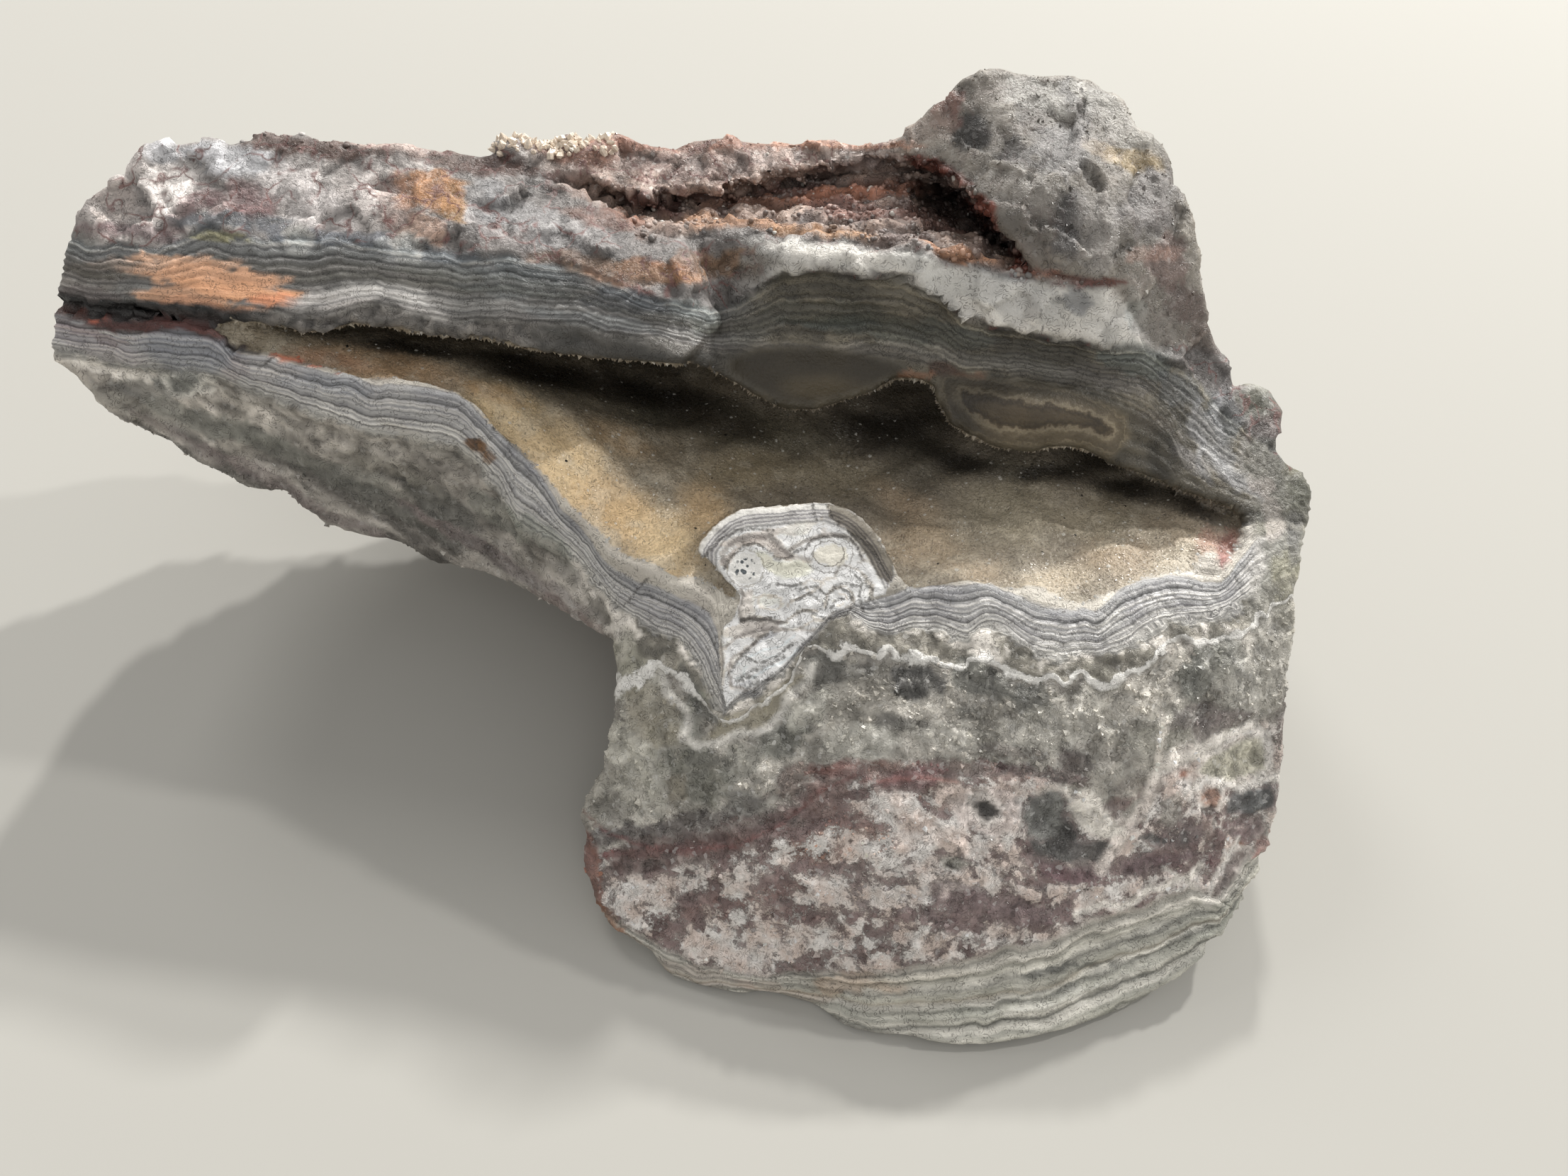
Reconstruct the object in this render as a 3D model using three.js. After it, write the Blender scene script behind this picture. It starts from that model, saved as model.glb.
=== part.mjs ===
import * as THREE from 'three';

// ---------------------------------------------------------------------------
// Crazy lace agate: one broken half-nodule lying on its own underside.
// A long overhanging arm runs to the left, a druse-lined slot opens across the
// broken face, a rusty fissure crosses the top and a blunt horn stands on the
// right. Millimetres, +Z up, broken face towards -Y and up.
// ---------------------------------------------------------------------------

// Driving dimensions
const REACH = 140;          // distance from the drawing eye to the broken face
const EYE_Z = 144.5;        // height of the drawing eye over the rest plane
const DIP_DEG = 52;         // how steeply the eye looks down on the broken face
const ROLL_DEG = 7.3;       // turn of the drawing sheet about the line of sight
const SHEET_F = 1501;       // sheet units per unit of slope on the drawing sheet
const CELL = 3.55;          // size of the facets of the skin
const EDGE_R = 1.6;         // rounding where the broken face meets the flanks
const HULL_R = 7;           // rounding of the back and the underside
const LIP_R = 0.7;          // rounding of the lips of the slot
const LIP_T = 2.4;          // thickness of the roof at its lip
const SLOT_CEIL = 46.5;     // height of the roof inside the slot
const FISSURE = 7;          // depth of the rusty fissure
const PIT = 4;              // extra depth of the pit at its right end
const KNOB_R = 13;          // radius of the cut nodule standing in the slot
const LUMP = 0.9;           // height of the broad lumps on the flanks
const SINK = 1.8;           // how far the underside is worn flat where it rests
const BELLY = 5;            // how far the underside curves up towards its rim
const FOOT = [4, 110];      // middle of the worn resting face, under the centre of mass

// Outlines on the drawing sheet: x to the right, y down, centre at (1000, 750)
const OUTLINE = [59,457,61,453,64,415,68,383,75,344,80,312,96,271,105,249,128,231,153,217,167,204,182,187,210,182,246,175,281,179,316,175,322,167,344,166,355,173,370,172,381,163,395,173,418,177,440,172,466,179,510,179,548,182,574,186,615,191,638,182,663,173,686,182,708,172,721,167,735,171,740,184,759,175,784,170,810,179,848,185,893,173,944,173,1000,176,1038,177,1064,173,1096,179,1140,172,1166,159,1185,137,1210,115,1226,97,1246,89,1274,87,1300,91,1332,92,1370,96,1399,98,1408,108,1427,115,1440,128,1442,143,1454,163,1475,169,1491,185,1501,210,1504,230,1513,255,1526,281,1531,312,1533,344,1539,383,1547,415,1555,440,1571,466,1577,490,1599,492,1619,501,1633,523,1635,548,1631,574,1644,590,1666,603,1677,622,1678,638,1670,675,1664,710,1653,755,1653,795,1647,835,1643,872,1637,908,1640,960,1636,1008,1633,1038,1625,1065,1610,1110,1588,1151,1553,1196,1526,1224,1498,1248,1463,1276,1429,1293,1380,1311,1325,1325,1256,1338,1221,1340,1186,1338,1159,1331,1117,1338,1090,1328,1048,1307,1020,1290,993,1276,965,1272,923,1269,889,1264,854,1255,840,1234,830,1217,799,1200,782,1183,761,1158,750,1131,742,1096,747,1068,740,1041,754,1006,768,978,775,944,784,902,786,868,785,840,780,818,765,808,727,786,689,764,651,741,612,727,574,719,542,712,510,693,472,687,446,677,415,668,389,649,357,622,319,620,281,604,242,585,210,559,166,543,128,518,99,489,89,476,70,467];
// Edge of the slot's roof, left to right
const ROOF_LIP = [262,409,278,410,326,411,358,413,383,421,415,421,437,416,453,412,484,415,516,420,548,427,611,431,640,437,680,445,721,450,770,455,816,459,860,464,893,469,918,477,957,498,1000,520,1038,522,1070,511,1115,498,1137,485,1165,482,1191,491,1198,510,1210,536,1236,555,1274,570,1319,574,1357,568,1383,572,1415,590,1459,604,1504,623,1542,636,1574,649];
// Edge of the slot's floor, left to right, over the top of the cut nodule
const FLOOR_LIP = [262,411,280,425,292,445,300,452,326,455,358,462,389,468,421,474,453,480,484,487,507,483,548,489,580,499,611,521,632,545,655,567,680,590,696,617,714,649,746,687,772,716,798,730,823,741,850,753,874,764,905,777,925,785,938,782,944,772,945,760,938,750,926,738,912,722,889,703,893,692,905,677,928,658,947,650,974,648,1009,644,1037,642,1055,642,1078,649,1097,662,1113,677,1129,700,1138,718,1146,738,1161,752,1177,751,1201,746,1234,741,1266,746,1294,756,1318,772,1347,778,1375,779,1399,776,1415,766,1435,750,1460,738,1488,730,1516,731,1536,741,1555,745,1566,738,1574,719,1581,700,1584,680,1584,660];
// The cut nodule
const KNOB = [889,703,893,692,905,677,928,658,947,650,974,648,1009,644,1037,642,1055,642,1078,649,1097,662,1113,677,1129,700,1138,718,1146,738,1161,752,1130,800,1040,850,930,900,900,840,945,790,945,760,926,738,912,722];
// Upper and lower edges of the fissure, and the dark hole at its right end
const FISS_TOP = [690,222,735,226,778,238,823,262,859,242,914,248,985,226,1051,215,1116,204,1166,199,1199,215,1242,248,1275,286,1303,325,1325,349,1380,357];
const FISS_FOOT = [690,226,735,250,778,270,823,300,859,292,914,286,969,292,1023,303,1089,300,1166,314,1242,330,1297,346,1380,360];
const HOLE = [1150,232,1210,232,1246,264,1270,290,1302,328,1292,338,1242,308,1195,300,1160,275];
// Relief of the broken face: sheet x, sheet y, height over the reference plane
const RELIEF = [
 60,455,-2, 80,330,-1.5, 110,250,-2, 180,200,-3, 180,300,0, 180,400,0, 330,180,-4, 330,260,0, 330,350,0.5, 330,405,0,
 480,190,-4, 480,260,0, 480,340,1, 480,400,0, 620,200,-5, 620,270,0, 620,350,1.5, 620,425,0.5, 720,190,-8, 720,250,-3,
 740,320,1, 760,400,2, 780,450,1, 860,400,2.5, 850,450,1.5, 840,340,1, 900,300,-2, 820,180,-10, 950,180,-10, 1060,180,-10,
 820,215,-6, 950,210,-6, 1060,205,-5, 1150,185,-6, 1000,325,-1, 1100,340,0, 1150,350,0, 1200,395,0, 1280,375,-1, 1300,415,-1.5,
 1360,390,-2, 1420,435,-3, 1200,150,-4, 1250,100,-4, 1330,100,-4, 1400,105,-6, 1250,180,-1, 1330,190,1.5, 1420,200,-1, 1490,200,-6,
 1300,270,2, 1380,290,3, 1450,310,0.5, 1525,320,-6, 1400,360,1, 1480,410,-3, 1545,420,-9, 1600,510,-14, 1565,470,-12, 1632,560,-13.5,
 1675,640,-13, 1600,610,-9, 1550,545,-8, 1665,710,-11, 1610,700,-6, 930,400,-3, 1000,390,-3.5, 960,440,-8, 1010,480,-11, 1050,510,-11.5,
 1100,425,-6, 1100,480,-11, 1200,440,-6, 1190,480,-10, 1260,440,-3.5, 1240,520,-9, 1330,455,-4, 1320,520,-8, 1330,565,-10, 1400,470,-4,
 1400,535,-8.5, 1455,500,-5, 1470,590,-8, 1520,560,-6, 1540,625,-7, 1590,645,-6, 300,450,-0.5, 450,478,0, 550,490,0.5, 620,530,0.5,
 700,620,0.5, 770,715,0, 870,765,0, 930,790,-0.5, 600,440,-0.5, 720,500,-0.5, 820,560,-1, 820,660,-0.5, 960,580,-4, 900,690,-0.5,
 960,655,0, 1050,650,0.5, 1110,690,0, 1000,750,1, 960,820,0.5, 930,880,0, 1150,750,0, 1240,745,0.5, 1350,780,0.5, 1450,745,0,
 1550,745,-2, 1590,710,-4, 1180,600,-5, 1300,650,-4, 1430,660,-4, 800,825,-1, 850,850,-0.5, 800,950,-3, 760,1000,-6, 900,950,0,
 1000,900,1.5, 1100,850,1.5, 1300,860,2, 1450,850,1, 1550,800,-1.5, 1605,790,-4.5, 1652,800,-9, 1640,950,-9.5, 1560,900,-2, 1600,1000,-6,
 1622,1075,-10, 790,1080,-4.5, 745,1090,-7.5, 850,1050,-1, 1000,1000,1.5, 1200,950,2.5, 1400,950,1.5, 1500,1000,-1, 1500,1100,-3, 1550,1195,-9,
 1590,1130,-9, 850,1150,-2.5, 795,1190,-6, 1000,1100,1, 1200,1100,2.5, 1350,1100,1.5, 900,1230,-3.2, 850,1250,-5.2, 1000,1220,-0.5, 1150,1200,1.5,
 1300,1190,1, 1430,1160,-1.5, 950,1268,-4.4, 1020,1288,-3.8, 1100,1330,-3, 1180,1336,-2.3, 1256,1336,-2.3, 1100,1280,-1.2, 1200,1280,-0.4, 1300,1270,-1.1,
 1325,1322,-3.2, 1400,1300,-5, 1400,1220,-2, 1460,1274,-7.4, 1500,1244,-8.6, 1500,1180,-5.5, 150,490,-2.5, 300,520,-1, 300,560,-9, 300,612,-17,
 210,555,-13, 130,515,-6, 400,550,-1, 400,600,-9, 400,655,-18, 500,575,-1.5, 500,630,-9, 500,690,-19, 590,600,-1.5, 600,650,-9,
 600,722,-20, 700,700,-1, 700,735,-9, 700,768,-18, 640,660,-3, 750,780,-5, 775,806,-11,
];
const RELIEF_SPREAD = 52;
// Floor of the slot behind its lip: sheet x, sheet y, height over the rest plane
const FLOOR = [
 420,455,43.5, 520,470,43, 560,480,43.5, 620,515,42, 650,500,41.5, 700,560,38.5, 740,530,39, 760,620,35, 800,570,35.5, 820,660,32.5,
 880,610,32.5, 850,710,31, 900,740,30.5, 920,620,31.5, 700,490,35, 800,500,31, 860,520,30.5, 920,550,30.5, 980,590,30.5, 1060,620,30.5,
 1000,540,31, 1080,540,30.5, 1140,600,30.5, 1170,680,31.5, 1180,560,29.5, 1220,640,32.5, 1250,700,32.5, 1240,600,33, 1300,590,35.2, 1350,610,35.5,
 1300,650,34.5, 1400,630,34.5, 1380,700,34, 1440,620,32.5, 1450,680,34, 1500,650,34, 1540,690,36, 1500,700,35, 1340,740,34, 1180,720,32.5,
 600,445,37, 500,435,41,
];
const FLOOR_SPREAD = 6.5;
// The mass behind the broken face, seen from the front (x, z) and from above (x, y)
const FRONT_HULL = [-19,-8, -22.5,3, -25,10.5, -29,14.5, -40,16.5, -58,18.5, -76,21.5, -87,31, -97,44, -99,66, -60,76, 0,82, 20,90, 60,90, 84,60, 84,10, 80,-8];
const PLAN_SLOT = [-76,60, -74,100, -68,113, -52,123, -28,130, 0,133, 20,133, 34,129, 44,119, 50,108, 54,98, 55,60];
const PLAN_HULL = [-100,20, -101,112, -93,126, -74,134, -50,137, -30,143, -8,150, 14,153, 34,154, 52,149, 66,139, 74,124, 80,100, 84,60, 84,20];

// ---------------------------------------------------------------------------
// Geometry helpers
// ---------------------------------------------------------------------------
const rad = Math.PI / 180;
const cosE = Math.cos(DIP_DEG * rad), sinE = Math.sin(DIP_DEG * rad);
const cosR = Math.cos(ROLL_DEG * rad), sinR = Math.sin(ROLL_DEG * rad);
const AX_F = [0, cosE, -sinE];
const AX_R = [cosR, sinR * sinE, sinR * cosE];
const AX_T = [-sinR, cosR * sinE, cosR * cosE];
const pairs = (a, n = 2) => { const o = []; for (let i = 0; i < a.length; i += n) o.push(a.slice(i, i + n)); return o; };
const clamp = (v, a, b) => Math.min(b, Math.max(a, v));
const smoothMax = (a, b, k) => { const h = Math.max(k - Math.abs(a - b), 0) / k; return Math.max(a, b) + h * h * k * 0.25; };
const smoothMin = (a, b, k) => -smoothMax(-a, -b, k);

function sheetPoint(px, py, w) {            // sheet position and height -> space
  const zc = REACH - w, x = (px - 1000) / SHEET_F, y = (750 - py) / SHEET_F;
  return [0, 1, 2].map(i => (i === 2 ? EYE_Z : 0) + zc * (AX_F[i] + x * AX_R[i] + y * AX_T[i]));
}
function toSheet(x, y, z) {                 // space -> sheet position and height
  const q = z - EYE_Z;
  const zc = y * AX_F[1] + q * AX_F[2];
  const u = x * AX_R[0] + y * AX_R[1] + q * AX_R[2];
  const v = x * AX_T[0] + y * AX_T[1] + q * AX_T[2];
  return { px: 1000 + SHEET_F * u / zc, py: 750 - SHEET_F * v / zc, u, v, w: REACH - zc, zc };
}
function insideDistance(poly, x, y) {       // positive inside, negative outside
  let best = 1e18, inside = false;
  for (let i = 0, n = poly.length, j = n - 1; i < n; j = i++) {
    const [ax, ay] = poly[j], [bx, by] = poly[i];
    const ex = bx - ax, ey = by - ay, l2 = ex * ex + ey * ey || 1e-12;
    const t = clamp(((x - ax) * ex + (y - ay) * ey) / l2, 0, 1);
    const dx = x - ax - t * ex, dy = y - ay - t * ey;
    best = Math.min(best, dx * dx + dy * dy);
    if ((ay > y) !== (by > y) && x < ax + (y - ay) / (by - ay) * ex) inside = !inside;
  }
  return (inside ? 1 : -1) * Math.sqrt(best);
}
function along(line, x, col = 1) {          // height of a polyline over x
  if (x <= line[0][0]) return line[0][col];
  for (let i = 1; i < line.length; i++) if (x <= line[i][0]) {
    const t = (x - line[i - 1][0]) / Math.max(1e-9, line[i][0] - line[i - 1][0]);
    return line[i - 1][col] + t * (line[i][col] - line[i - 1][col]);
  }
  return line[line.length - 1][col];
}
function spread(points, s, x, y) {          // smooth surface through scattered heights
  let a = 0, b = 0;
  for (const [qx, qy, qw] of points) {
    const d2 = (x - qx) ** 2 + (y - qy) ** 2;
    const k = Math.exp(-d2 / (2 * s * s)) + 1e-7 / (1 + d2 / (s * s)) ** 2;
    a += k * qw; b += k;
  }
  return a / b;
}
const lumps = (x, y, z) => 0.5 * Math.sin(0.23 * x + 1.1 * Math.sin(0.13 * y) + 0.7) * Math.cos(0.21 * y + 0.9 * Math.sin(0.17 * z))
  + 0.32 * Math.sin(0.41 * y + 0.9 * Math.sin(0.29 * x) + 2.1) * Math.cos(0.37 * z + 0.5)
  + 0.3 * Math.sin(0.55 * z + 1.2 * Math.sin(0.33 * y) + 0.31 * x);

const relief = pairs(RELIEF, 3), fissTop = pairs(FISS_TOP), fissFoot = pairs(FISS_FOOT), hole = pairs(HOLE);
const mm = REACH / SHEET_F;
function faceHeight(px, py) {
  let w = spread(relief, RELIEF_SPREAD, px, py);
  if (px > 690 && px < 1380 && py > 150 && py < 420) {
    const a = along(fissTop, px), b = along(fissFoot, px);
    const t = clamp((b - py) / Math.max(24, b - a), 0, 1);
    const over = clamp((py - a) / 44 + 0.8, 0, 1);
    const ends = clamp((px - 700) / 90, 0, 1) * clamp((1375 - px) / 90, 0, 1);
    w -= FISSURE * t * over * over * ends;
    w -= PIT * clamp(insideDistance(hole, px, py) / 45 + 0.5, 0, 1);
  }
  return w;
}
// The slot's roof edge in space, and the slot's floor
const roofLip = pairs(ROOF_LIP), floorLip = pairs(FLOOR_LIP);
const roofEdge = roofLip.map(([px, py]) => sheetPoint(px, py, faceHeight(px, py))).sort((a, b) => a[0] - b[0]);
const floorPts = [];
for (const [px, py, z] of pairs(FLOOR, 3)) {
  const x = (px - 1000) / SHEET_F, y = (750 - py) / SHEET_F;
  const zc = (EYE_Z - z) / -(AX_F[2] + x * AX_R[2] + y * AX_T[2]);
  const p = sheetPoint(px, py, REACH - zc);
  floorPts.push([p[0], p[1], z]);
}
for (const [px, py] of floorLip) {
  if (px > 880 && px < 1150 && py < 790) continue;
  const p = sheetPoint(px, py, faceHeight(px, py));
  floorPts.push([p[0], p[1], p[2]]);
}
floorPts.push([0, 90, 31], [8, 90, 31], [0, 97, 30.5], [8, 97, 30.5], [-6, 92, 30.5], [14, 96, 31]);
const opening = [...roofLip, ...floorLip.slice().reverse()];
const knob = pairs(KNOB);
const flank = pairs(OUTLINE).map(([px, py]) => { const p = toSheet(...sheetPoint(px, py, faceHeight(px, py))); return [p.u, p.v]; });
const frontHull = pairs(FRONT_HULL), planHull = pairs(PLAN_HULL), planSlot = pairs(PLAN_SLOT);

const SINK_AT = q => BELLY * Math.min(q, 2.5) - SINK;
// Signed distance to the stone's skin: negative inside
function stone(x, y, z) {
  const s = toSheet(x, y, z);
  const face = faceHeight(s.px, s.py);
  const lump = LUMP * lumps(x, y, z);
  let hull = smoothMax(-insideDistance(frontHull, x, z), -insideDistance(planHull, x, y), HULL_R);
  const belly = ((x - FOOT[0]) / (x < FOOT[0] ? 44 : 66)) ** 2 * clamp((y - 52) / 36, 0, 1) + ((y - FOOT[1]) / (y < FOOT[1] ? 150 : 50)) ** 2;
  hull = smoothMax(hull, SINK_AT(belly) - z, 5) + lump * (1.6 - 1.1 * clamp((6 - z) / 6, 0, 1));
  const side = -insideDistance(flank, s.u, s.v);
  const back = Math.max(0, face - s.w);
  let d = smoothMax(s.w - face, side + (0.05 * back) + lump * clamp(back / 12, 0, 1), EDGE_R);
  d = smoothMax(d, hull, 2.5);
  // the slot: what is seen through its mouth, and what runs on under the roof
  if (y > 70 && y < 150 && z > 20 && z < 62 && x > -85 && x < 68) {
    const fl = spread(floorPts, FLOOR_SPREAD, x, y);
    const mouth = Math.max(-insideDistance(opening, s.px, s.py) * mm, fl - z);
    const ry = along(roofEdge, x, 1), rz = along(roofEdge, x, 2);
    const run = y - ry;
    const lip = rz - LIP_T;
    const ceil = run > 0 ? lip + Math.max(0, SLOT_CEIL - 0.05 * Math.abs(x) - lip) * clamp((run - 4) / 9, 0, 1) : lip + 1.2 * run;
    const inner = smoothMax(Math.max(fl - z, z - ceil), -insideDistance(planSlot, x, y), 5);
    const air = smoothMin(mouth, inner, 1.2);
    d = smoothMax(d, -air, LIP_R);
    const k = insideDistance(knob, s.px, s.py) * mm;
    if (k > -6) {
      const kk = clamp(k, 0, KNOB_R);
      const depth = Math.sqrt(kk * (2 * KNOB_R - kk)) * 1.1;
      d = smoothMin(d, Math.max(-k, s.w - face, face - depth - s.w), 0.6);
    }
  }
  return d;
}

// ---------------------------------------------------------------------------
// Skin: one vertex in each cell that the surface crosses
// ---------------------------------------------------------------------------
const LO = [-104, 34, -7.4], HI = [82, 172, 86];
const N = [0, 1, 2].map(i => Math.ceil((HI[i] - LO[i]) / CELL) + 1);
const at = (i, j, k) => (k * N[1] + j) * N[0] + i;
const field = new Float64Array(N[0] * N[1] * N[2]);
for (let k = 0; k < N[2]; k++) for (let j = 0; j < N[1]; j++) for (let i = 0; i < N[0]; i++) {
  const rim = i === 0 || j === 0 || k === 0 || i === N[0] - 1 || j === N[1] - 1 || k === N[2] - 1;
  const v = rim ? 5 : stone(LO[0] + i * CELL, LO[1] + j * CELL, LO[2] + k * CELL);
  field[at(i, j, k)] = Math.abs(v) < 1e-4 ? 1e-4 : v;
}
const CORNERS = [[0, 0, 0], [1, 0, 0], [0, 1, 0], [1, 1, 0], [0, 0, 1], [1, 0, 1], [0, 1, 1], [1, 1, 1]];
const EDGES = [[0, 1], [2, 3], [4, 5], [6, 7], [0, 2], [1, 3], [4, 6], [5, 7], [0, 4], [1, 5], [2, 6], [3, 7]];
const FACES = [[0, 1, 2, 3], [4, 5, 6, 7], [0, 1, 4, 5], [2, 3, 6, 7], [0, 2, 4, 6], [1, 3, 5, 7]];
function joined(mask, want) {               // are the wanted corners one connected group?
  const set = []; for (let c = 0; c < 8; c++) if (((mask >> c) & 1) === want) set.push(c);
  if (set.length < 2) return true;
  const seen = new Set([set[0]]), todo = [set[0]];
  while (todo.length) { const c = todo.pop(); for (const b of [1, 2, 4]) { const e = c ^ b; if (((mask >> e) & 1) === want && !seen.has(e)) { seen.add(e); todo.push(e); } } }
  return seen.size === set.length;
}
for (let pass = 0; pass < 30; pass++) {     // close pinholes that would pinch the skin
  let changed = 0;
  for (let k = 0; k < N[2] - 1; k++) for (let j = 0; j < N[1] - 1; j++) for (let i = 0; i < N[0] - 1; i++) {
    let mask = 0;
    CORNERS.forEach(([a, b, c], q) => { if (field[at(i + a, j + b, k + c)] < 0) mask |= 1 << q; });
    if (mask === 0 || mask === 255) continue;
    const crossed = FACES.some(([a, b, c, e]) => ((mask >> a) & 1) === ((mask >> e) & 1) && ((mask >> b) & 1) === ((mask >> c) & 1) && ((mask >> a) & 1) !== ((mask >> b) & 1));
    if (!crossed && joined(mask, 1) && joined(mask, 0)) continue;
    let best = -1, bv = 1e9;
    CORNERS.forEach(([a, b, c], q) => { const v = field[at(i + a, j + b, k + c)]; if (v > 0 && v < bv) { bv = v; best = at(i + a, j + b, k + c); } });
    if (best >= 0) { field[best] = -0.05; changed++; }
  }
  if (!changed) break;
}
// keep only the largest body
{
  const label = new Int32Array(field.length).fill(-1); let bestN = 0, bestL = -1, next = 0;
  for (let s0 = 0; s0 < field.length; s0++) {
    if (field[s0] >= 0 || label[s0] >= 0) continue;
    const todo = [s0]; label[s0] = next; let n = 0;
    while (todo.length) {
      const q = todo.pop(); n++;
      const i = q % N[0], j = Math.floor(q / N[0]) % N[1], k = Math.floor(q / (N[0] * N[1]));
      for (const [a, b, c] of [[1, 0, 0], [-1, 0, 0], [0, 1, 0], [0, -1, 0], [0, 0, 1], [0, 0, -1]]) {
        const e = at(i + a, j + b, k + c); if (field[e] < 0 && label[e] < 0) { label[e] = next; todo.push(e); }
      }
    }
    if (n > bestN) { bestN = n; bestL = next; } next++;
  }
  for (let q = 0; q < field.length; q++) if (field[q] < 0 && label[q] !== bestL) field[q] = 0.05;
  // and fill sealed hollows
  const open = new Uint8Array(field.length), todo = [0]; open[0] = 1;
  while (todo.length) {
    const q = todo.pop(); const i = q % N[0], j = Math.floor(q / N[0]) % N[1], k = Math.floor(q / (N[0] * N[1]));
    for (const [a, b, c] of [[1, 0, 0], [-1, 0, 0], [0, 1, 0], [0, -1, 0], [0, 0, 1], [0, 0, -1]]) {
      const x = i + a, y = j + b, z = k + c; if (x < 0 || y < 0 || z < 0 || x >= N[0] || y >= N[1] || z >= N[2]) continue;
      const e = at(x, y, z); if (field[e] > 0 && !open[e]) { open[e] = 1; todo.push(e); }
    }
  }
  for (let q = 0; q < field.length; q++) if (field[q] > 0 && !open[q]) field[q] = -0.05;
}
const cellVertex = new Map(), verts = [];
for (let k = 0; k < N[2] - 1; k++) for (let j = 0; j < N[1] - 1; j++) for (let i = 0; i < N[0] - 1; i++) {
  const f = CORNERS.map(([a, b, c]) => field[at(i + a, j + b, k + c)]);
  let n = 0, sx = 0, sy = 0, sz = 0;
  for (const [p, q] of EDGES) if ((f[p] < 0) !== (f[q] < 0)) {
    const t = f[p] / (f[p] - f[q]);
    sx += CORNERS[p][0] + t * (CORNERS[q][0] - CORNERS[p][0]);
    sy += CORNERS[p][1] + t * (CORNERS[q][1] - CORNERS[p][1]);
    sz += CORNERS[p][2] + t * (CORNERS[q][2] - CORNERS[p][2]); n++;
  }
  if (!n) continue;
  cellVertex.set(at(i, j, k), verts.length);
  const home = [LO[0] + (i + sx / n) * CELL, LO[1] + (j + sy / n) * CELL, LO[2] + (k + sz / n) * CELL];
  const p = home.slice(), lo = [LO[0] + i * CELL, LO[1] + j * CELL, LO[2] + k * CELL];
  for (let it = 0; it < 3; it++) {          // settle the vertex on the true surface
    const d = stone(...p), e = 0.4;
    const g = [0, 1, 2].map(a => { const q = p.slice(); q[a] += e; const r = p.slice(); r[a] -= e; return (stone(...q) - stone(...r)) / (2 * e); });
    const g2 = g[0] ** 2 + g[1] ** 2 + g[2] ** 2; if (g2 < 0.05) break;
    for (let a = 0; a < 3; a++) p[a] = clamp(p[a] - 0.8 * d * g[a] / g2, lo[a] + 0.1 * CELL, lo[a] + 0.9 * CELL);
  }
  verts.push(p);
}
const tris = [];
const quad = (a, b, c, d, flip) => {
  const [A, B, C, D] = [a, b, c, d].map(v => verts[v]);
  const len = (p, q) => (p[0] - q[0]) ** 2 + (p[1] - q[1]) ** 2 + (p[2] - q[2]) ** 2;
  const t = len(A, C) <= len(B, D) ? [[a, b, c], [a, c, d]] : [[b, c, d], [b, d, a]];
  for (const [p, q, r] of t) tris.push(flip ? [p, r, q] : [p, q, r]);
};
for (let k = 1; k < N[2] - 1; k++) for (let j = 1; j < N[1] - 1; j++) for (let i = 1; i < N[0] - 1; i++) {
  const f0 = field[at(i, j, k)] < 0;
  const v = (a, b, c) => cellVertex.get(at(i + a, j + b, k + c));
  if (f0 !== field[at(i + 1, j, k)] < 0) quad(v(0, -1, -1), v(0, 0, -1), v(0, 0, 0), v(0, -1, 0), !f0);
  if (f0 !== field[at(i, j + 1, k)] < 0) quad(v(-1, 0, -1), v(-1, 0, 0), v(0, 0, 0), v(0, 0, -1), !f0);
  if (f0 !== field[at(i, j, k + 1)] < 0) quad(v(-1, -1, 0), v(0, -1, 0), v(0, 0, 0), v(-1, 0, 0), !f0);
}
// flat resting face
for (const p of verts) if (p[2] < 0.35) p[2] = 0;

// origin under the middle of the stone, on the rest plane
const lo = [1e9, 1e9], hi = [-1e9, -1e9];
for (const p of verts) for (let a = 0; a < 2; a++) { lo[a] = Math.min(lo[a], p[a]); hi[a] = Math.max(hi[a], p[a]); }
const mid = [(lo[0] + hi[0]) / 2, (lo[1] + hi[1]) / 2];
const position = new Float32Array(verts.length * 3);
verts.forEach((p, i) => { position[3 * i] = p[0] - mid[0]; position[3 * i + 1] = p[1] - mid[1]; position[3 * i + 2] = p[2]; });

const geometry = new THREE.BufferGeometry();
geometry.setAttribute('position', new THREE.BufferAttribute(position, 3));
geometry.setIndex(tris.flat());
geometry.computeVertexNormals();

const material = new THREE.MeshStandardMaterial({ name: 'agate', color: 0x9b948c, roughness: 0.55, metalness: 0 });
const mesh = new THREE.Mesh(geometry, material);
mesh.name = 'agate_stone';

const crazyLaceAgate = new THREE.Group();
crazyLaceAgate.name = 'crazy_lace_agate';
crazyLaceAgate.add(mesh);
export default crazyLaceAgate;
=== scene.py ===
import bpy, math
import numpy as np
from mathutils import Matrix, Vector


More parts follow.
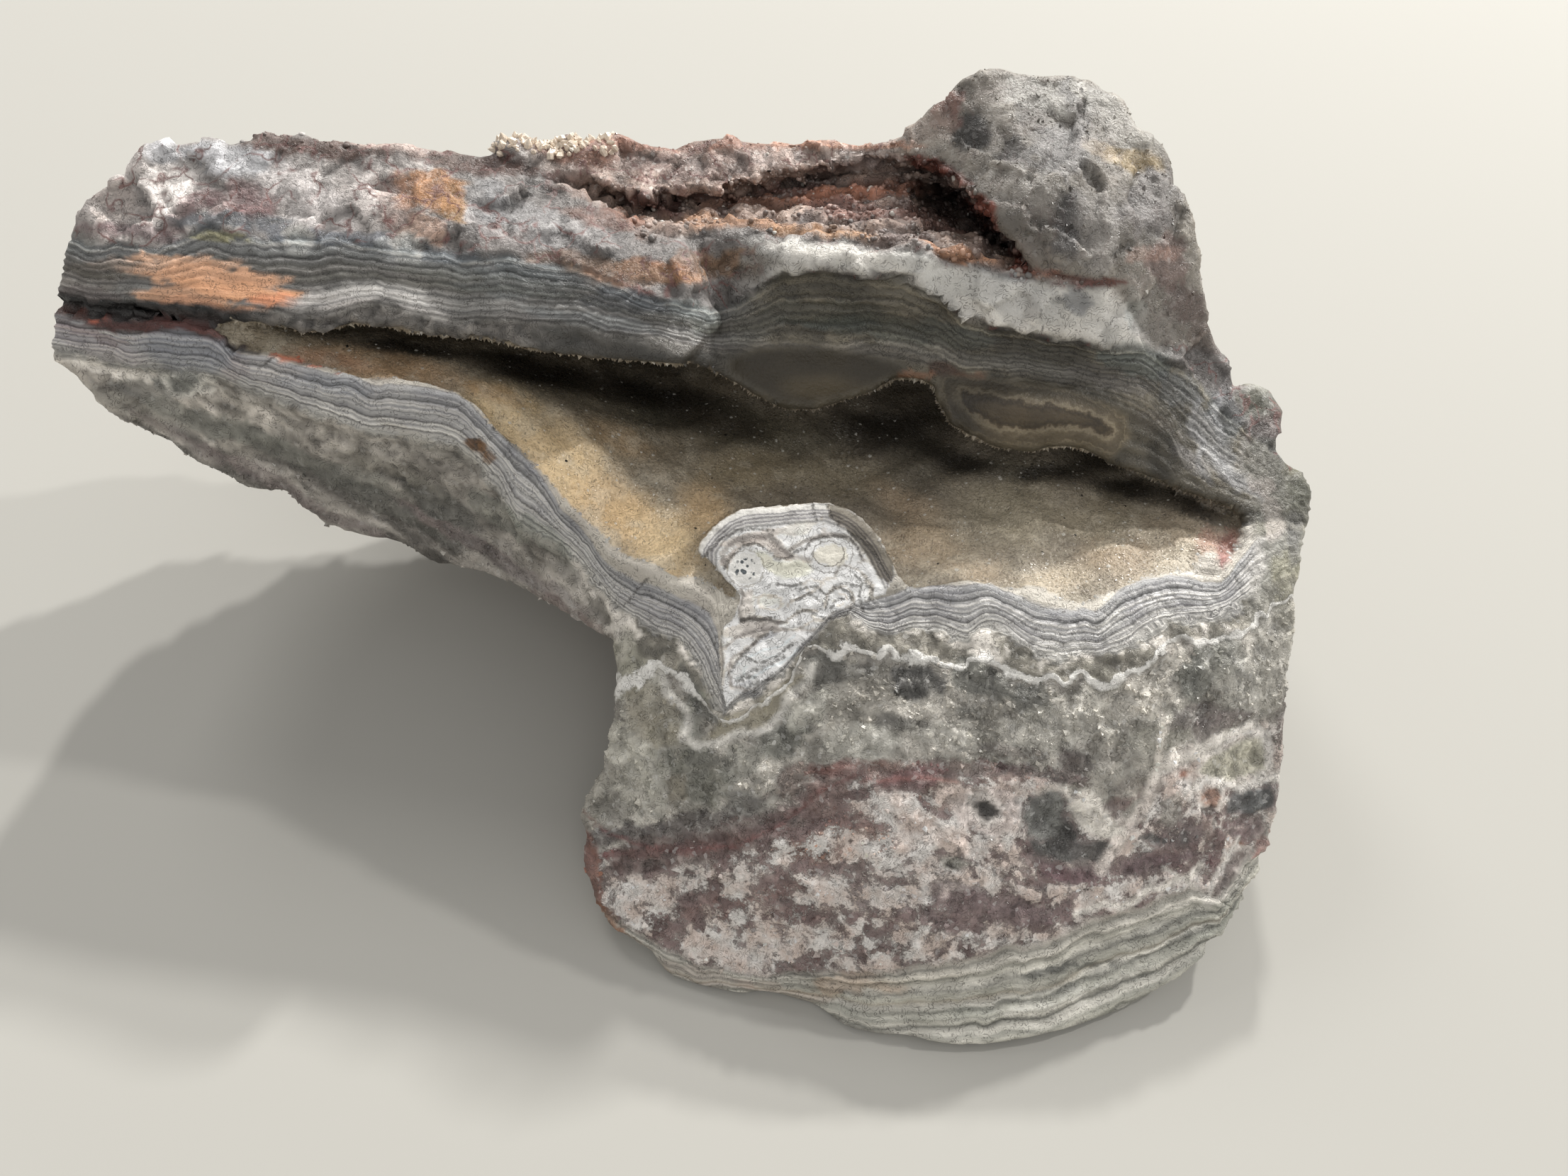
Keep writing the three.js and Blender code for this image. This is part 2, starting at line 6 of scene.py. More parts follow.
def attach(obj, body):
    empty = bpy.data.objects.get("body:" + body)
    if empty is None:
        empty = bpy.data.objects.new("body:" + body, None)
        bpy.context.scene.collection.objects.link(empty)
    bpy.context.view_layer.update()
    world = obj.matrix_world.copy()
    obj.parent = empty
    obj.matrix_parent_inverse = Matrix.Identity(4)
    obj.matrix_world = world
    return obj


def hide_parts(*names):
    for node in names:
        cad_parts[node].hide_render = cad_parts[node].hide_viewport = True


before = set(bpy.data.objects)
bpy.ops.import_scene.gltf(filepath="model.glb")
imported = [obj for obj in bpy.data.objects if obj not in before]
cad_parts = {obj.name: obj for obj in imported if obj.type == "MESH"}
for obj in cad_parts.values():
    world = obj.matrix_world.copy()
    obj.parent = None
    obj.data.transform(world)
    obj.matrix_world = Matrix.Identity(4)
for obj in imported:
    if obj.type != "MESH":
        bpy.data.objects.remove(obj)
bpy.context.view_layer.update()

# ---------------------------------------------------------------------------
# Drawing sheet (mm): an eye looks down on the broken face. The same sheet as the solid's.
# ---------------------------------------------------------------------------
REACH, EYE_Z, SHEET_F = 140.0, 144.5, 1501.0
DIP, ROLL = math.radians(52.0), math.radians(7.3)
MID = np.array([-13.012564, 100.635915, 0.0])       # the solid's origin on the sheet's floor
MM = REACH / SHEET_F
AX_F = np.array([0, math.cos(DIP), -math.sin(DIP)])
AX_R = np.array([math.cos(ROLL), math.sin(ROLL) * math.sin(DIP), math.sin(ROLL) * math.cos(DIP)])
AX_T = np.array([-math.sin(ROLL), math.cos(ROLL) * math.sin(DIP), math.cos(ROLL) * math.cos(DIP)])
SINK, BELLY, FOOT = 1.8, 5.0, (4.0, 110.0)
EDGE_R, HULL_R, LIP_R, LIP_T, SLOT_CEIL, KNOB_R = 1.3, 7.0, 0.45, 2.2, 47.0, 13.0

def P2(a):
    return np.array(a, float).reshape(-1, 2)

OUTLINE = P2([59,457,61,453,64,415,68,383,75,344,80,312,96,271,105,249,128,231,153,217,167,204,182,187,210,182,246,175,281,179,316,175,322,167,344,166,355,173,370,172,381,163,395,173,418,177,440,172,466,179,510,179,548,182,574,186,615,191,638,182,663,173,686,182,708,172,721,167,735,171,740,184,759,175,784,170,810,179,848,185,893,173,944,173,1000,176,1038,177,1064,173,1096,179,1140,172,1166,159,1185,137,1210,115,1226,97,1246,89,1274,87,1300,91,1332,92,1370,96,1399,98,1408,108,1427,115,1440,128,1442,143,1454,163,1475,169,1491,185,1501,210,1504,230,1513,255,1526,281,1531,312,1533,344,1539,383,1547,415,1555,440,1571,466,1577,490,1599,492,1619,501,1633,523,1635,548,1631,574,1644,590,1666,603,1677,622,1678,638,1670,675,1664,710,1653,755,1653,795,1647,835,1643,872,1637,908,1640,960,1636,1008,1633,1038,1625,1065,1610,1110,1588,1151,1553,1196,1526,1224,1498,1248,1463,1276,1429,1293,1380,1311,1325,1325,1256,1338,1221,1340,1186,1338,1159,1331,1117,1338,1090,1328,1048,1307,1020,1290,993,1276,965,1272,923,1269,889,1264,854,1255,840,1234,830,1217,799,1200,782,1183,761,1158,750,1131,742,1096,747,1068,740,1041,754,1006,768,978,775,944,784,902,786,868,785,840,780,818,765,808,727,786,689,764,651,741,612,727,574,719,542,712,510,693,472,687,446,677,415,668,389,649,357,622,319,620,281,604,242,585,210,559,166,543,128,518,99,489,89,476,70,467])
C1 = P2([40,300,85,300,110,312,150,312,200,318,235,305,270,290,300,305,350,300,390,300,430,300,460,312,500,312,540,318,580,325,620,330,660,328,700,338,740,345,780,355,820,375,870,390,905,396,944,384,1000,351,1051,344,1128,354,1160,358,1198,383,1230,408,1268,420,1312,425,1360,435,1420,445,1470,450,1520,475,1560,520,1600,560,1640,590,1700,620])
C2 = P2([40,385,73,383,135,393,183,396,231,401,278,409,326,409,358,410,383,415,415,415,437,408,462,398,484,392,510,397,545,412,580,415,640,417,700,423,765,428,830,436,880,440,918,452,960,462,1000,470,1038,472,1080,468,1120,468,1160,476,1200,482,1260,488,1320,495,1400,508,1446,523,1470,535,1491,555,1510,593,1542,622,1587,640,1640,655,1700,670])
ROOF = P2([40,384,73,385,135,394,183,397,231,402,262,409,278,410,326,411,358,413,383,421,415,421,437,416,453,412,484,415,516,420,548,427,611,431,640,437,680,445,721,450,770,455,816,459,860,464,893,469,918,477,957,498,1000,520,1038,522,1070,511,1115,498,1137,485,1165,482,1191,491,1198,510,1210,536,1236,555,1274,570,1319,574,1357,568,1383,572,1415,590,1459,604,1504,623,1542,636,1574,649])
FLOORL = P2([262,411,280,425,292,445,300,452,326,455,358,462,389,468,421,474,453,480,484,487,507,483,548,489,580,499,611,521,632,545,655,567,680,590,696,617,714,649,746,687,772,716,798,730,823,741,850,753,874,764,905,777,925,785,938,782,944,772,945,760,938,750,926,738,912,722,889,703,893,692,905,677,928,658,947,650,974,648,1009,644,1037,642,1055,642,1078,649,1097,662,1113,677,1129,700,1138,718,1146,738,1161,752,1177,751,1201,746,1234,741,1266,746,1294,756,1318,772,1347,778,1375,779,1399,776,1415,766,1435,750,1460,738,1488,730,1516,731,1536,741,1555,745,1566,738,1574,719,1581,700,1584,680,1584,660])
C3 = P2([40,396,73,394,135,400,167,407,215,404,262,411,280,425,292,445,300,452,326,455,358,462,389,468,421,474,453,480,484,487,507,483,548,489,580,499,611,521,632,545,655,567,680,590,696,617,714,649,746,687,772,716,798,730,823,741,850,753,874,764,905,777,915,800,921,860,924,898,940,884,965,872,1000,846,1030,810,1055,780,1080,768,1105,768,1130,764,1161,752,1177,751,1201,746,1234,741,1266,746,1294,756,1318,772,1347,778,1375,779,1399,776,1415,766,1435,750,1460,738,1488,730,1516,731,1536,741,1555,745,1566,738,1580,715,1600,690,1640,670,1700,675])
C4 = P2([40,440,62,446,100,452,130,460,170,472,210,470,245,480,281,489,320,500,357,515,408,534,453,547,510,559,560,570,593,582,616,604,635,625,644,640,657,668,689,687,721,706,753,738,778,770,804,789,842,808,870,825,885,845,899,870,912,906,924,912,940,895,965,885,1000,860,1030,822,1060,790,1084,782,1104,802,1129,814,1161,808,1193,806,1217,818,1234,822,1250,806,1270,802,1290,814,1306,830,1330,840,1355,844,1383,834,1403,838,1423,834,1443,826,1468,810,1504,800,1544,792,1577,782,1597,766,1640,740,1700,700])
C4B = P2([40,500,240,560,400,600,560,640,640,690,720,770,785,905,840,860,880,880,905,905,930,925,960,905,1000,880,1030,835,1040,830,1064,845,1084,834,1108,836,1141,845,1173,846,1195,846,1217,862,1238,846,1262,845,1282,861,1306,869,1330,871,1355,875,1379,861,1399,877,1419,879,1435,869,1460,860,1480,835,1492,824,1524,826,1556,816,1581,810,1605,794,1640,770,1700,740])
C5 = P2([40,560,300,700,600,830,700,1010,744,1089,806,1082,875,1068,944,1061,1006,1027,1048,992,1117,985,1186,985,1242,985,1325,992,1394,1027,1442,1048,1484,985,1532,965,1602,923,1640,915,1700,900])
C6 = P2([40,700,300,850,600,1000,760,1150,800,1180,840,1207,910,1234,979,1248,1048,1241,1117,1234,1186,1228,1221,1224,1290,1207,1339,1196,1394,1165,1463,1151,1519,1131,1553,1144,1588,1096,1620,1060,1700,1000])
C0 = P2([40,190,180,150,400,150,700,150,900,150,1000,150,1150,150,1250,60,1400,60,1500,160,1560,400,1700,500])
C7 = P2([40,840,300,1000,600,1150,850,1275,980,1290,1110,1345,1230,1355,1330,1345,1480,1275,1600,1180,1700,1100])
FISS_TOP = P2([690,222,735,226,778,238,823,262,859,242,914,248,985,226,1051,215,1116,204,1166,199,1199,215,1242,248,1275,286,1303,325,1325,349,1380,357])
FISS_FOOT = P2([690,226,735,250,778,270,823,300,859,292,914,286,969,292,1023,303,1089,300,1166,314,1242,330,1297,346,1380,360])
HOLE = P2([1160,236,1210,236,1246,264,1270,290,1300,328,1292,336,1242,306,1195,298,1168,275])
KNOB = P2([889,703,893,692,905,677,928,658,947,650,974,648,1009,644,1037,642,1055,642,1078,649,1097,662,1113,677,1129,700,1138,718,1146,738,1161,752,1130,800,1040,850,930,900,900,840,945,790,945,760,926,738,912,722])
NODULE_C = P2([889,703,893,692,905,677,928,658,947,650,974,648,1009,644,1037,642,1055,642,1078,649,1097,662,1113,677,1129,700,1138,718,1140,736,1128,758,1100,768,1062,782,1032,812,1002,848,968,874,940,890,926,902,921,870,918,830,925,800,938,786,945,772,945,760,938,750,926,738,912,722])
NODULE_B = P2([1192,478,1216,472,1260,478,1310,486,1360,492,1405,506,1440,528,1446,560,1418,590,1383,573,1357,569,1319,575,1274,571,1236,556,1210,537,1198,511])
NODULE_A = P2([925,452,965,440,1010,436,1060,438,1110,448,1150,462,1160,480,1137,486,1115,499,1070,512,1038,523,1000,521,957,499,925,480])
RELIEF = np.array([
 60,455,-2, 80,330,-1.5, 110,250,-2, 180,200,-3, 180,300,0, 180,400,0, 330,180,-4, 330,260,0, 330,350,0.5, 330,405,0,
 480,190,-4, 480,260,0, 480,340,1, 480,400,0, 620,200,-5, 620,270,0, 620,350,1.5, 620,425,0.5, 720,190,-8, 720,250,-3,
 740,320,1, 760,400,2, 780,450,1, 860,400,2.5, 850,450,1.5, 840,340,1, 900,300,-2, 820,180,-10, 950,180,-10, 1060,180,-10,
 820,215,-6, 950,210,-6, 1060,205,-5, 1150,185,-6, 1000,325,-1, 1100,340,0, 1150,350,0, 1200,395,0, 1280,375,-1, 1300,415,-1.5,
 1360,390,-2, 1420,435,-3, 1200,150,-4, 1250,100,-4, 1330,100,-4, 1400,105,-6, 1250,180,-1, 1330,190,1.5, 1420,200,-1, 1490,200,-6,
 1300,270,2, 1380,290,3, 1450,310,0.5, 1525,320,-6, 1400,360,1, 1480,410,-3, 1545,420,-9, 1600,510,-14, 1565,470,-12, 1632,560,-13.5,
 1675,640,-13, 1600,610,-9, 1550,545,-8, 1665,710,-11, 1610,700,-6, 930,400,-3, 1000,390,-3.5, 960,440,-8, 1010,480,-11, 1050,510,-11.5,
 1100,425,-6, 1100,480,-11, 1200,440,-6, 1190,480,-10, 1260,440,-3.5, 1240,520,-9, 1330,455,-4, 1320,520,-8, 1330,565,-10, 1400,470,-4,
 1400,535,-8.5, 1455,500,-5, 1470,590,-8, 1520,560,-6, 1540,625,-7, 1590,645,-6, 300,450,-0.5, 450,478,0, 550,490,0.5, 620,530,0.5,
 700,620,0.5, 770,715,0, 870,765,0, 930,790,-0.5, 600,440,-0.5, 720,500,-0.5, 820,560,-1, 820,660,-0.5, 960,580,-4, 900,690,-0.5,
 960,655,0, 1050,650,0.5, 1110,690,0, 1000,750,1, 960,820,0.5, 930,880,0, 1150,750,0, 1240,745,0.5, 1350,780,0.5, 1450,745,0,
 1550,745,-2, 1590,710,-4, 1180,600,-5, 1300,650,-4, 1430,660,-4, 800,825,-1, 850,850,-0.5, 800,950,-3, 760,1000,-6, 900,950,0,
 1000,900,1.5, 1100,850,1.5, 1300,860,2, 1450,850,1, 1550,800,-1.5, 1605,790,-4.5, 1652,800,-9, 1640,950,-9.5, 1560,900,-2, 1600,1000,-6,
 1622,1075,-10, 790,1080,-4.5, 745,1090,-7.5, 850,1050,-1, 1000,1000,1.5, 1200,950,2.5, 1400,950,1.5, 1500,1000,-1, 1500,1100,-3, 1550,1195,-9,
 1590,1130,-9, 850,1150,-2.5, 795,1190,-6, 1000,1100,1, 1200,1100,2.5, 1350,1100,1.5, 900,1230,-3.2, 850,1250,-5.2, 1000,1220,-0.5, 1150,1200,1.5,
 1300,1190,1, 1430,1160,-1.5, 950,1268,-4.4, 1020,1288,-3.8, 1100,1330,-3, 1180,1336,-2.3, 1256,1336,-2.3, 1100,1280,-1.2, 1200,1280,-0.4, 1300,1270,-1.1,
 1325,1322,-3.2, 1400,1300,-5, 1400,1220,-2, 1460,1274,-7.4, 1500,1244,-8.6, 1500,1180,-5.5, 150,490,-2.5, 300,520,-1, 300,560,-9, 300,612,-17,
 210,555,-13, 130,515,-6, 400,550,-1, 400,600,-9, 400,655,-18, 500,575,-1.5, 500,630,-9, 500,690,-19, 590,600,-1.5, 600,650,-9,
 600,722,-20, 700,700,-1, 700,735,-9, 700,768,-18, 640,660,-3, 750,780,-5, 775,806,-11], float).reshape(-1, 3)
FLOOR = np.array([
 420,455,43.5, 520,470,43, 560,480,43.5, 620,515,42, 650,500,41.5, 700,560,38.5, 740,530,39, 760,620,35, 800,570,35.5, 820,660,33.2,
 880,610,33.0, 850,710,33.0, 900,740,33.6, 920,620,32.6, 700,490,35, 800,500,31, 860,520,30.5, 920,550,30.5, 980,590,30.5, 1060,620,30.5,
 1000,540,31, 1080,540,30.5, 1140,600,30.5, 1170,680,31.5, 1180,560,29.5, 1220,640,32.5, 1250,700,32.5, 1240,600,33, 1300,590,35.2, 1350,610,35.5,
 1300,650,34.5, 1400,630,34.5, 1380,700,34, 1440,620,32.5, 1450,680,34, 1500,650,34, 1540,690,36, 1500,700,35, 1340,740,34, 1180,720,32.5,
 600,445,37, 500,435,41], float).reshape(-1, 3)
FRONT_HULL = P2([-19,-8, -22.5,3, -25,10.5, -29,14.5, -40,16.5, -58,18.5, -76,21.5, -87,31, -97,44, -99,66, -60,76, 0,82, 20,90, 60,90, 84,60, 84,10, 80,-8])
PLAN_HULL = P2([-100,20, -101,112, -93,126, -74,134, -50,137, -30,143, -8,150, 14,153, 34,154, 52,149, 66,139, 74,124, 80,100, 84,60, 84,20])
PLAN_SLOT = P2([-76,60, -74,100, -68,113, -52,123, -28,130, 0,133, 20,133, 34,129, 44,119, 50,108, 54,98, 55,60])

# ---------------------------------------------------------------------------
# Numerical helpers
# ---------------------------------------------------------------------------
def smax(a, b, k):
    h = np.maximum(k - np.abs(a - b), 0) / k
    return np.maximum(a, b) + h * h * k * 0.25

def smin(a, b, k):
    return -smax(-a, -b, k)

def sstep(x, a, b):
    t = np.clip((x - a) / (b - a), 0, 1)
    return t * t * (3 - 2 * t)

def sheet_point(px, py, w):
    px, py, w = np.broadcast_arrays(np.asarray(px, float), np.asarray(py, float), np.asarray(w, float))
    zc = REACH - w
    x, y = (px - 1000) / SHEET_F, (750 - py) / SHEET_F
    d = AX_F + x[..., None] * AX_R + y[..., None] * AX_T
    return d * zc[..., None] + np.array([0, 0, EYE_Z])

def to_sheet(p):
    q = p - np.array([0, 0, EYE_Z])
    zc, u, v = q @ AX_F, q @ AX_R, q @ AX_T
    zs = np.maximum(zc, 40)
    return 1000 + SHEET_F * u / zs, 750 - SHEET_F * v / zs, u, v, REACH - zc

def inside_distance(poly, x, y):
    best = np.full(x.shape, 1e18)
    inside = np.zeros(x.shape, bool)
    n = len(poly)
    for i in range(n):
        ax, ay = poly[i - 1]
        bx, by = poly[i]
        ex, ey = bx - ax, by - ay
        t = np.clip(((x - ax) * ex + (y - ay) * ey) / (ex * ex + ey * ey + 1e-12), 0, 1)
        dx, dy = x - ax - t * ex, y - ay - t * ey
        np.minimum(best, dx * dx + dy * dy, out=best)
        if ay != by:
            c = ((ay > y) != (by > y)) & (x < ax + (y - ay) / (by - ay) * ex)
            inside ^= c
    return np.where(inside, 1.0, -1.0) * np.sqrt(best)

class Raster:
    def __init__(self, x0, x1, y0, y1, step, fn):
        self.x0, self.y0, self.s = x0, y0, step
        self.nx, self.ny = int((x1 - x0) / step) + 2, int((y1 - y0) / step) + 2
        X, Y = np.meshgrid(x0 + step * np.arange(self.nx), y0 + step * np.arange(self.ny), indexing="ij")
        self.a = fn(X, Y)
    def __call__(self, x, y):
        fx = np.clip((x - self.x0) / self.s, 0, self.nx - 1.001)
        fy = np.clip((y - self.y0) / self.s, 0, self.ny - 1.001)
        i, j = fx.astype(np.int32), fy.astype(np.int32)
        fx, fy = fx - i, fy - j
        a = self.a
        return (a[i, j] * (1 - fx) + a[i + 1, j] * fx) * (1 - fy) + (a[i, j + 1] * (1 - fx) + a[i + 1, j + 1] * fx) * fy

def spread(points, s, X, Y):
    A = np.zeros(X.shape)
    B = np.zeros(X.shape)
    for qx, qy, qw in points:
        d2 = ((X - qx) ** 2 + (Y - qy) ** 2) / (s * s)
        k = np.exp(-0.5 * d2) + 1e-7 / (1 + d2) ** 2
        A += k * qw
        B += k
    return A / B

def _hash(ix, iy, iz, seed):
    h = (ix.astype(np.int64) * 374761393 + iy.astype(np.int64) * 668265263 + iz.astype(np.int64) * 2147483647 + seed * 974711) & 0xFFFFFFFF
    h = (h ^ (h >> 13)) * 1274126177 & 0xFFFFFFFF
    h = (h ^ (h >> 16)) * 2246822519 & 0xFFFFFFFF
    h ^= h >> 15
    return (h & 0xFFFFFF) / float(0x1000000)

def vnoise(p, scale, seed):
    q = p / scale + 1000.0
    i = np.floor(q).astype(np.int64)
    f = q - i
    f = f * f * f * (f * (f * 6 - 15) + 10)
    out = 0
    for a in (0, 1):
        for b in (0, 1):
            for c in (0, 1):
                w = (f[:, 0] if a else 1 - f[:, 0]) * (f[:, 1] if b else 1 - f[:, 1]) * (f[:, 2] if c else 1 - f[:, 2])
                out = out + w * _hash(i[:, 0] + a, i[:, 1] + b, i[:, 2] + c, seed)
    return out * 2 - 1

def fbm(p, scale, octaves, seed, gain=0.5):
    out, amp, tot = 0, 1.0, 0.0
    for o in range(octaves):
        out = out + amp * vnoise(p, scale / 2 ** o, seed + 17 * o)
        tot += amp
        amp *= gain
    return out / tot

def cells(p, scale, seed):
    """nearest and second nearest seed distances, the cell's random number and a random plane's height"""
    q = p / scale + 1000.0
    i = np.floor(q).astype(np.int64)
    f1 = np.full(len(p), 9.0)
    f2 = np.full(len(p), 9.0)
    rid = np.zeros(len(p))
    pl = np.zeros(len(p))
    for a in (-1, 0, 1):
        for b in (-1, 0, 1):
            for c in (-1, 0, 1):
                x, y, z = i[:, 0] + a, i[:, 1] + b, i[:, 2] + c
                sx, sy, sz = x + _hash(x, y, z, seed), y + _hash(x, y, z, seed + 1), z + _hash(x, y, z, seed + 2)
                dx, dy, dz = q[:, 0] - sx, q[:, 1] - sy, q[:, 2] - sz
                d = np.sqrt(dx * dx + dy * dy + dz * dz)
                near = d < f1
                f2 = np.where(near, f1, np.minimum(f2, d))
                r = _hash(x, y, z, seed + 3)
                g = (_hash(x, y, z, seed + 4) * 2 - 1) * dx + (_hash(x, y, z, seed + 5) * 2 - 1) * dy + (_hash(x, y, z, seed + 6) * 2 - 1) * dz
                rid = np.where(near, r, rid)
                pl = np.where(near, g + (r - 0.5) * 0.8, pl)
                f1 = np.where(near, d, f1)
    return f1, f2, rid, pl

def lumps(x, y, z):
    return (0.5 * np.sin(0.23 * x + 1.1 * np.sin(0.13 * y) + 0.7) * np.cos(0.21 * y + 0.9 * np.sin(0.17 * z))
            + 0.32 * np.sin(0.41 * y + 0.9 * np.sin(0.29 * x) + 2.1) * np.cos(0.37 * z + 0.5)
            + 0.3 * np.sin(0.55 * z + 1.2 * np.sin(0.33 * y) + 0.31 * x))

# ---------------------------------------------------------------------------
# Relief of the broken face, on the sheet
# ---------------------------------------------------------------------------
def curve(c, X):
    return np.interp(X, c[:, 0], c[:, 1])

base_face = Raster(-40, 1800, -20, 1440, 8, lambda X, Y: spread(RELIEF, 52, X, Y))
hole_in = Raster(1100, 1360, 180, 380, 3, lambda X, Y: inside_distance(HOLE, X, Y))

def bump1(x, y, cx, cy, rx, ry, ang=0.0):
    c, s = math.cos(math.radians(ang)), math.sin(math.radians(ang))
    u, v = ((x - cx) * c + (y - cy) * s) / rx, (-(x - cx) * s + (y - cy) * c) / ry
    return np.exp(-(u * u + v * v))

def face_fn(X, Y):
    w = base_face(X, Y)
    # the rusty fissure, steep under its upper edge, with ledges towards its foot
    a, b = curve(FISS_TOP, X), curve(FISS_FOOT, X)
    t = np.clip((b - Y) / np.maximum(14, b - a), 0, 1.0)
    ledge = t + 0.10 * np.sin(t * 14 + X * 0.02) * t
    over = sstep(Y, a - 4, a + 10)
    ends = sstep(X, 690, 790) * sstep(-X, -1390, -1290)
    w = w - (9.0 - 3.5 * sstep(X, 960, 1040) * sstep(-X, -1190, -1130)) * np.clip(ledge, 0, 1) ** 0.85 * over * ends
    w = w - 10.0 * sstep(hole_in(X, Y), -8, 12) * (X > 1110) * (X < 1350) * (Y > 185) * (Y < 375)
    # proud slab on the left of the roof, broken off in a step
    edge = np.interp(Y, [280, 310, 345, 380, 400, 412, 430, 450, 470], [872, 880, 893, 905, 915, 917, 905, 885, 868])
    w = w + 1.3 * sstep(edge - X, -5, 7) * sstep(Y, 285, 330) * sstep(X, 700, 860) * sstep(-Y, -520, -485)
    w = w - 2.2 * sstep(X - edge, -5, 8) * sstep(Y, 300, 350) * sstep(-X, -1010, -930) * sstep(-Y, -520, -485)
    # foot of the bright facet over the roof recess
    c1 = curve(C1, X)
    w = w + 0.9 * sstep(c1 - Y, -8, 8) * sstep(X, 930, 1010) * sstep(-X, -1500, -1380) * sstep(Y, 300, 330)
    w = w - 1.2 * sstep(Y - c1, -6, 10) * sstep(X, 930, 1010) * sstep(-X, -1450, -1350) * sstep(-Y, -520, -470)
    # nodules that hang from the roof's lip
    w = w + 3.2 * bump1(X, Y, 1045, 478, 105, 40, 2) + 3.0 * bump1(X, Y, 1318, 528, 120, 46, 8)
    # step along the foot of the banded layer on the arm
    c4 = curve(C4, X)
    w = w - 1.0 * sstep(Y - c4, -3, 12) * sstep(-X, -800, -640) * sstep(-Y, -900, -800)
    # lens-shaped quartz pockets and small pits lower down
    w = w - 1.6 * bump1(X, Y, 1362, 1062, 52, 34, 10) - 1.1 * bump1(X, Y, 1588, 965, 26, 26) - 1.4 * bump1(X, Y, 1255, 1033, 12, 8)
    w = w - 1.8 * bump1(X, Y, 1218, 1102, 6, 5) - 0.9 * bump1(X, Y, 835, 1105, 8, 6) - 0.8 * bump1(X, Y, 900, 905, 18, 26)
    # thin ledge at the foot
    w = w - 1.3 * sstep(Y, 1256, 1266) * sstep(X, 940, 975) * sstep(-X, -1090, -1030) * sstep(-Y, -1330, -1300)
    # hairline slit that carries on from the slot to the left end
    r = curve(ROOF, X)
    w = w - 2.6 * np.exp(-((Y - r - 3) / 4.5) ** 2) * sstep(-X, -300, -262)
    return w

face_map = Raster(-40, 1800, -20, 1440, 2.5, face_fn)
mouth_poly = np.vstack([ROOF[5:], FLOORL[::-1]])
mouth_in = Raster(200, 1640, 360, 820, 2.5, lambda X, Y: inside_distance(mouth_poly, X, Y))
knob_in = Raster(840, 1200, 600, 940, 2.5, lambda X, Y: inside_distance(KNOB, X, Y))

def flank_poly():
    p = sheet_point(OUTLINE[:, 0], OUTLINE[:, 1], face_map(OUTLINE[:, 0], OUTLINE[:, 1]))
    _, _, u, v, _ = to_sheet(p)
    return np.stack([u, v], 1)

flank_in = Raster(-104, 80, -70, 84, 0.35, lambda X, Y, P=flank_poly(): inside_distance(P, X, Y))
fronthull_in = Raster(-112, 92, -12, 96, 0.8, lambda X, Y: inside_distance(FRONT_HULL, X, Y))
planhull_in = Raster(-112, 92, 30, 166, 0.8, lambda X, Y: inside_distance(PLAN_HULL, X, Y))
planslot_in = Raster(-90, 75, 60, 150, 0.6, lambda X, Y: inside_distance(PLAN_SLOT, X, Y))
roof_edge = sheet_point(ROOF[5:, 0], ROOF[5:, 1], base_face(ROOF[5:, 0], ROOF[5:, 1]))
roof_edge = roof_edge[np.argsort(roof_edge[:, 0])]

def floor_points():
    out = []
    x, y = (FLOOR[:, 0] - 1000) / SHEET_F, (750 - FLOOR[:, 1]) / SHEET_F
    zc = (EYE_Z - FLOOR[:, 2]) / -(AX_F[2] + x * AX_R[2] + y * AX_T[2])
    p = sheet_point(FLOOR[:, 0], FLOOR[:, 1], REACH - zc)
    out += [(a, b, c) for a, b, c in p]
    m = ~((FLOORL[:, 0] > 880) & (FLOORL[:, 0] < 1150) & (FLOORL[:, 1] < 790))
    out += [tuple(q) for q in sheet_point(FLOORL[m, 0], FLOORL[m, 1], base_face(FLOORL[m, 0], FLOORL[m, 1]))]
    out += [tuple(q) for q in sheet_point(np.array([905, 925, 938, 942, 930, 915]), np.array([777, 784, 778, 762, 742, 728]), base_face(np.array([905., 925, 938, 942, 930, 915]), np.array([777., 784, 778, 762, 742, 728])) - np.array([0, 0, 0.2, 0.3, 0.8, 1.6]))]
    return out + [(0, 90, 33), (8, 90, 33), (0, 97, 32), (8, 97, 32), (-6, 91, 34), (14, 96, 32), (-9, 89, 34), (-4, 86, 33)]

floor_map = Raster(-92, 76, 60, 150, 0.5, lambda X, Y, F=floor_points(): spread(F, 6.0, X, Y)
                   + 0.5 * np.sin(X * 0.55 + 1.5 * np.sin(Y * 0.31)) * np.sin(Y * 0.47 + 1.1 * np.sin(X * 0.23)))

def slot_air(p, px, py):
    x, y, z = p[:, 0], p[:, 1], p[:, 2]
    fl = floor_map(x, y)
    mouth = np.maximum(-mouth_in(px, py) * MM, fl - z)
    ry = np.interp(x, roof_edge[:, 0], roof_edge[:, 1])
    rz = np.interp(x, roof_edge[:, 0], roof_edge[:, 2])
    run = y - ry
    lip = rz - LIP_T
    up = lip + np.maximum(0, SLOT_CEIL - 0.05 * np.abs(x) - lip) * np.clip((run - 4) / 9, 0, 1) + 0.5 * np.sin(x * 0.5) * np.cos(y * 0.6)
    ceil = np.where(run > 0, up, lip + 1.2 * run)
    inner = smax(np.maximum(fl - z, z - ceil), -planslot_in(x, y), 5)
    return smin(mouth, inner, 0.8), fl, ceil

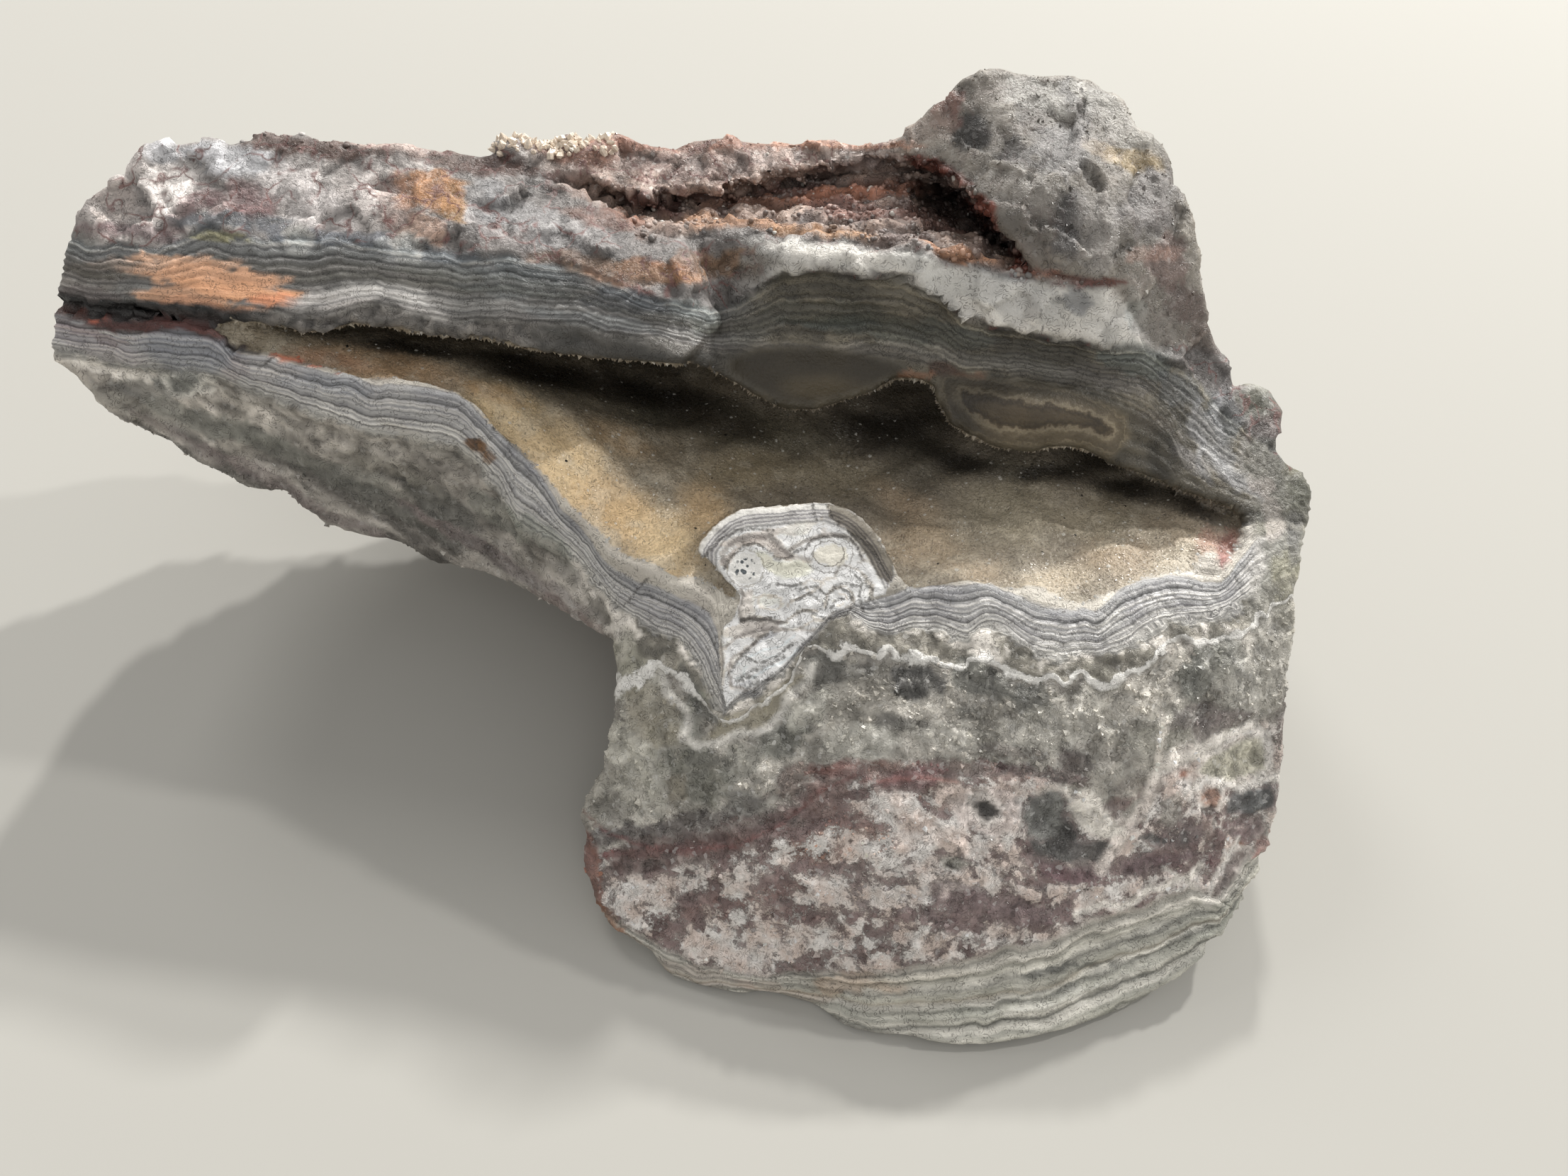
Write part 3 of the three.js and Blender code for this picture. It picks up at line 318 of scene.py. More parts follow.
def stone(p):
    px, py, u, v, w = to_sheet(p)
    x, y, z = p[:, 0], p[:, 1], p[:, 2]
    face = face_map(px, py)
    lump = 0.9 * lumps(x, y, z)
    hull = smax(-fronthull_in(x, z), -planhull_in(x, y), HULL_R)
    belly = ((x - FOOT[0]) / np.where(x < FOOT[0], 44, 66)) ** 2 * np.clip((y - 52) / 36, 0, 1) + ((y - FOOT[1]) / np.where(y < FOOT[1], 150, 50)) ** 2
    hull = smax(hull, BELLY * np.minimum(belly, 2.5) - SINK - z, 5) + lump * (1.6 - 1.1 * np.clip((6 - z) / 6, 0, 1))
    back = np.maximum(0, face - w)
    d = smax(w - face, -flank_in(u, v) + 0.05 * back + lump * np.clip(back / 12, 0, 1), EDGE_R)
    d = smax(d, hull, 2.5)
    near = (y > 70) & (y < 150) & (z > 20) & (z < 62) & (x > -85) & (x < 68)
    if near.any():
        q = p[near]
        air, _, _ = slot_air(q, px[near], py[near])
        dd = smax(d[near], -air, LIP_R)
        k = knob_in(px[near], py[near]) * MM
        kk = np.clip(k, 0, KNOB_R)
        depth = np.sqrt(kk * (2 * KNOB_R - kk)) * 1.1
        knob = np.maximum(np.maximum(-k, w[near] - face[near]), face[near] - depth - w[near])
        dd = smin(dd, knob, 0.5)
        d[near] = dd
    return d

# ---------------------------------------------------------------------------
# Skin
# ---------------------------------------------------------------------------
def surface_nets(lo, hi, h):
    n = [int(math.ceil((hi[i] - lo[i]) / h)) + 1 for i in range(3)]
    gx, gy, gz = (lo[i] + h * np.arange(n[i]) for i in range(3))
    F = np.empty(n)
    for i in range(n[0]):
        Y, Z = np.meshgrid(gy, gz, indexing="ij")
        F[i] = stone(np.stack([np.full(Y.size, gx[i]), Y.ravel(), Z.ravel()], 1)).reshape(n[1], n[2])
    for s in (0, -1):
        F[s], F[:, s], F[:, :, s] = 5, 5, 5
    F[np.abs(F) < 1e-4] = 1e-4
    for _ in range(12):                       # no crossed faces
        changed = 0
        for ax in range(3):
            A = np.moveaxis(F, ax, 0)
            s = A < 0
            s00, s10, s01, s11 = s[:, :-1, :-1], s[:, 1:, :-1], s[:, :-1, 1:], s[:, 1:, 1:]
            amb = (s00 == s11) & (s10 == s01) & (s00 != s10)
            if amb.any():
                changed += int(amb.sum())
                I = np.argwhere(amb)
                for a, b in ((0, 0), (1, 0), (0, 1), (1, 1)):
                    idx = (I[:, 0], I[:, 1] + a, I[:, 2] + b)
                    val = A[idx]
                    A[idx] = np.where((val > 0) & (val < 0.6 * h), -0.02, val)
        if not changed:
            break
    S = F < 0
    C = [F[a:n[0] - 1 + a, b:n[1] - 1 + b, c:n[2] - 1 + c] for c in (0, 1) for b in (0, 1) for a in (0, 1)]
    cs = [f < 0 for f in C]
    allin, anyin = cs[0].copy(), cs[0].copy()
    for q in cs[1:]:
        allin &= q
        anyin |= q
    cell = anyin & ~allin
    I = np.argwhere(cell)
    f = np.stack([c[cell] for c in C], 1)
    corner = np.array([[a, b, c] for c in (0, 1) for b in (0, 1) for a in (0, 1)], float)
    acc, cnt = np.zeros((len(I), 3)), np.zeros(len(I))
    for p, q in ((0, 1), (2, 3), (4, 5), (6, 7), (0, 2), (1, 3), (4, 6), (5, 7), (0, 4), (1, 5), (2, 6), (3, 7)):
        m = (f[:, p] < 0) != (f[:, q] < 0)
        t = f[m, p] / (f[m, p] - f[m, q])
        acc[m] += corner[p] + t[:, None] * (corner[q] - corner[p])
        cnt[m] += 1
    V = np.array(lo) + h * (I + acc / cnt[:, None])
    vid = np.full([x - 1 for x in n], -1, np.int64)
    vid[cell] = np.arange(len(I))
    quads = []
    def add(m, o):
        J = np.argwhere(m[0])
        q = np.stack([vid[tuple((J + np.array(k)).T)] for k in o], 1)
        fl = m[1][m[0]]
        q[fl] = q[fl][:, ::-1]
        quads.append(q)
    s = S[1:-1, 1:-1, 1:-1]
    a = S[2:, 1:-1, 1:-1]
    add((s != a, ~s), [(1, 0, 0), (1, 1, 0), (1, 1, 1), (1, 0, 1)])
    a = S[1:-1, 2:, 1:-1]
    add((s != a, ~s), [(0, 1, 0), (0, 1, 1), (1, 1, 1), (1, 1, 0)])
    a = S[1:-1, 1:-1, 2:]
    add((s != a, ~s), [(0, 0, 1), (1, 0, 1), (1, 1, 1), (0, 1, 1)])
    Q = np.vstack(quads)
    Q = Q[(Q >= 0).all(1)]
    return V, Q

def quads_to_tris(V, Q):
    d1 = ((V[Q[:, 0]] - V[Q[:, 2]]) ** 2).sum(1)
    d2 = ((V[Q[:, 1]] - V[Q[:, 3]]) ** 2).sum(1)
    s = d1 <= d2
    A = np.where(s[:, None], Q[:, [0, 1, 2]], Q[:, [1, 2, 3]])
    B = np.where(s[:, None], Q[:, [0, 2, 3]], Q[:, [1, 3, 0]])
    return np.vstack([A, B])

def largest(V, T):
    lab = np.arange(len(V))
    while True:
        m = lab[T].min(1)
        new = lab.copy()
        for k in range(3):
            np.minimum.at(new, T[:, k], m)
        new = new[new]
        if (new == lab).all():
            break
        lab = new
    ids, n = np.unique(lab[T[:, 0]], return_counts=True)
    keep = lab[T[:, 0]] == ids[n.argmax()]
    T = T[keep]
    used = np.unique(T)
    re = np.full(len(V), -1)
    re[used] = np.arange(len(used))
    return V[used], re[T]

def project(V, steps=3, limit=0.5):
    e = 0.12
    for _ in range(steps):
        d = stone(V)
        g = np.stack([(stone(V + np.eye(3)[a] * e) - stone(V - np.eye(3)[a] * e)) / (2 * e) for a in range(3)], 1)
        g2 = (g * g).sum(1)
        mv = -(0.85 * d / np.maximum(g2, 0.15))[:, None] * g
        ln = np.linalg.norm(mv, axis=1)
        V = V + mv * np.minimum(1, limit / np.maximum(ln, 1e-9))[:, None]
    return V

def refine(V, T, flag):
    E = np.sort(np.vstack([T[:, [0, 1]], T[:, [1, 2]], T[:, [2, 0]]]), 1)
    key = E[:, 0].astype(np.int64) * len(V) + E[:, 1]
    uk, inv = np.unique(key, return_inverse=True)
    a, b = uk // len(V), uk % len(V)
    split = flag[a] & flag[b]
    nid = np.full(len(uk), -1)
    nid[split] = len(V) + np.arange(split.sum())
    V2 = np.vstack([V, (V[a[split]] + V[b[split]]) / 2])
    inv = inv.reshape(3, len(T))
    m = nid[inv]                              # midpoints of edges 01, 12, 20
    c = (m >= 0).sum(0)
    out = [T[c == 0]]
    k3 = c == 3
    t, mm = T[k3], m[:, k3]
    out += [np.stack([t[:, 0], mm[0], mm[2]], 1), np.stack([mm[0], t[:, 1], mm[1]], 1), np.stack([mm[2], mm[1], t[:, 2]], 1), np.stack([mm[0], mm[1], mm[2]], 1)]
    for e in range(3):
        k = (c == 1) & (m[e] >= 0)
        t = T[k]
        i, j, l = t[:, e], t[:, (e + 1) % 3], t[:, (e + 2) % 3]
        out += [np.stack([i, m[e][k], l], 1), np.stack([m[e][k], j, l], 1)]
    return V2, np.vstack(out)

def normals(V, T):
    n = np.cross(V[T[:, 1]] - V[T[:, 0]], V[T[:, 2]] - V[T[:, 0]])
    N = np.zeros_like(V)
    for k in range(3):
        for a in range(3):
            N[:, a] += np.bincount(T[:, k], n[:, a], len(V))
    return N / (np.linalg.norm(N, axis=1)[:, None] + 1e-12)

def relax(V, T, flag, amount, rounds):
    for _ in range(rounds):
        S, c = np.zeros_like(V), np.zeros(len(V))
        for k in range(3):
            for o in (1, 2):
                for a in range(3):
                    S[:, a] += np.bincount(T[:, k], V[T[:, (k + o) % 3], a], len(V))
                c += np.bincount(T[:, k], minlength=len(V))
        V = V + (amount * flag)[:, None] * (S / np.maximum(c, 1)[:, None] - V)
    return V

CELL = 1.18
V, Q = surface_nets([-104, 36, -6.3], [84, 168, 88], CELL)
T = quads_to_tris(V, Q)
V, T = largest(V, T)
V = project(V, 3, 0.45)

def regions(V):
    """how each point of the skin lies: on the broken face, in the slot, or on the rind"""
    px, py, u, v, w = to_sheet(V)
    back = face_map(px, py) - w
    near = (V[:, 1] > 70) & (V[:, 1] < 150) & (V[:, 2] > 20) & (V[:, 2] < 62) & (V[:, 0] > -85) & (V[:, 0] < 68)
    air = np.full(len(V), 9.0)
    fl = np.zeros(len(V))
    if near.any():
        a, f, c = slot_air(V[near], px[near], py[near])
        air[near], fl[near] = a, f
    inslot = (air < 0.55) & (back > 0.9)
    return px, py, w, back, inslot, air, fl

px, py, w, back, inslot, air, fl = regions(V)
floorpart = inslot & (V[:, 2] < fl + 1.6) & (V[:, 1] < 128)
V, T = refine(V, T, (back < 2.0) | floorpart)
V = project(V, 2, 0.3)
px, py, w, back, inslot, air, fl = regions(V)
V, T = refine(V, T, (back < 1.0) & (inside_distance(NODULE_C, px, py) > -14))

# ---------------------------------------------------------------------------
# Where every point belongs: layers carried straight back into the stone
# ---------------------------------------------------------------------------
def layer(qx, qy):
    ys = [curve(c, qx) for c in (C0, C1, C2, C3, C4, C4B, C5, C6, C7)]
    for i in range(1, len(ys)):
        ys[i] = np.maximum(ys[i], ys[i - 1] + 1.5)
    vals = [0, 1, 2, 3, 4, 4.4, 5, 6, 7]
    L = np.where(qy < ys[0], (qy - ys[0]) / 300, 0.0)
    for i in range(8):
        t = (qy - ys[i]) / (ys[i + 1] - ys[i])
        m = (qy >= ys[i]) & (qy < ys[i + 1])
        L = np.where(m, vals[i] + (vals[i + 1] - vals[i]) * t, L)
    return np.where(qy >= ys[8], 7 + (qy - ys[8]) / 250, L)

def carried_forward(p):
    q = p.copy()
    for _ in range(7):
        x, y, _, _, ww = to_sheet(q)
        s = np.maximum(base_face(x, y) - ww, 0) / 0.68
        q = q + s[:, None] * np.array([0.03, -0.995, 0.09])
    x, y, _, _, _ = to_sheet(q)
    return x, y

px, py, w, back, inslot, air, fl = regions(V)
N = normals(V, T)
sx, sy = carried_forward(V)
front = (back < 1.6) & ~inslot
hid = sstep(back, 0.6, 2.6)
sx, sy = px + (sx - px) * hid, py + (sy - py) * hid
L = layer(sx, sy)
print("skin", len(V), len(T))

def to_row(p):
    return (p - MID) * 0.001

def make_mesh(name, verts, tris, smooth=True, attrs=None, colors=None):
    me = bpy.data.meshes.new(name)
    me.vertices.add(len(verts))
    me.vertices.foreach_set("co", to_row(verts).astype(np.float32).ravel())
    me.loops.add(len(tris) * 3)
    me.loops.foreach_set("vertex_index", tris.astype(np.int32).ravel())
    me.polygons.add(len(tris))
    me.polygons.foreach_set("loop_start", np.arange(0, len(tris) * 3, 3, dtype=np.int32))
    me.polygons.foreach_set("use_smooth", np.full(len(tris), smooth))
    me.update()
    me.validate()
    for k, a in (attrs or {}).items():
        if a.ndim == 1:
            me.attributes.new(k, "FLOAT", "POINT").data.foreach_set("value", a.astype(np.float32))
        else:
            me.attributes.new(k, "FLOAT_VECTOR", "POINT").data.foreach_set("vector", a.astype(np.float32).ravel())
    for k, c in (colors or {}).items():
        me.attributes.new(k, "FLOAT_COLOR", "POINT").data.foreach_set("color", c.astype(np.float32).ravel())
    ob = bpy.data.objects.new(name, me)
    bpy.context.scene.collection.objects.link(ob)
    return ob

# ---------------------------------------------------------------------------
# Zones of the broken face
# ---------------------------------------------------------------------------
HORN_FOOT = P2([1130,190,1166,196,1199,215,1242,248,1275,286,1303,325,1325,349,1380,357,1415,362,1440,400,1475,440,1560,450,1700,460])
NOD_ARC = P2([893,905,900,845,893,760,889,703,893,692,905,677,928,658,947,650,974,648,1009,644,1037,642,1055,642,1078,649,1097,662,1113,677,1129,700,1138,718,1150,742,1165,760])

def line_distance(line, x, y):
    best = np.full(x.shape, 1e18)
    for (ax, ay), (bx, by) in zip(line[:-1], line[1:]):
        ex, ey = bx - ax, by - ay
        t = np.clip(((x - ax) * ex + (y - ay) * ey) / (ex * ex + ey * ey), 0, 1)
        best = np.minimum(best, (x - ax - t * ex) ** 2 + (y - ay - t * ey) ** 2)
    return np.sqrt(best)

def zones(p, qx, qy, back, inslot):
    z = {}
    n1, n2, n3 = fbm(p, 5.0, 3, 31), fbm(p, 5.0, 3, 47), fbm(p, 1.7, 2, 59)
    X, Y = qx + 13 * n1 + 6 * n3, qy + 9 * n2 + 6 * n3
    lay0 = layer(qx, qy)
    wp = np.stack([qx * MM, lay0 * 2.2, back * 0.25], 1)
    wav = qy + 6.5 * fbm(wp, 5.2, 2, 71) + 4.0 * fbm(wp, 2.3, 2, 83)
    Lw = layer(qx, wav)
    crink = qy + 20 * np.abs(fbm(p, 3.6, 2, 91)) + 7 * np.abs(fbm(p, 1.5, 1, 93)) - 7 + 3 * n3
    Lc = layer(qx, crink)
    lowpart = (Lw > 3.9) & (Lw < 5.6)
    L = np.where(lowpart, Lc, Lw)
    z["X"], z["Y"], z["L"], z["YC"] = X, Y, L, qy
    a, b = curve(FISS_TOP, X), curve(FISS_FOOT, X)
    z["fiss"] = sstep(Y, a - 9, a - 1) * sstep(b + 9 - Y, 0, 12) * sstep(X, 690, 730) * sstep(-X, -1400, -1370)
    z["crest"] = sstep(a - Y, -3, 8) * sstep(X, 640, 760) * sstep(-X, -1190, -1130) * (L < 1)
    z["horn"] = sstep(curve(HORN_FOOT, X) - Y, -5, 6) * sstep(X, 1120, 1170) * (1 - z["fiss"])
    z["facet"] = sstep(curve(C1, X) - Y, -3, 4) * sstep(Y - b, 4, 16) * sstep(X, 925, 1000) * sstep(-X, -1520, -1450) * (1 - z["horn"])
    z["slab"] = (L < 1) * (1 - z["horn"]) * (1 - z["facet"]) * (1 - z["fiss"])
    z["up"] = sstep(L, 0.97, 1.03) * (L < 2.5)
    z["low"] = (L >= 2.5) * sstep(4.0 - L, -0.02, 0.02)
    z["crust"] = (L > 3.98) * sstep(4.42 - L, 0, 0.05)
    z["quartz"] = sstep(L, 4.38, 4.44) * sstep(5.0 - L, -0.05, 0.05)
    z["purple"] = sstep(L, 4.95, 5.05) * sstep(6.0 - L, -0.02, 0.02)
    z["bottom"] = sstep(L, 5.98, 6.02)
    z["arm"] = sstep(-X, -800, -700) * (L > 3.98)
    z["strip"] = sstep(X, 1585 + 10 * n2, 1605 + 10 * n2) * (Y > 560) * (Y < 1080)
    z["slot"] = inslot.astype(float)
    z["rind"] = sstep(back, 3.5, 9.0) * (1 - z["slot"])
    z["side"] = sstep(back, 0.4, 1.6) * (1 - z["slot"])
    z["nodC"] = sstep(inside_distance(NODULE_C, qx + 2 * n3, qy + 2 * n3), -1.0, 1.0) * (1 - z["side"]) * (1 - z["slot"])
    z["nodB"] = sstep(inside_distance(NODULE_B, qx, qy), -1, 13) * (1 - z["side"])
    z["nodA"] = sstep(inside_distance(NODULE_A, qx, qy), -1, 15) * (1 - z["side"])
    z["dark"] = sstep(L, 1.90 - 0.05 * sstep(-X, -330, -290), 1.96 - 0.05 * sstep(-X, -330, -290)) * (L < 2.6 + 0.45 * (X < 330)) * sstep(-X, -760, -640) * sstep(back, -2, -1) * (1 - z["slot"])
    z["n1"], z["n2"], z["n3"] = n1, n2, n3
    return z

def sculpt(p, z):
    """height of the fine relief, mm"""
    f6, _, _, g6 = cells(p, 5.5, 301)
    f2, s2, r2, g2 = cells(p, 1.9, 311)
    f3, s3, r3, g3 = cells(p + 0.4 * vnoise(p, 3, 5)[:, None], 2.7, 331)
    soft, fine = fbm(p, 8.0, 2, 341), fbm(p, 1.6, 2, 351)
    facet = 1.1 * g6 + 0.0
    h = np.zeros(len(p))
    band = 0.14 * np.sin(z["L"] * 60 + 2 * z["n2"]) + 0.07 * np.sin(z["L"] * 131 + 3 * z["n1"]) + 0.35 * soft + 0.10 * fine
    f4, _, _, g4 = cells(p, 3.1, 321)
    gran = 0.30 * g4 + 0.24 * g2 + 0.16 * fine + 0.40 * soft
    botry = 0.75 * (1 - np.minimum(1, f3 / 0.75) ** 2) + 0.35 * (1 - np.minimum(1, f2 / 0.8) ** 2) - 0.5
    h += z["slab"] * (0.66 * facet + 0.22 * g4 + 0.10 * g2 + 0.08 * fine)
    h += z["horn"] * (0.66 * facet + 0.18 * g4 + 0.08 * g2 + 0.08 * fine)
    h += z["facet"] * (0.70 * facet + 0.24 * g4 + 0.10 * fine)
    h += z["up"] * band + z["low"] * band * 0.8
    h += z["crust"] * (0.5 * np.abs(fbm(p, 2.2, 2, 361)) + 0.2 * g2)
    h += (z["quartz"] + z["purple"]) * np.where(z["arm"] > 0.5, 0.5, 1.0) * gran
    h += z["arm"] * (0.35 * fbm(p * np.array([0.35, 1, 1]), 1.8, 2, 371) + 0.3 * facet)
    h += z["bottom"] * (0.34 * np.sin(z["L"] * 27 + 3 * z["n1"]) + 0.16 * np.sin(z["L"] * 71 + 5 * z["n2"]) + 0.6 * soft + 0.12 * fine)
    h += z["fiss"] * (botry + 0.45 * np.sin(z["Y"] * 0.42 + 2.5 * z["n1"])) + 0.42 * z["crest"] * botry
    h = h * (1 - z["rind"]) + z["rind"] * (0.8 * soft + 0.65 * facet + 0.35 * g4 + 0.30 * g2 + 0.18 * fine)
    h = h * (1 - z["nodC"]) + z["nodC"] * (0.16 * g2 + 0.06 * fine + 0.42 * np.abs(fbm(p, 1.6, 2, 391)) * sstep(z["YC"], 725, 755) + 0.16 * fbm(p, 3.0, 2, 393))
    nb = np.maximum(z["nodA"], z["nodB"])
    h = h * (1 - nb) + nb * (0.12 * fine)
    h += z["dark"] * 0.6 * g2
    h = h * (1 - z["slot"]) + z["slot"] * (0.14 * fine + 0.05 * g2 + 0.15 * soft)
    return h

zn = zones(V, sx, sy, back, inslot)
H = sculpt(V, zn)
foot = sstep(V[:, 2], 0.2, 3.0)
V = V + N * (H * foot)[:, None]
V[:, 2] = np.maximum(V[:, 2], 0)

# ---------------------------------------------------------------------------
# Colour of every point, from its zone and from listed marks
# ---------------------------------------------------------------------------
def lin(c):
    c = np.array(c, float)
    return np.where(c <= 0.04045, c / 12.92, ((c + 0.055) / 1.055) ** 2.4)

def mix(a, b, t):
    return a + (b - a) * np.clip(t, 0, 1)[:, None]

def lum(c):
    return c @ np.array([0.2126, 0.7152, 0.0722])

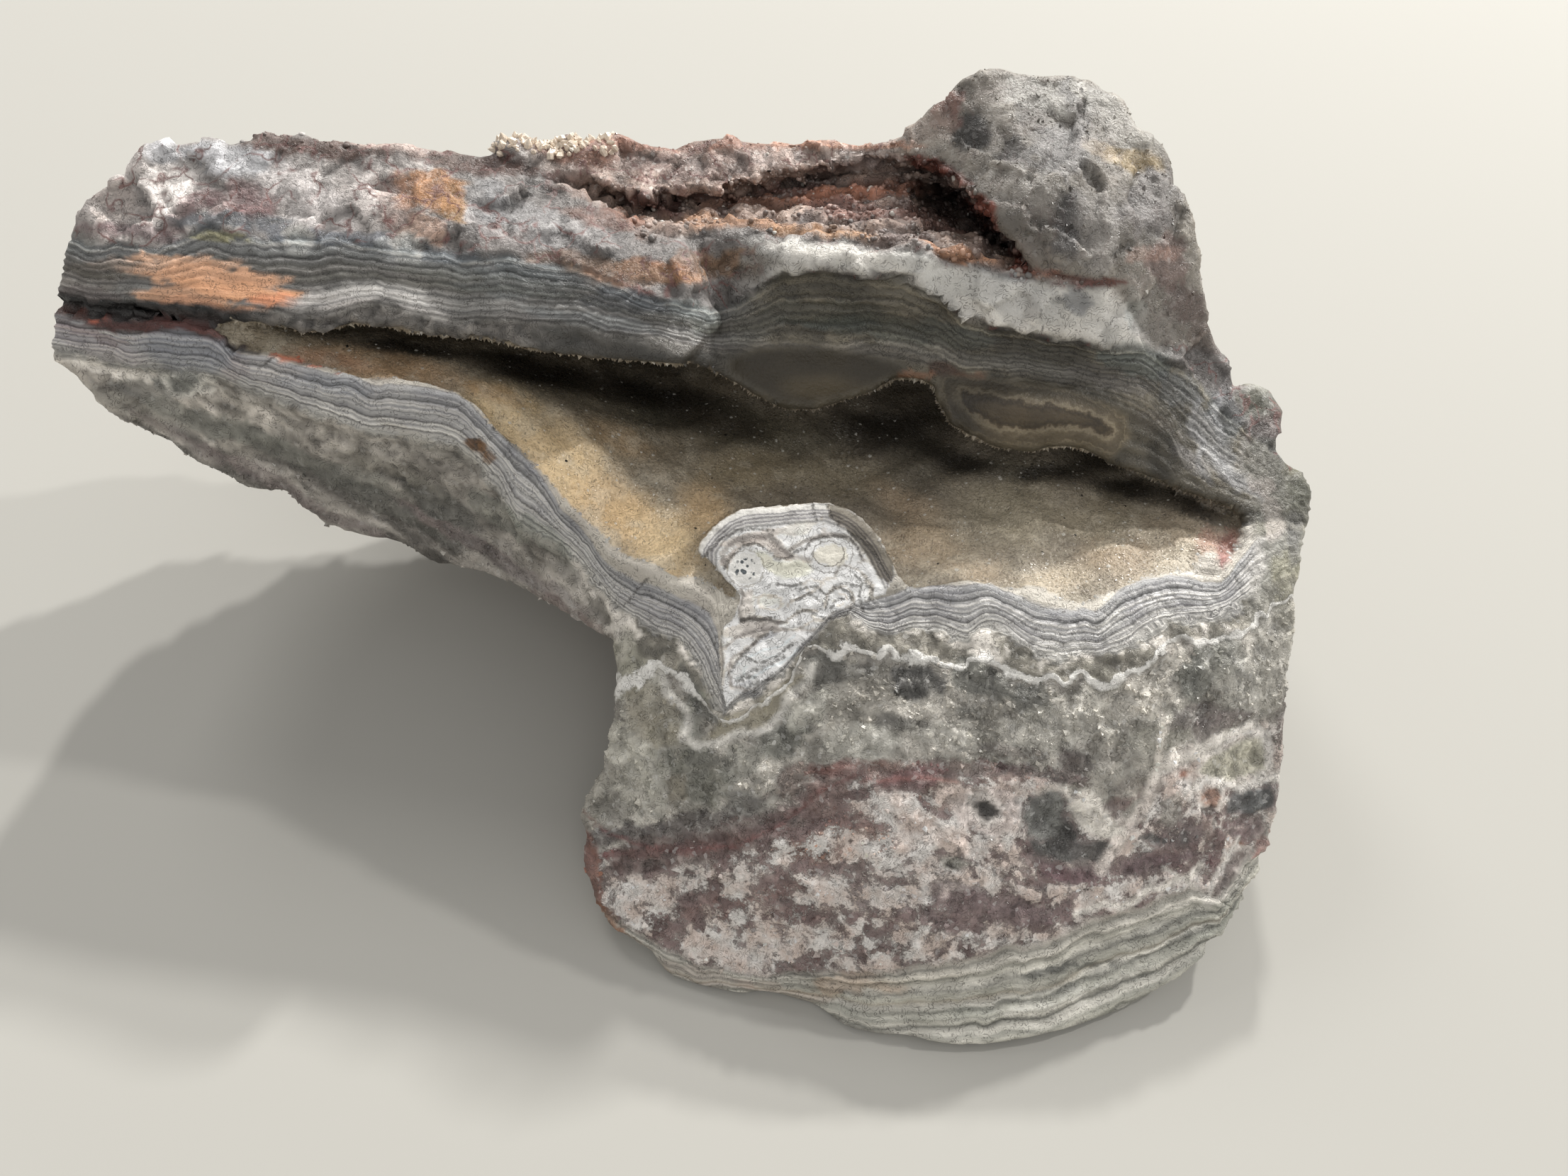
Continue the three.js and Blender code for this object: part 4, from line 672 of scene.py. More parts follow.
# x, y, half width, half height, turn, colour, strength
MARKS = [
 # slab
 (274,206,75,20,4,(.72,.73,.76),.85), (217,249,42,30,-50,(.85,.82,.81),.9), (143,258,36,22,10,(.64,.59,.57),.8), (357,240,38,24,-20,(.86,.83,.83),.85),
 (410,276,52,26,10,(.80,.77,.77),.9), (472,258,30,30,-60,(.82,.78,.77),.8), (319,262,44,26,15,(.45,.29,.29),.6), (240,272,40,14,-35,(.50,.36,.37),.6),
 (180,296,50,9,12,(.42,.32,.34),.7), (110,292,36,9,10,(.46,.35,.36),.6), (440,190,66,15,5,(.36,.28,.25),.95), (360,184,40,12,0,(.40,.32,.29),.9),
 (574,200,60,13,6,(.40,.31,.27),.9), (638,214,50,13,10,(.43,.31,.27),.9), (510,187,60,6,4,(.80,.70,.66),.8), (555,246,44,24,10,(.74,.52,.32),.85),
 (590,262,24,22,0,(.77,.59,.36),.8), (542,298,34,22,-25,(.80,.66,.58),.8), (505,262,26,34,20,(.58,.45,.40),.55), (628,264,32,24,30,(.78,.78,.80),.9),
 (700,286,62,20,20,(.76,.75,.76),.9), (756,300,40,16,20,(.74,.72,.72),.8), (640,300,36,14,15,(.70,.66,.66),.7), (733,328,60,9,6,(.54,.42,.33),.75),
 (835,345,54,16,4,(.76,.53,.36),.9), (931,336,42,18,-6,(.60,.47,.36),.85), (880,330,30,12,0,(.62,.48,.38),.7), (793,362,48,5,26,(.45,.27,.24),.85),
 (860,352,34,10,6,(.78,.58,.42),.7), (795,348,60,16,8,(.76,.63,.53),.6), (905,372,30,18,-30,(.62,.60,.60),.7), (880,392,24,14,0,(.60,.64,.64),.7),
 (300,284,80,9,2,(.36,.39,.42),.85), (420,303,90,8,4,(.44,.47,.52),.8), (520,318,50,10,0,(.62,.64,.65),.7), (561,325,46,9,6,(.40,.44,.48),.8),
 (281,306,34,6,4,(.60,.58,.36),.6), (689,345,60,11,10,(.36,.39,.40),.85), (797,386,60,12,12,(.40,.43,.47),.85), (90,300,30,14,8,(.48,.49,.47),.7),
 # upper bands
 (262,350,92,11,4,(.93,.72,.58),.95), (292,368,84,10,5,(.90,.68,.53),.95), (346,382,34,9,3,(.86,.59,.45),.9), (225,378,60,9,4,(.80,.62,.50),.85), (270,390,60,6,5,(.80,.60,.48),.8),
 (170,338,50,8,2,(.84,.72,.64),.6), (240,334,70,5,4,(.92,.74,.62),.8), (110,352,40,16,4,(.47,.43,.39),.75), (110,374,44,8,6,(.36,.30,.29),.8),
 (430,378,60,10,-8,(.90,.88,.87),.75), (480,372,50,9,4,(.92,.91,.90),.8), (530,392,40,8,25,(.88,.87,.86),.7), (640,360,90,14,6,(.46,.50,.51),.7),
 (560,350,60,10,3,(.50,.50,.47),.7), (760,410,80,10,10,(.52,.56,.58),.6), (860,440,50,10,8,(.84,.83,.82),.6), (900,405,16,22,-20,(.66,.70,.68),.7),
 # near-black lines along the slit: painted shade in the slit
 (270,400,190,6,5,(.10,.10,.11),.85), (420,412,46,7,-10,(.34,.32,.33),.7), (110,384,60,5,4,(.13,.13,.14),.8),
 # under the facet
 (1050,400,80,16,2,(.46,.46,.41),.75), (1150,420,110,14,6,(.40,.42,.38),.8), (960,420,40,16,-20,(.50,.50,.47),.7), (1100,450,120,10,4,(.55,.53,.50),.6),
 (1240,455,120,10,8,(.52,.51,.48),.7), (1060,412,60,6,2,(.33,.38,.36),.7), (1330,470,90,12,10,(.50,.49,.46),.7), (1420,480,60,12,10,(.47,.45,.43),.7),
 (1205,474,26,9,10,(.28,.18,.15),.85), (1240,480,22,6,5,(.46,.26,.18),.7), (1165,482,20,6,-5,(.50,.32,.22),.7),
 (1459,459,34,18,20,(.50,.55,.54),.7), (1500,500,26,20,30,(.46,.48,.50),.7), (1540,560,40,18,45,(.80,.81,.84),.7), (1520,590,30,10,48,(.88,.87,.88),.6),
 (1580,610,34,12,40,(.70,.71,.74),.7), (1480,540,30,10,30,(.62,.58,.53),.6),
 # facet
 (1083,326,44,10,4,(.80,.80,.79),.8), (1270,372,90,24,12,(.70,.72,.74),.75), (1200,350,60,14,20,(.72,.74,.75),.7), (1250,395,40,8,30,(.84,.84,.83),.6),
 (1376,384,26,12,10,(.40,.43,.48),.8), (1320,395,10,22,10,(.48,.46,.46),.5), (1420,408,36,18,0,(.74,.75,.76),.6), (1340,420,40,8,8,(.82,.81,.79),.6),
 (1000,335,40,10,10,(.60,.60,.60),.6), (1452,400,12,22,10,(.62,.70,.74),.6), (960,345,30,12,-30,(.52,.50,.48),.7),
 # horn
 (1357,124,70,20,8,(.72,.74,.77),.85), (1255,118,30,18,-30,(.62,.58,.57),.7), (1440,160,40,22,35,(.70,.71,.72),.8), (1372,140,7,44,-16,(.42,.42,.46),.7),
 (1242,168,24,20,20,(.24,.23,.25),.85), (1287,196,26,16,20,(.34,.32,.35),.8), (1268,182,10,14,0,(.74,.72,.72),.6), (1357,190,34,26,0,(.53,.54,.60),.8),
 (1363,284,20,36,8,(.27,.24,.27),.85), (1330,260,18,26,-20,(.60,.58,.58),.6), (1300,240,30,22,30,(.62,.60,.60),.7), (1410,300,26,40,-15,(.64,.63,.66),.7),
 (1446,204,40,11,6,(.66,.58,.42),.8), (1400,192,24,8,20,(.80,.72,.62),.6), (1470,262,30,36,10,(.52,.50,.55),.8), (1500,235,16,26,10,(.48,.46,.48),.7),
 (1491,336,22,34,0,(.56,.45,.44),.8), (1470,326,36,8,-6,(.68,.55,.50),.6), (1512,392,20,26,0,(.46,.37,.36),.8), (1535,430,18,22,0,(.50,.42,.40),.7),
 (1450,370,24,16,0,(.66,.62,.61),.6), (1408,362,34,5,3,(.40,.20,.15),.9), (1340,346,40,5,14,(.55,.34,.26),.8), (1205,130,18,26,30,(.52,.36,.33),.7),
 (1180,165,26,16,-30,(.66,.57,.54),.7), (1155,190,40,9,-12,(.78,.75,.74),.6), (1570,470,14,26,0,(.42,.37,.36),.7), (1275,150,22,12,0,(.72,.70,.70),.6),
 (1320,320,24,12,30,(.58,.52,.50),.6), (1480,420,26,22,0,(.62,.60,.61),.6),
 # crest and fissure
 (1040,182,110,6,0,(.70,.54,.46),.85), (850,184,100,7,2,(.62,.48,.43),.85), (740,196,50,12,8,(.56,.43,.38),.8), (860,212,60,14,3,(.62,.55,.55),.75),
 (960,208,70,12,-4,(.66,.60,.60),.7), (1100,198,60,10,-4,(.68,.64,.64),.75), (830,262,40,9,10,(.30,.17,.15),.85), (880,250,26,8,0,(.36,.22,.20),.7),
 (1060,250,70,7,-4,(.70,.47,.37),.85), (960,262,60,7,0,(.60,.44,.37),.7), (1010,240,50,6,-6,(.42,.28,.25),.7), (1140,240,50,8,2,(.60,.42,.35),.7),
 (1100,268,60,9,4,(.54,.38,.34),.75), (1180,280,50,10,14,(.50,.38,.35),.75), (940,284,70,8,4,(.62,.46,.34),.8), (1050,296,70,6,2,(.68,.52,.38),.8),
 (1225,322,50,6,12,(.66,.47,.34),.8), (1200,215,40,7,24,(.42,.20,.15),.85), (1255,268,10,34,-40,(.52,.25,.18),.85), (1300,330,18,8,40,(.50,.24,.17),.8),
 (770,280,50,10,14,(.56,.38,.30),.7), (1215,262,36,22,35,(.16,.10,.09),.8), (1270,305,26,12,45,(.14,.09,.08),.8),
 # red streaks under the slit
 (235,416,56,15,8,(.40,.24,.22),.9), (145,410,84,10,6,(.40,.26,.24),.85), (104,403,34,4,3,(.80,.44,.34),.85), (240,425,50,9,8,(.48,.24,.21),.8), (180,418,70,5,8,(.34,.17,.17),.7),
 (350,450,60,7,10,(.76,.54,.44),.8), (390,462,50,4,10,(.72,.38,.26),.7), (330,436,40,7,4,(.80,.72,.68),.7), (270,430,14,12,0,(.60,.48,.46),.6),
 # bulge and lower bands on the arm
 (240,446,58,20,8,(.57,.58,.62),.8), (120,440,60,12,14,(.74,.70,.71),.7), (110,425,50,5,8,(.56,.42,.42),.6), (150,470,60,6,12,(.86,.85,.84),.7),
 (232,488,30,13,10,(.34,.38,.38),.85), (265,490,9,14,0,(.78,.78,.76),.7), (180,492,40,9,14,(.46,.47,.46),.7), (350,476,50,12,14,(.84,.82,.81),.7),
 (300,470,16,16,0,(.66,.60,.60),.6), (420,492,60,9,6,(.62,.64,.68),.6), (500,492,20,26,60,(.82,.81,.80),.6), (606,571,10,7,0,(.34,.23,.13),.95), (618,580,7,9,0,(.42,.30,.18),.8),
 # left arm, lower face
 (180,520,80,10,22,(.60,.59,.55),.6), (280,540,90,12,20,(.40,.43,.40),.7), (400,590,120,14,22,(.44,.46,.42),.7), (330,600,70,7,28,(.50,.42,.42),.7),
 (480,640,100,12,28,(.38,.39,.35),.7), (420,655,90,7,26,(.52,.44,.44),.7), (560,640,60,18,30,(.34,.36,.33),.75), (600,690,100,9,28,(.60,.50,.50),.75),
 (500,600,60,10,20,(.52,.50,.44),.6), (650,720,90,9,30,(.42,.36,.37),.7), (700,750,60,9,30,(.68,.62,.62),.6), (640,660,50,12,45,(.50,.53,.48),.7),
 (730,790,50,14,35,(.58,.47,.46),.7), (240,560,80,6,30,(.48,.41,.41),.6), (540,560,60,7,22,(.66,.64,.60),.6), (700,690,40,10,45,(.38,.43,.38),.6),
 # quartz
 (806,860,34,44,0,(.62,.62,.55),.75), (799,951,32,34,0,(.70,.70,.63),.8), (861,951,34,34,20,(.52,.52,.45),.7), (882,1000,44,34,30,(.36,.38,.31),.75),
 (1000,946,26,22,-20,(.34,.37,.33),.8), (1030,905,30,16,-30,(.64,.65,.60),.7), (958,1027,24,16,-20,(.34,.34,.33),.75), (820,1010,34,28,0,(.64,.64,.58),.6),
 (1055,850,30,14,-20,(.33,.35,.33),.8), (1166,870,34,18,10,(.29,.30,.31),.85), (1256,870,42,20,20,(.37,.39,.36),.85), (1311,890,22,22,0,(.30,.32,.30),.75),
 (1159,923,34,8,10,(.33,.33,.32),.7), (1235,905,20,12,0,(.40,.40,.38),.6), (1103,951,50,20,-6,(.68,.69,.65),.75), (1207,937,46,18,0,(.68,.68,.64),.75),
 (1325,932,50,20,0,(.64,.64,.60),.75), (1394,909,34,26,0,(.66,.65,.60),.7), (1463,889,40,28,-20,(.69,.67,.62),.75), (1526,868,18,24,10,(.38,.41,.38),.8),
 (1560,835,22,20,0,(.44,.47,.44),.7), (1490,935,50,20,-20,(.60,.60,.54),.6), (1580,870,30,30,0,(.64,.64,.60),.6), (1400,960,40,14,10,(.52,.50,.47),.6),
 (940,975,34,18,-20,(.46,.48,.43),.6), (1060,985,30,10,0,(.44,.40,.38),.7), (1290,960,40,9,5,(.40,.35,.34),.6), (1370,975,18,16,0,(.36,.30,.30),.7),
 (880,905,16,30,10,(.52,.55,.50),.7), (760,1000,24,40,10,(.56,.55,.49),.7), (840,905,26,14,30,(.40,.42,.39),.6),
 # purple and pink
 (780,1066,54,11,-10,(.33,.29,.30),.85), (880,1052,60,12,-12,(.35,.31,.31),.85), (850,1084,110,7,-6,(.42,.24,.23),.85), (960,1062,60,18,-8,(.40,.31,.30),.75),
 (1020,1000,40,24,-10,(.43,.33,.31),.75), (1117,985,70,14,0,(.46,.33,.31),.75), (1220,985,70,10,0,(.44,.34,.33),.7), (1325,990,60,10,6,(.43,.33,.34),.7),
 (1048,1040,40,20,0,(.44,.33,.32),.7), (1103,1055,40,16,0,(.58,.44,.40),.6), (1145,1027,34,20,10,(.86,.80,.78),.85), (1190,1061,40,18,0,(.86,.81,.80),.85),
 (1210,1015,34,14,0,(.80,.68,.62),.7), (1290,1010,44,16,0,(.80,.68,.64),.8), (1300,1050,22,34,10,(.84,.77,.76),.8), (1080,1075,50,18,-6,(.82,.70,.64),.8),
 (1030,1090,34,14,0,(.78,.62,.54),.7), (1180,1105,60,16,0,(.76,.73,.72),.7), (1259,1034,26,18,30,(.22,.23,.21),.95), (1262,1040,12,8,0,(.12,.12,.11),.8),
 (1340,1045,36,28,0,(.42,.44,.43),.9), (1335,1082,32,18,0,(.30,.31,.30),.9), (1378,1060,14,16,0,(.28,.29,.29),.8), (1394,1041,16,26,-30,(.86,.83,.79),.85),
 (1429,1066,34,9,20,(.84,.81,.76),.8), (1470,1014,9,34,40,(.82,.78,.74),.7), (1477,960,8,34,10,(.84,.80,.75),.7), (1525,950,40,7,-30,(.86,.84,.80),.8),
 (1570,984,36,24,-10,(.66,.66,.59),.95), (1566,1010,40,6,-8,(.84,.82,.80),.85), (1600,935,22,8,-20,(.84,.82,.79),.8), (1524,985,8,24,10,(.84,.80,.76),.8),
 (1525,915,34,12,-20,(.45,.39,.40),.7), (1490,985,18,10,0,(.42,.34,.35),.6), (1440,1010,30,14,-40,(.55,.50,.46),.6), (1602,1022,26,16,-10,(.32,.33,.35),.85), (1553,1016,22,22,0,(.48,.37,.37),.8),
 (1498,1068,34,16,-10,(.36,.37,.38),.8), (1450,1100,40,10,-10,(.44,.33,.35),.75), (1380,1118,60,7,4,(.44,.32,.34),.8), (1540,1100,60,10,-12,(.50,.38,.39),.75), (1600,1082,24,10,-20,(.60,.42,.40),.7),
 (806,1145,44,24,10,(.83,.79,.77),.75), (868,1135,40,14,-10,(.80,.75,.73),.7), (965,1207,54,22,4,(.82,.79,.79),.8), (905,1210,34,16,0,(.84,.80,.78),.7), (910,1160,44,12,-14,(.52,.40,.37),.7),
 (1020,1165,44,14,-8,(.52,.40,.39),.7), (985,1140,40,9,-10,(.60,.45,.40),.6), (1117,1145,54,16,0,(.76,.75,.76),.75), (1060,1190,40,14,0,(.74,.66,.64),.6), (1221,1165,50,18,0,(.46,.37,.39),.75),
 (1165,1200,50,10,0,(.72,.70,.70),.6), (1276,1150,44,14,0,(.47,.38,.40),.7), (1325,1168,40,12,-6,(.48,.38,.40),.7), (1250,1196,60,8,0,(.74,.71,.71),.7), (1340,1135,40,8,0,(.80,.77,.77),.6), (1420,1135,50,7,-10,(.82,.80,.79),.7),
 (1225,1130,30,8,0,(.86,.84,.83),.7), (1262,1108,12,12,0,(.80,.77,.76),.6), (1217,1102,8,5,0,(.15,.14,.13),.9), (835,1105,9,7,0,(.55,.56,.55),.8), (790,1200,60,12,30,(.64,.52,.46),.7),
 (750,1130,14,40,0,(.52,.33,.24),.9), (748,1080,10,26,0,(.44,.30,.26),.8), (772,1172,22,14,40,(.56,.40,.31),.8), (1100,1215,40,7,0,(.60,.50,.48),.6),
 # foot
 (1090,1255,60,12,4,(.66,.55,.46),.75), (1000,1262,60,9,8,(.70,.60,.53),.7), (900,1246,60,9,14,(.68,.58,.53),.7), (1180,1245,50,9,-4,(.72,.69,.62),.6), (1366,1236,60,4,-8,(.30,.33,.32),.85),
 (1300,1290,90,5,-10,(.90,.89,.86),.8), (1400,1256,60,5,-16,(.88,.88,.86),.7), (1180,1330,60,6,0,(.88,.86,.82),.7), (1330,1268,40,4,-10,(.46,.48,.45),.7), (1540,1180,44,30,-40,(.58,.59,.54),.75),
 (1480,1190,44,12,-20,(.56,.56,.53),.6), (1440,1270,50,16,-30,(.60,.60,.55),.6), (1030,1300,44,12,16,(.66,.66,.60),.7), (1230,1300,60,12,0,(.62,.64,.58),.5), (1150,1290,60,10,4,(.80,.78,.72),.5),
 # right strip
 (1600,510,26,20,20,(.47,.47,.36),.8), (1612,540,22,22,0,(.46,.38,.36),.8), (1657,625,24,30,10,(.50,.50,.42),.85), (1650,600,16,12,0,(.56,.54,.38),.6), (1620,700,24,50,5,(.56,.56,.54),.7),
 (1597,720,12,50,0,(.84,.83,.82),.7), (1640,760,16,50,0,(.58,.57,.48),.7), (1625,860,20,50,0,(.62,.61,.56),.7), (1618,660,14,24,0,(.86,.83,.81),.7), (1608,620,14,12,0,(.80,.76,.74),.7), (1640,920,14,30,0,(.46,.40,.38),.7),
 (1560,480,12,18,0,(.44,.40,.41),.6), (1560,530,16,24,-20,(.44,.47,.50),.7), (1648,680,10,30,0,(.44,.44,.44),.6),
]
# marks on the slot's floor: the druse's own colours, and along the back under the roof darker and near-black strips of
# painted shadow
DRUSE_AND_SHADOW = [
 (500,470,110,26,12,(.66,.55,.42),.8), (420,458,60,12,8,(.66,.52,.42),.7), (640,530,60,40,30,(.84,.76,.60),.9), (720,590,70,50,35,(.85,.76,.59),.9), (800,660,80,50,35,(.83,.72,.54),.9),
 (850,700,60,50,35,(.85,.77,.61),.8), (900,650,40,40,0,(.78,.68,.52),.8), (700,640,40,16,48,(.86,.76,.60),.6), (870,745,50,14,20,(.84,.74,.58),.7), (790,560,60,24,30,(.60,.52,.40),.8),
 (700,490,90,22,10,(.36,.34,.29),.9), (870,526,120,30,6,(.30,.30,.26),.90), (1000,560,120,36,0,(.40,.39,.33),.9), (960,600,80,26,0,(.58,.54,.44),.8), (1080,610,90,30,6,(.55,.52,.42),.85),
 (1170,590,60,50,0,(.40,.39,.34),.8), (1180,690,60,50,0,(.66,.58,.45),.8), (1150,640,50,24,20,(.68,.58,.44),.7), (1240,730,60,16,4,(.74,.66,.54),.7), (1290,650,90,60,0,(.58,.56,.47),.9),
 (1300,600,70,18,0,(.48,.47,.40),.8), (1400,660,70,40,0,(.60,.57,.47),.9), (1430,710,70,30,0,(.66,.58,.46),.8), (1350,740,60,20,0,(.70,.65,.55),.7), (1500,680,60,30,10,(.62,.57,.48),.9),
 (1530,630,50,18,15,(.50,.46,.40),.8), (1563,704,16,34,20,(.52,.27,.23),.95), (1540,690,14,22,20,(.66,.44,.38),.7), (1400,590,80,14,8,(.30,.28,.24),.85), (620,500,50,14,20,(.70,.58,.42),.7),
 # painted shadow under the roof: near-black strips along the back of the slot
 (520,443,110,14,8,(.13,.12,.10),.95), (680,472,110,20,14,(.11,.10,.085),.95), (830,502,110,22,12,(.14,.13,.11),.95), (915,542,80,22,16,(.22,.20,.165),.8),
 (1130,545,90,40,0,(.12,.11,.09),.9), (1230,592,60,22,20,(.12,.11,.09),.9), (1340,602,80,18,0,(.13,.12,.10),.9), (1440,624,80,16,8,(.12,.11,.09),.9), (1530,652,46,14,22,(.15,.13,.11),.85),
]

def lay_marks(col, marks, X, Y, bump, rag=0.55, soft=0.26):
    for cx, cy, rx, ry, ang, c, st in marks:
        c1, s1 = math.cos(math.radians(ang)), math.sin(math.radians(ang))
        m = (np.abs(X - cx) < 2.2 * max(rx, ry)) & (np.abs(Y - cy) < 2.2 * max(rx, ry))
        if not m.any():
            continue
        dx, dy = X[m] - cx, Y[m] - cy
        jag = rag * (0.45 if rx > 2.6 * ry else 1.0)
        r = np.sqrt(((dx * c1 + dy * s1) / (1.25 * rx)) ** 2 + ((-dx * s1 + dy * c1) / (1.25 * ry)) ** 2)
        col[m] = mix(col[m], lin(c)[None, :], st * sstep(1.0 - r + jag * bump[m], -0.04, soft))
    return col

def average(a, rounds):
    for _ in range(rounds):
        S, c = np.zeros(len(a)), np.zeros(len(a))
        for k in range(3):
            for o in (1, 2):
                S += np.bincount(T[:, k], a[T[:, (k + o) % 3]], len(a))
            c += 2 * np.bincount(T[:, k], minlength=len(a))
        a = S / np.maximum(c, 1)
    return a

def lay_shapes(col, shapes, X, Y, where, soft):
    for a, c, st, rim in shapes:
        m = where & (X > a[:, 0].min() - 12) & (X < a[:, 0].max() + 12) & (Y > a[:, 1].min() - 12) & (Y < a[:, 1].max() + 12)
        if not m.any():
            continue
        d = inside_distance(a, X[m], Y[m])
        if rim:
            col[m] = mix(col[m], lin(rim)[None, :], 0.85 * sstep(d, -9, -4))
        col[m] = mix(col[m], lin(c)[None, :], st * sstep(d, -0.6 * soft, 0.6 * soft))
    return col

# outlined spots and pockets: outline, colour, strength, colour of the rim
SHAPES = [(P2(a), c, k, r) for a, c, k, r in (
 # quartz
 ([1033,862,1052,836,1068,849,1087,846,1119,849,1106,868,1068,872,1036,884], (.36,.36,.335), .85, None), ([1142,862,1167,849,1193,865,1183,888,1158,897,1142,884], (.27,.27,.265), .9, None),
 ([972,939,998,929,1017,942,1014,971,988,958], (.36,.37,.33), .85, None), ([873,958,908,955,924,971,908,980,876,977], (.35,.36,.32), .8, None), ([946,1019,972,1016,975,1032,953,1038], (.33,.31,.30), .7, None),
 ([847,990,876,987,876,1022,854,1025], (.48,.45,.385), .85, None), ([796,868,830,870,858,890,872,920,862,950,838,958,800,930], (.56,.53,.45), .7, None), ([870,840,886,868,902,904,927,923,914,926,889,913,876,878,866,849], (.36,.375,.355), .8, None),
 ([934,910,959,904,1004,865,1023,859,1030,868,1001,897,972,929,940,936,914,948,892,945,914,926], (.58,.55,.46), .85, None), ([1110,922,1145,918,1170,928,1140,936], (.36,.36,.34), .7, None), ([1230,860,1262,850,1290,872,1280,892,1246,888], (.36,.37,.345), .8, None),
 ([1298,872,1324,878,1330,902,1306,908], (.32,.33,.31), .7, None), ([1512,852,1540,850,1546,880,1520,892], (.40,.42,.385), .7, None), ([1380,846,1420,850,1440,878,1400,890], (.63,.62,.57), .6, None),
 ([1000,1041,1017,1035,1030,1048,1023,1057,1004,1054], (.38,.35,.33), .7, None), ([1352,962,1375,960,1378,982,1356,986], (.34,.28,.27), .7, None),
 # maroon and mauve
 ([1020,1028,1036,996,1062,990,1087,1009,1062,1041,1036,1041], (.46,.375,.355), .8, None), ([1113,1003,1142,984,1180,977,1209,980,1196,1003,1164,1009,1132,1012], (.42,.305,.305), .8, None),
 ([780,1086,818,1067,892,1064,934,1060,972,1054,959,1083,908,1096,860,1108,806,1118,780,1112], (.365,.29,.275), .8, None), ([1318,1094,1353,1104,1404,1107,1410,1120,1369,1130,1327,1117], (.42,.31,.335), .8, None),
 ([1430,1101,1468,1091,1516,1085,1532,1091,1500,1104,1455,1117,1433,1120], (.43,.33,.355), .8, None), ([1452,1018,1462,996,1440,1030,1420,1046,1404,1030,1420,1016], (.45,.34,.34), .7, None), ([1518,930,1540,912,1580,904,1600,910,1560,934,1530,952], (.43,.36,.36), .75, None),
 ([1184,1128,1210,1122,1260,1134,1266,1156,1230,1162,1190,1154], (.50,.41,.42), .7, None), ([1272,1158,1300,1150,1346,1160,1340,1178,1296,1184], (.49,.40,.41), .7, None), ([1560,1048,1610,1040,1616,1062,1572,1072], (.48,.36,.385), .7, None),
 # pale and dark pockets
 ([1204,1022,1232,1008,1290,1006,1304,1030,1300,1062,1262,1068,1226,1056], (.84,.77,.75), .8, None), ([1238,1018,1258,1018,1273,1030,1276,1037,1257,1053,1244,1037], (.20,.20,.185), .95, (.90,.87,.85)),
 ([1306,1040,1314,1021,1334,1008,1353,1011,1359,1030,1354,1050,1359,1066,1334,1072,1308,1066], (.44,.455,.445), .92, None), ([1308,1069,1321,1088,1359,1101,1404,1101,1423,1075,1404,1072,1378,1075,1369,1053,1356,1043,1353,1059,1330,1075], (.28,.29,.285), .9, None),
 ([1362,1024,1385,1018,1404,1030,1430,1054,1420,1069,1401,1072,1378,1059,1366,1040], (.88,.86,.82), .9, None), ([1529,986,1542,966,1561,957,1593,939,1615,947,1616,982,1593,990,1567,997,1548,994], (.70,.69,.60), .95, (.92,.90,.88)),
 ([1564,1018,1580,1002,1593,1008,1622,1002,1625,1027,1596,1040,1564,1037], (.33,.36,.37), .9, None), ([1530,1018,1538,1006,1552,1006,1560,1018,1552,1030,1536,1030], (.56,.42,.35), .9, (.90,.87,.84)), ([1502,987,1511,981,1520,986,1514,994,1505,994], (.62,.44,.37), .9, (.86,.80,.77)),
 ([1571,1080,1580,1072,1589,1080,1584,1092,1574,1092], (.62,.44,.33), .85, None), ([1593,1085,1580,1104,1574,1123,1561,1139,1542,1149,1542,1136,1554,1123,1564,1101,1567,1085], (.47,.41,.40), .9, (.90,.88,.86)),
 ([1452,1066,1468,1059,1484,1069,1478,1078,1458,1072], (.30,.31,.31), .9, None), ([1506,1060,1514,1058,1517,1074,1509,1078], (.32,.32,.32), .85, None), ([1530,1040,1546,1036,1552,1066,1538,1074], (.44,.36,.33), .75, None),
 ([1196,1092,1220,1092,1240,1102,1220,1112,1200,1106], (.72,.73,.68), .8, None), ([1199,1097,1209,1100,1222,1106,1210,1107], (.05,.05,.045), .95, None), ([1484,1020,1506,1010,1510,1040,1492,1056,1478,1048], (.60,.60,.56), .7, None),
 # slab and arm
 ([299,242,330,236,358,250,352,276,318,280,302,264], (.40,.27,.27), .6, None), ([368,297,384,292,394,302,386,318,370,316], (.60,.62,.61), .8, (.82,.81,.79)), ([507,306,522,302,534,314,528,332,510,330], (.60,.62,.62), .8, (.80,.79,.77)),
 ([532,226,560,221,592,236,590,268,552,272,536,252], (.74,.53,.35), .6, None), ([292,414,330,412,372,424,394,440,392,452,350,452,310,440], (.74,.62,.58), .7, None), ([127,404,200,401,262,412,278,432,210,430,140,420], (.34,.20,.19), .75, None),
 ([185,426,230,420,276,436,293,462,270,478,216,470,188,448], (.56,.58,.62), .8, None), ([212,482,236,478,254,488,244,500,220,500], (.30,.34,.33), .85, (.74,.75,.74)),
 # right end
 ([1550,690,1568,682,1572,716,1556,724], (.50,.24,.20), .8, None), ([1586,500,1604,492,1618,506,1612,524,1592,526], (.46,.46,.38), .7, (.66,.66,.62)), ([1642,612,1664,606,1674,630,1664,652,1646,646], (.50,.51,.44), .7, (.70,.70,.66)),
 # horn
 ([1232,150,1252,146,1262,166,1254,186,1234,184], (.20,.19,.21), .40, None), ([1352,252,1372,246,1380,282,1376,318,1352,322,1346,284], (.24,.22,.25), .45, None), ([1340,170,1376,166,1384,200,1362,220,1336,206], (.50,.51,.56), .35, None),
 ([1430,192,1478,190,1484,210,1440,216], (.64,.57,.44), .5, None))]
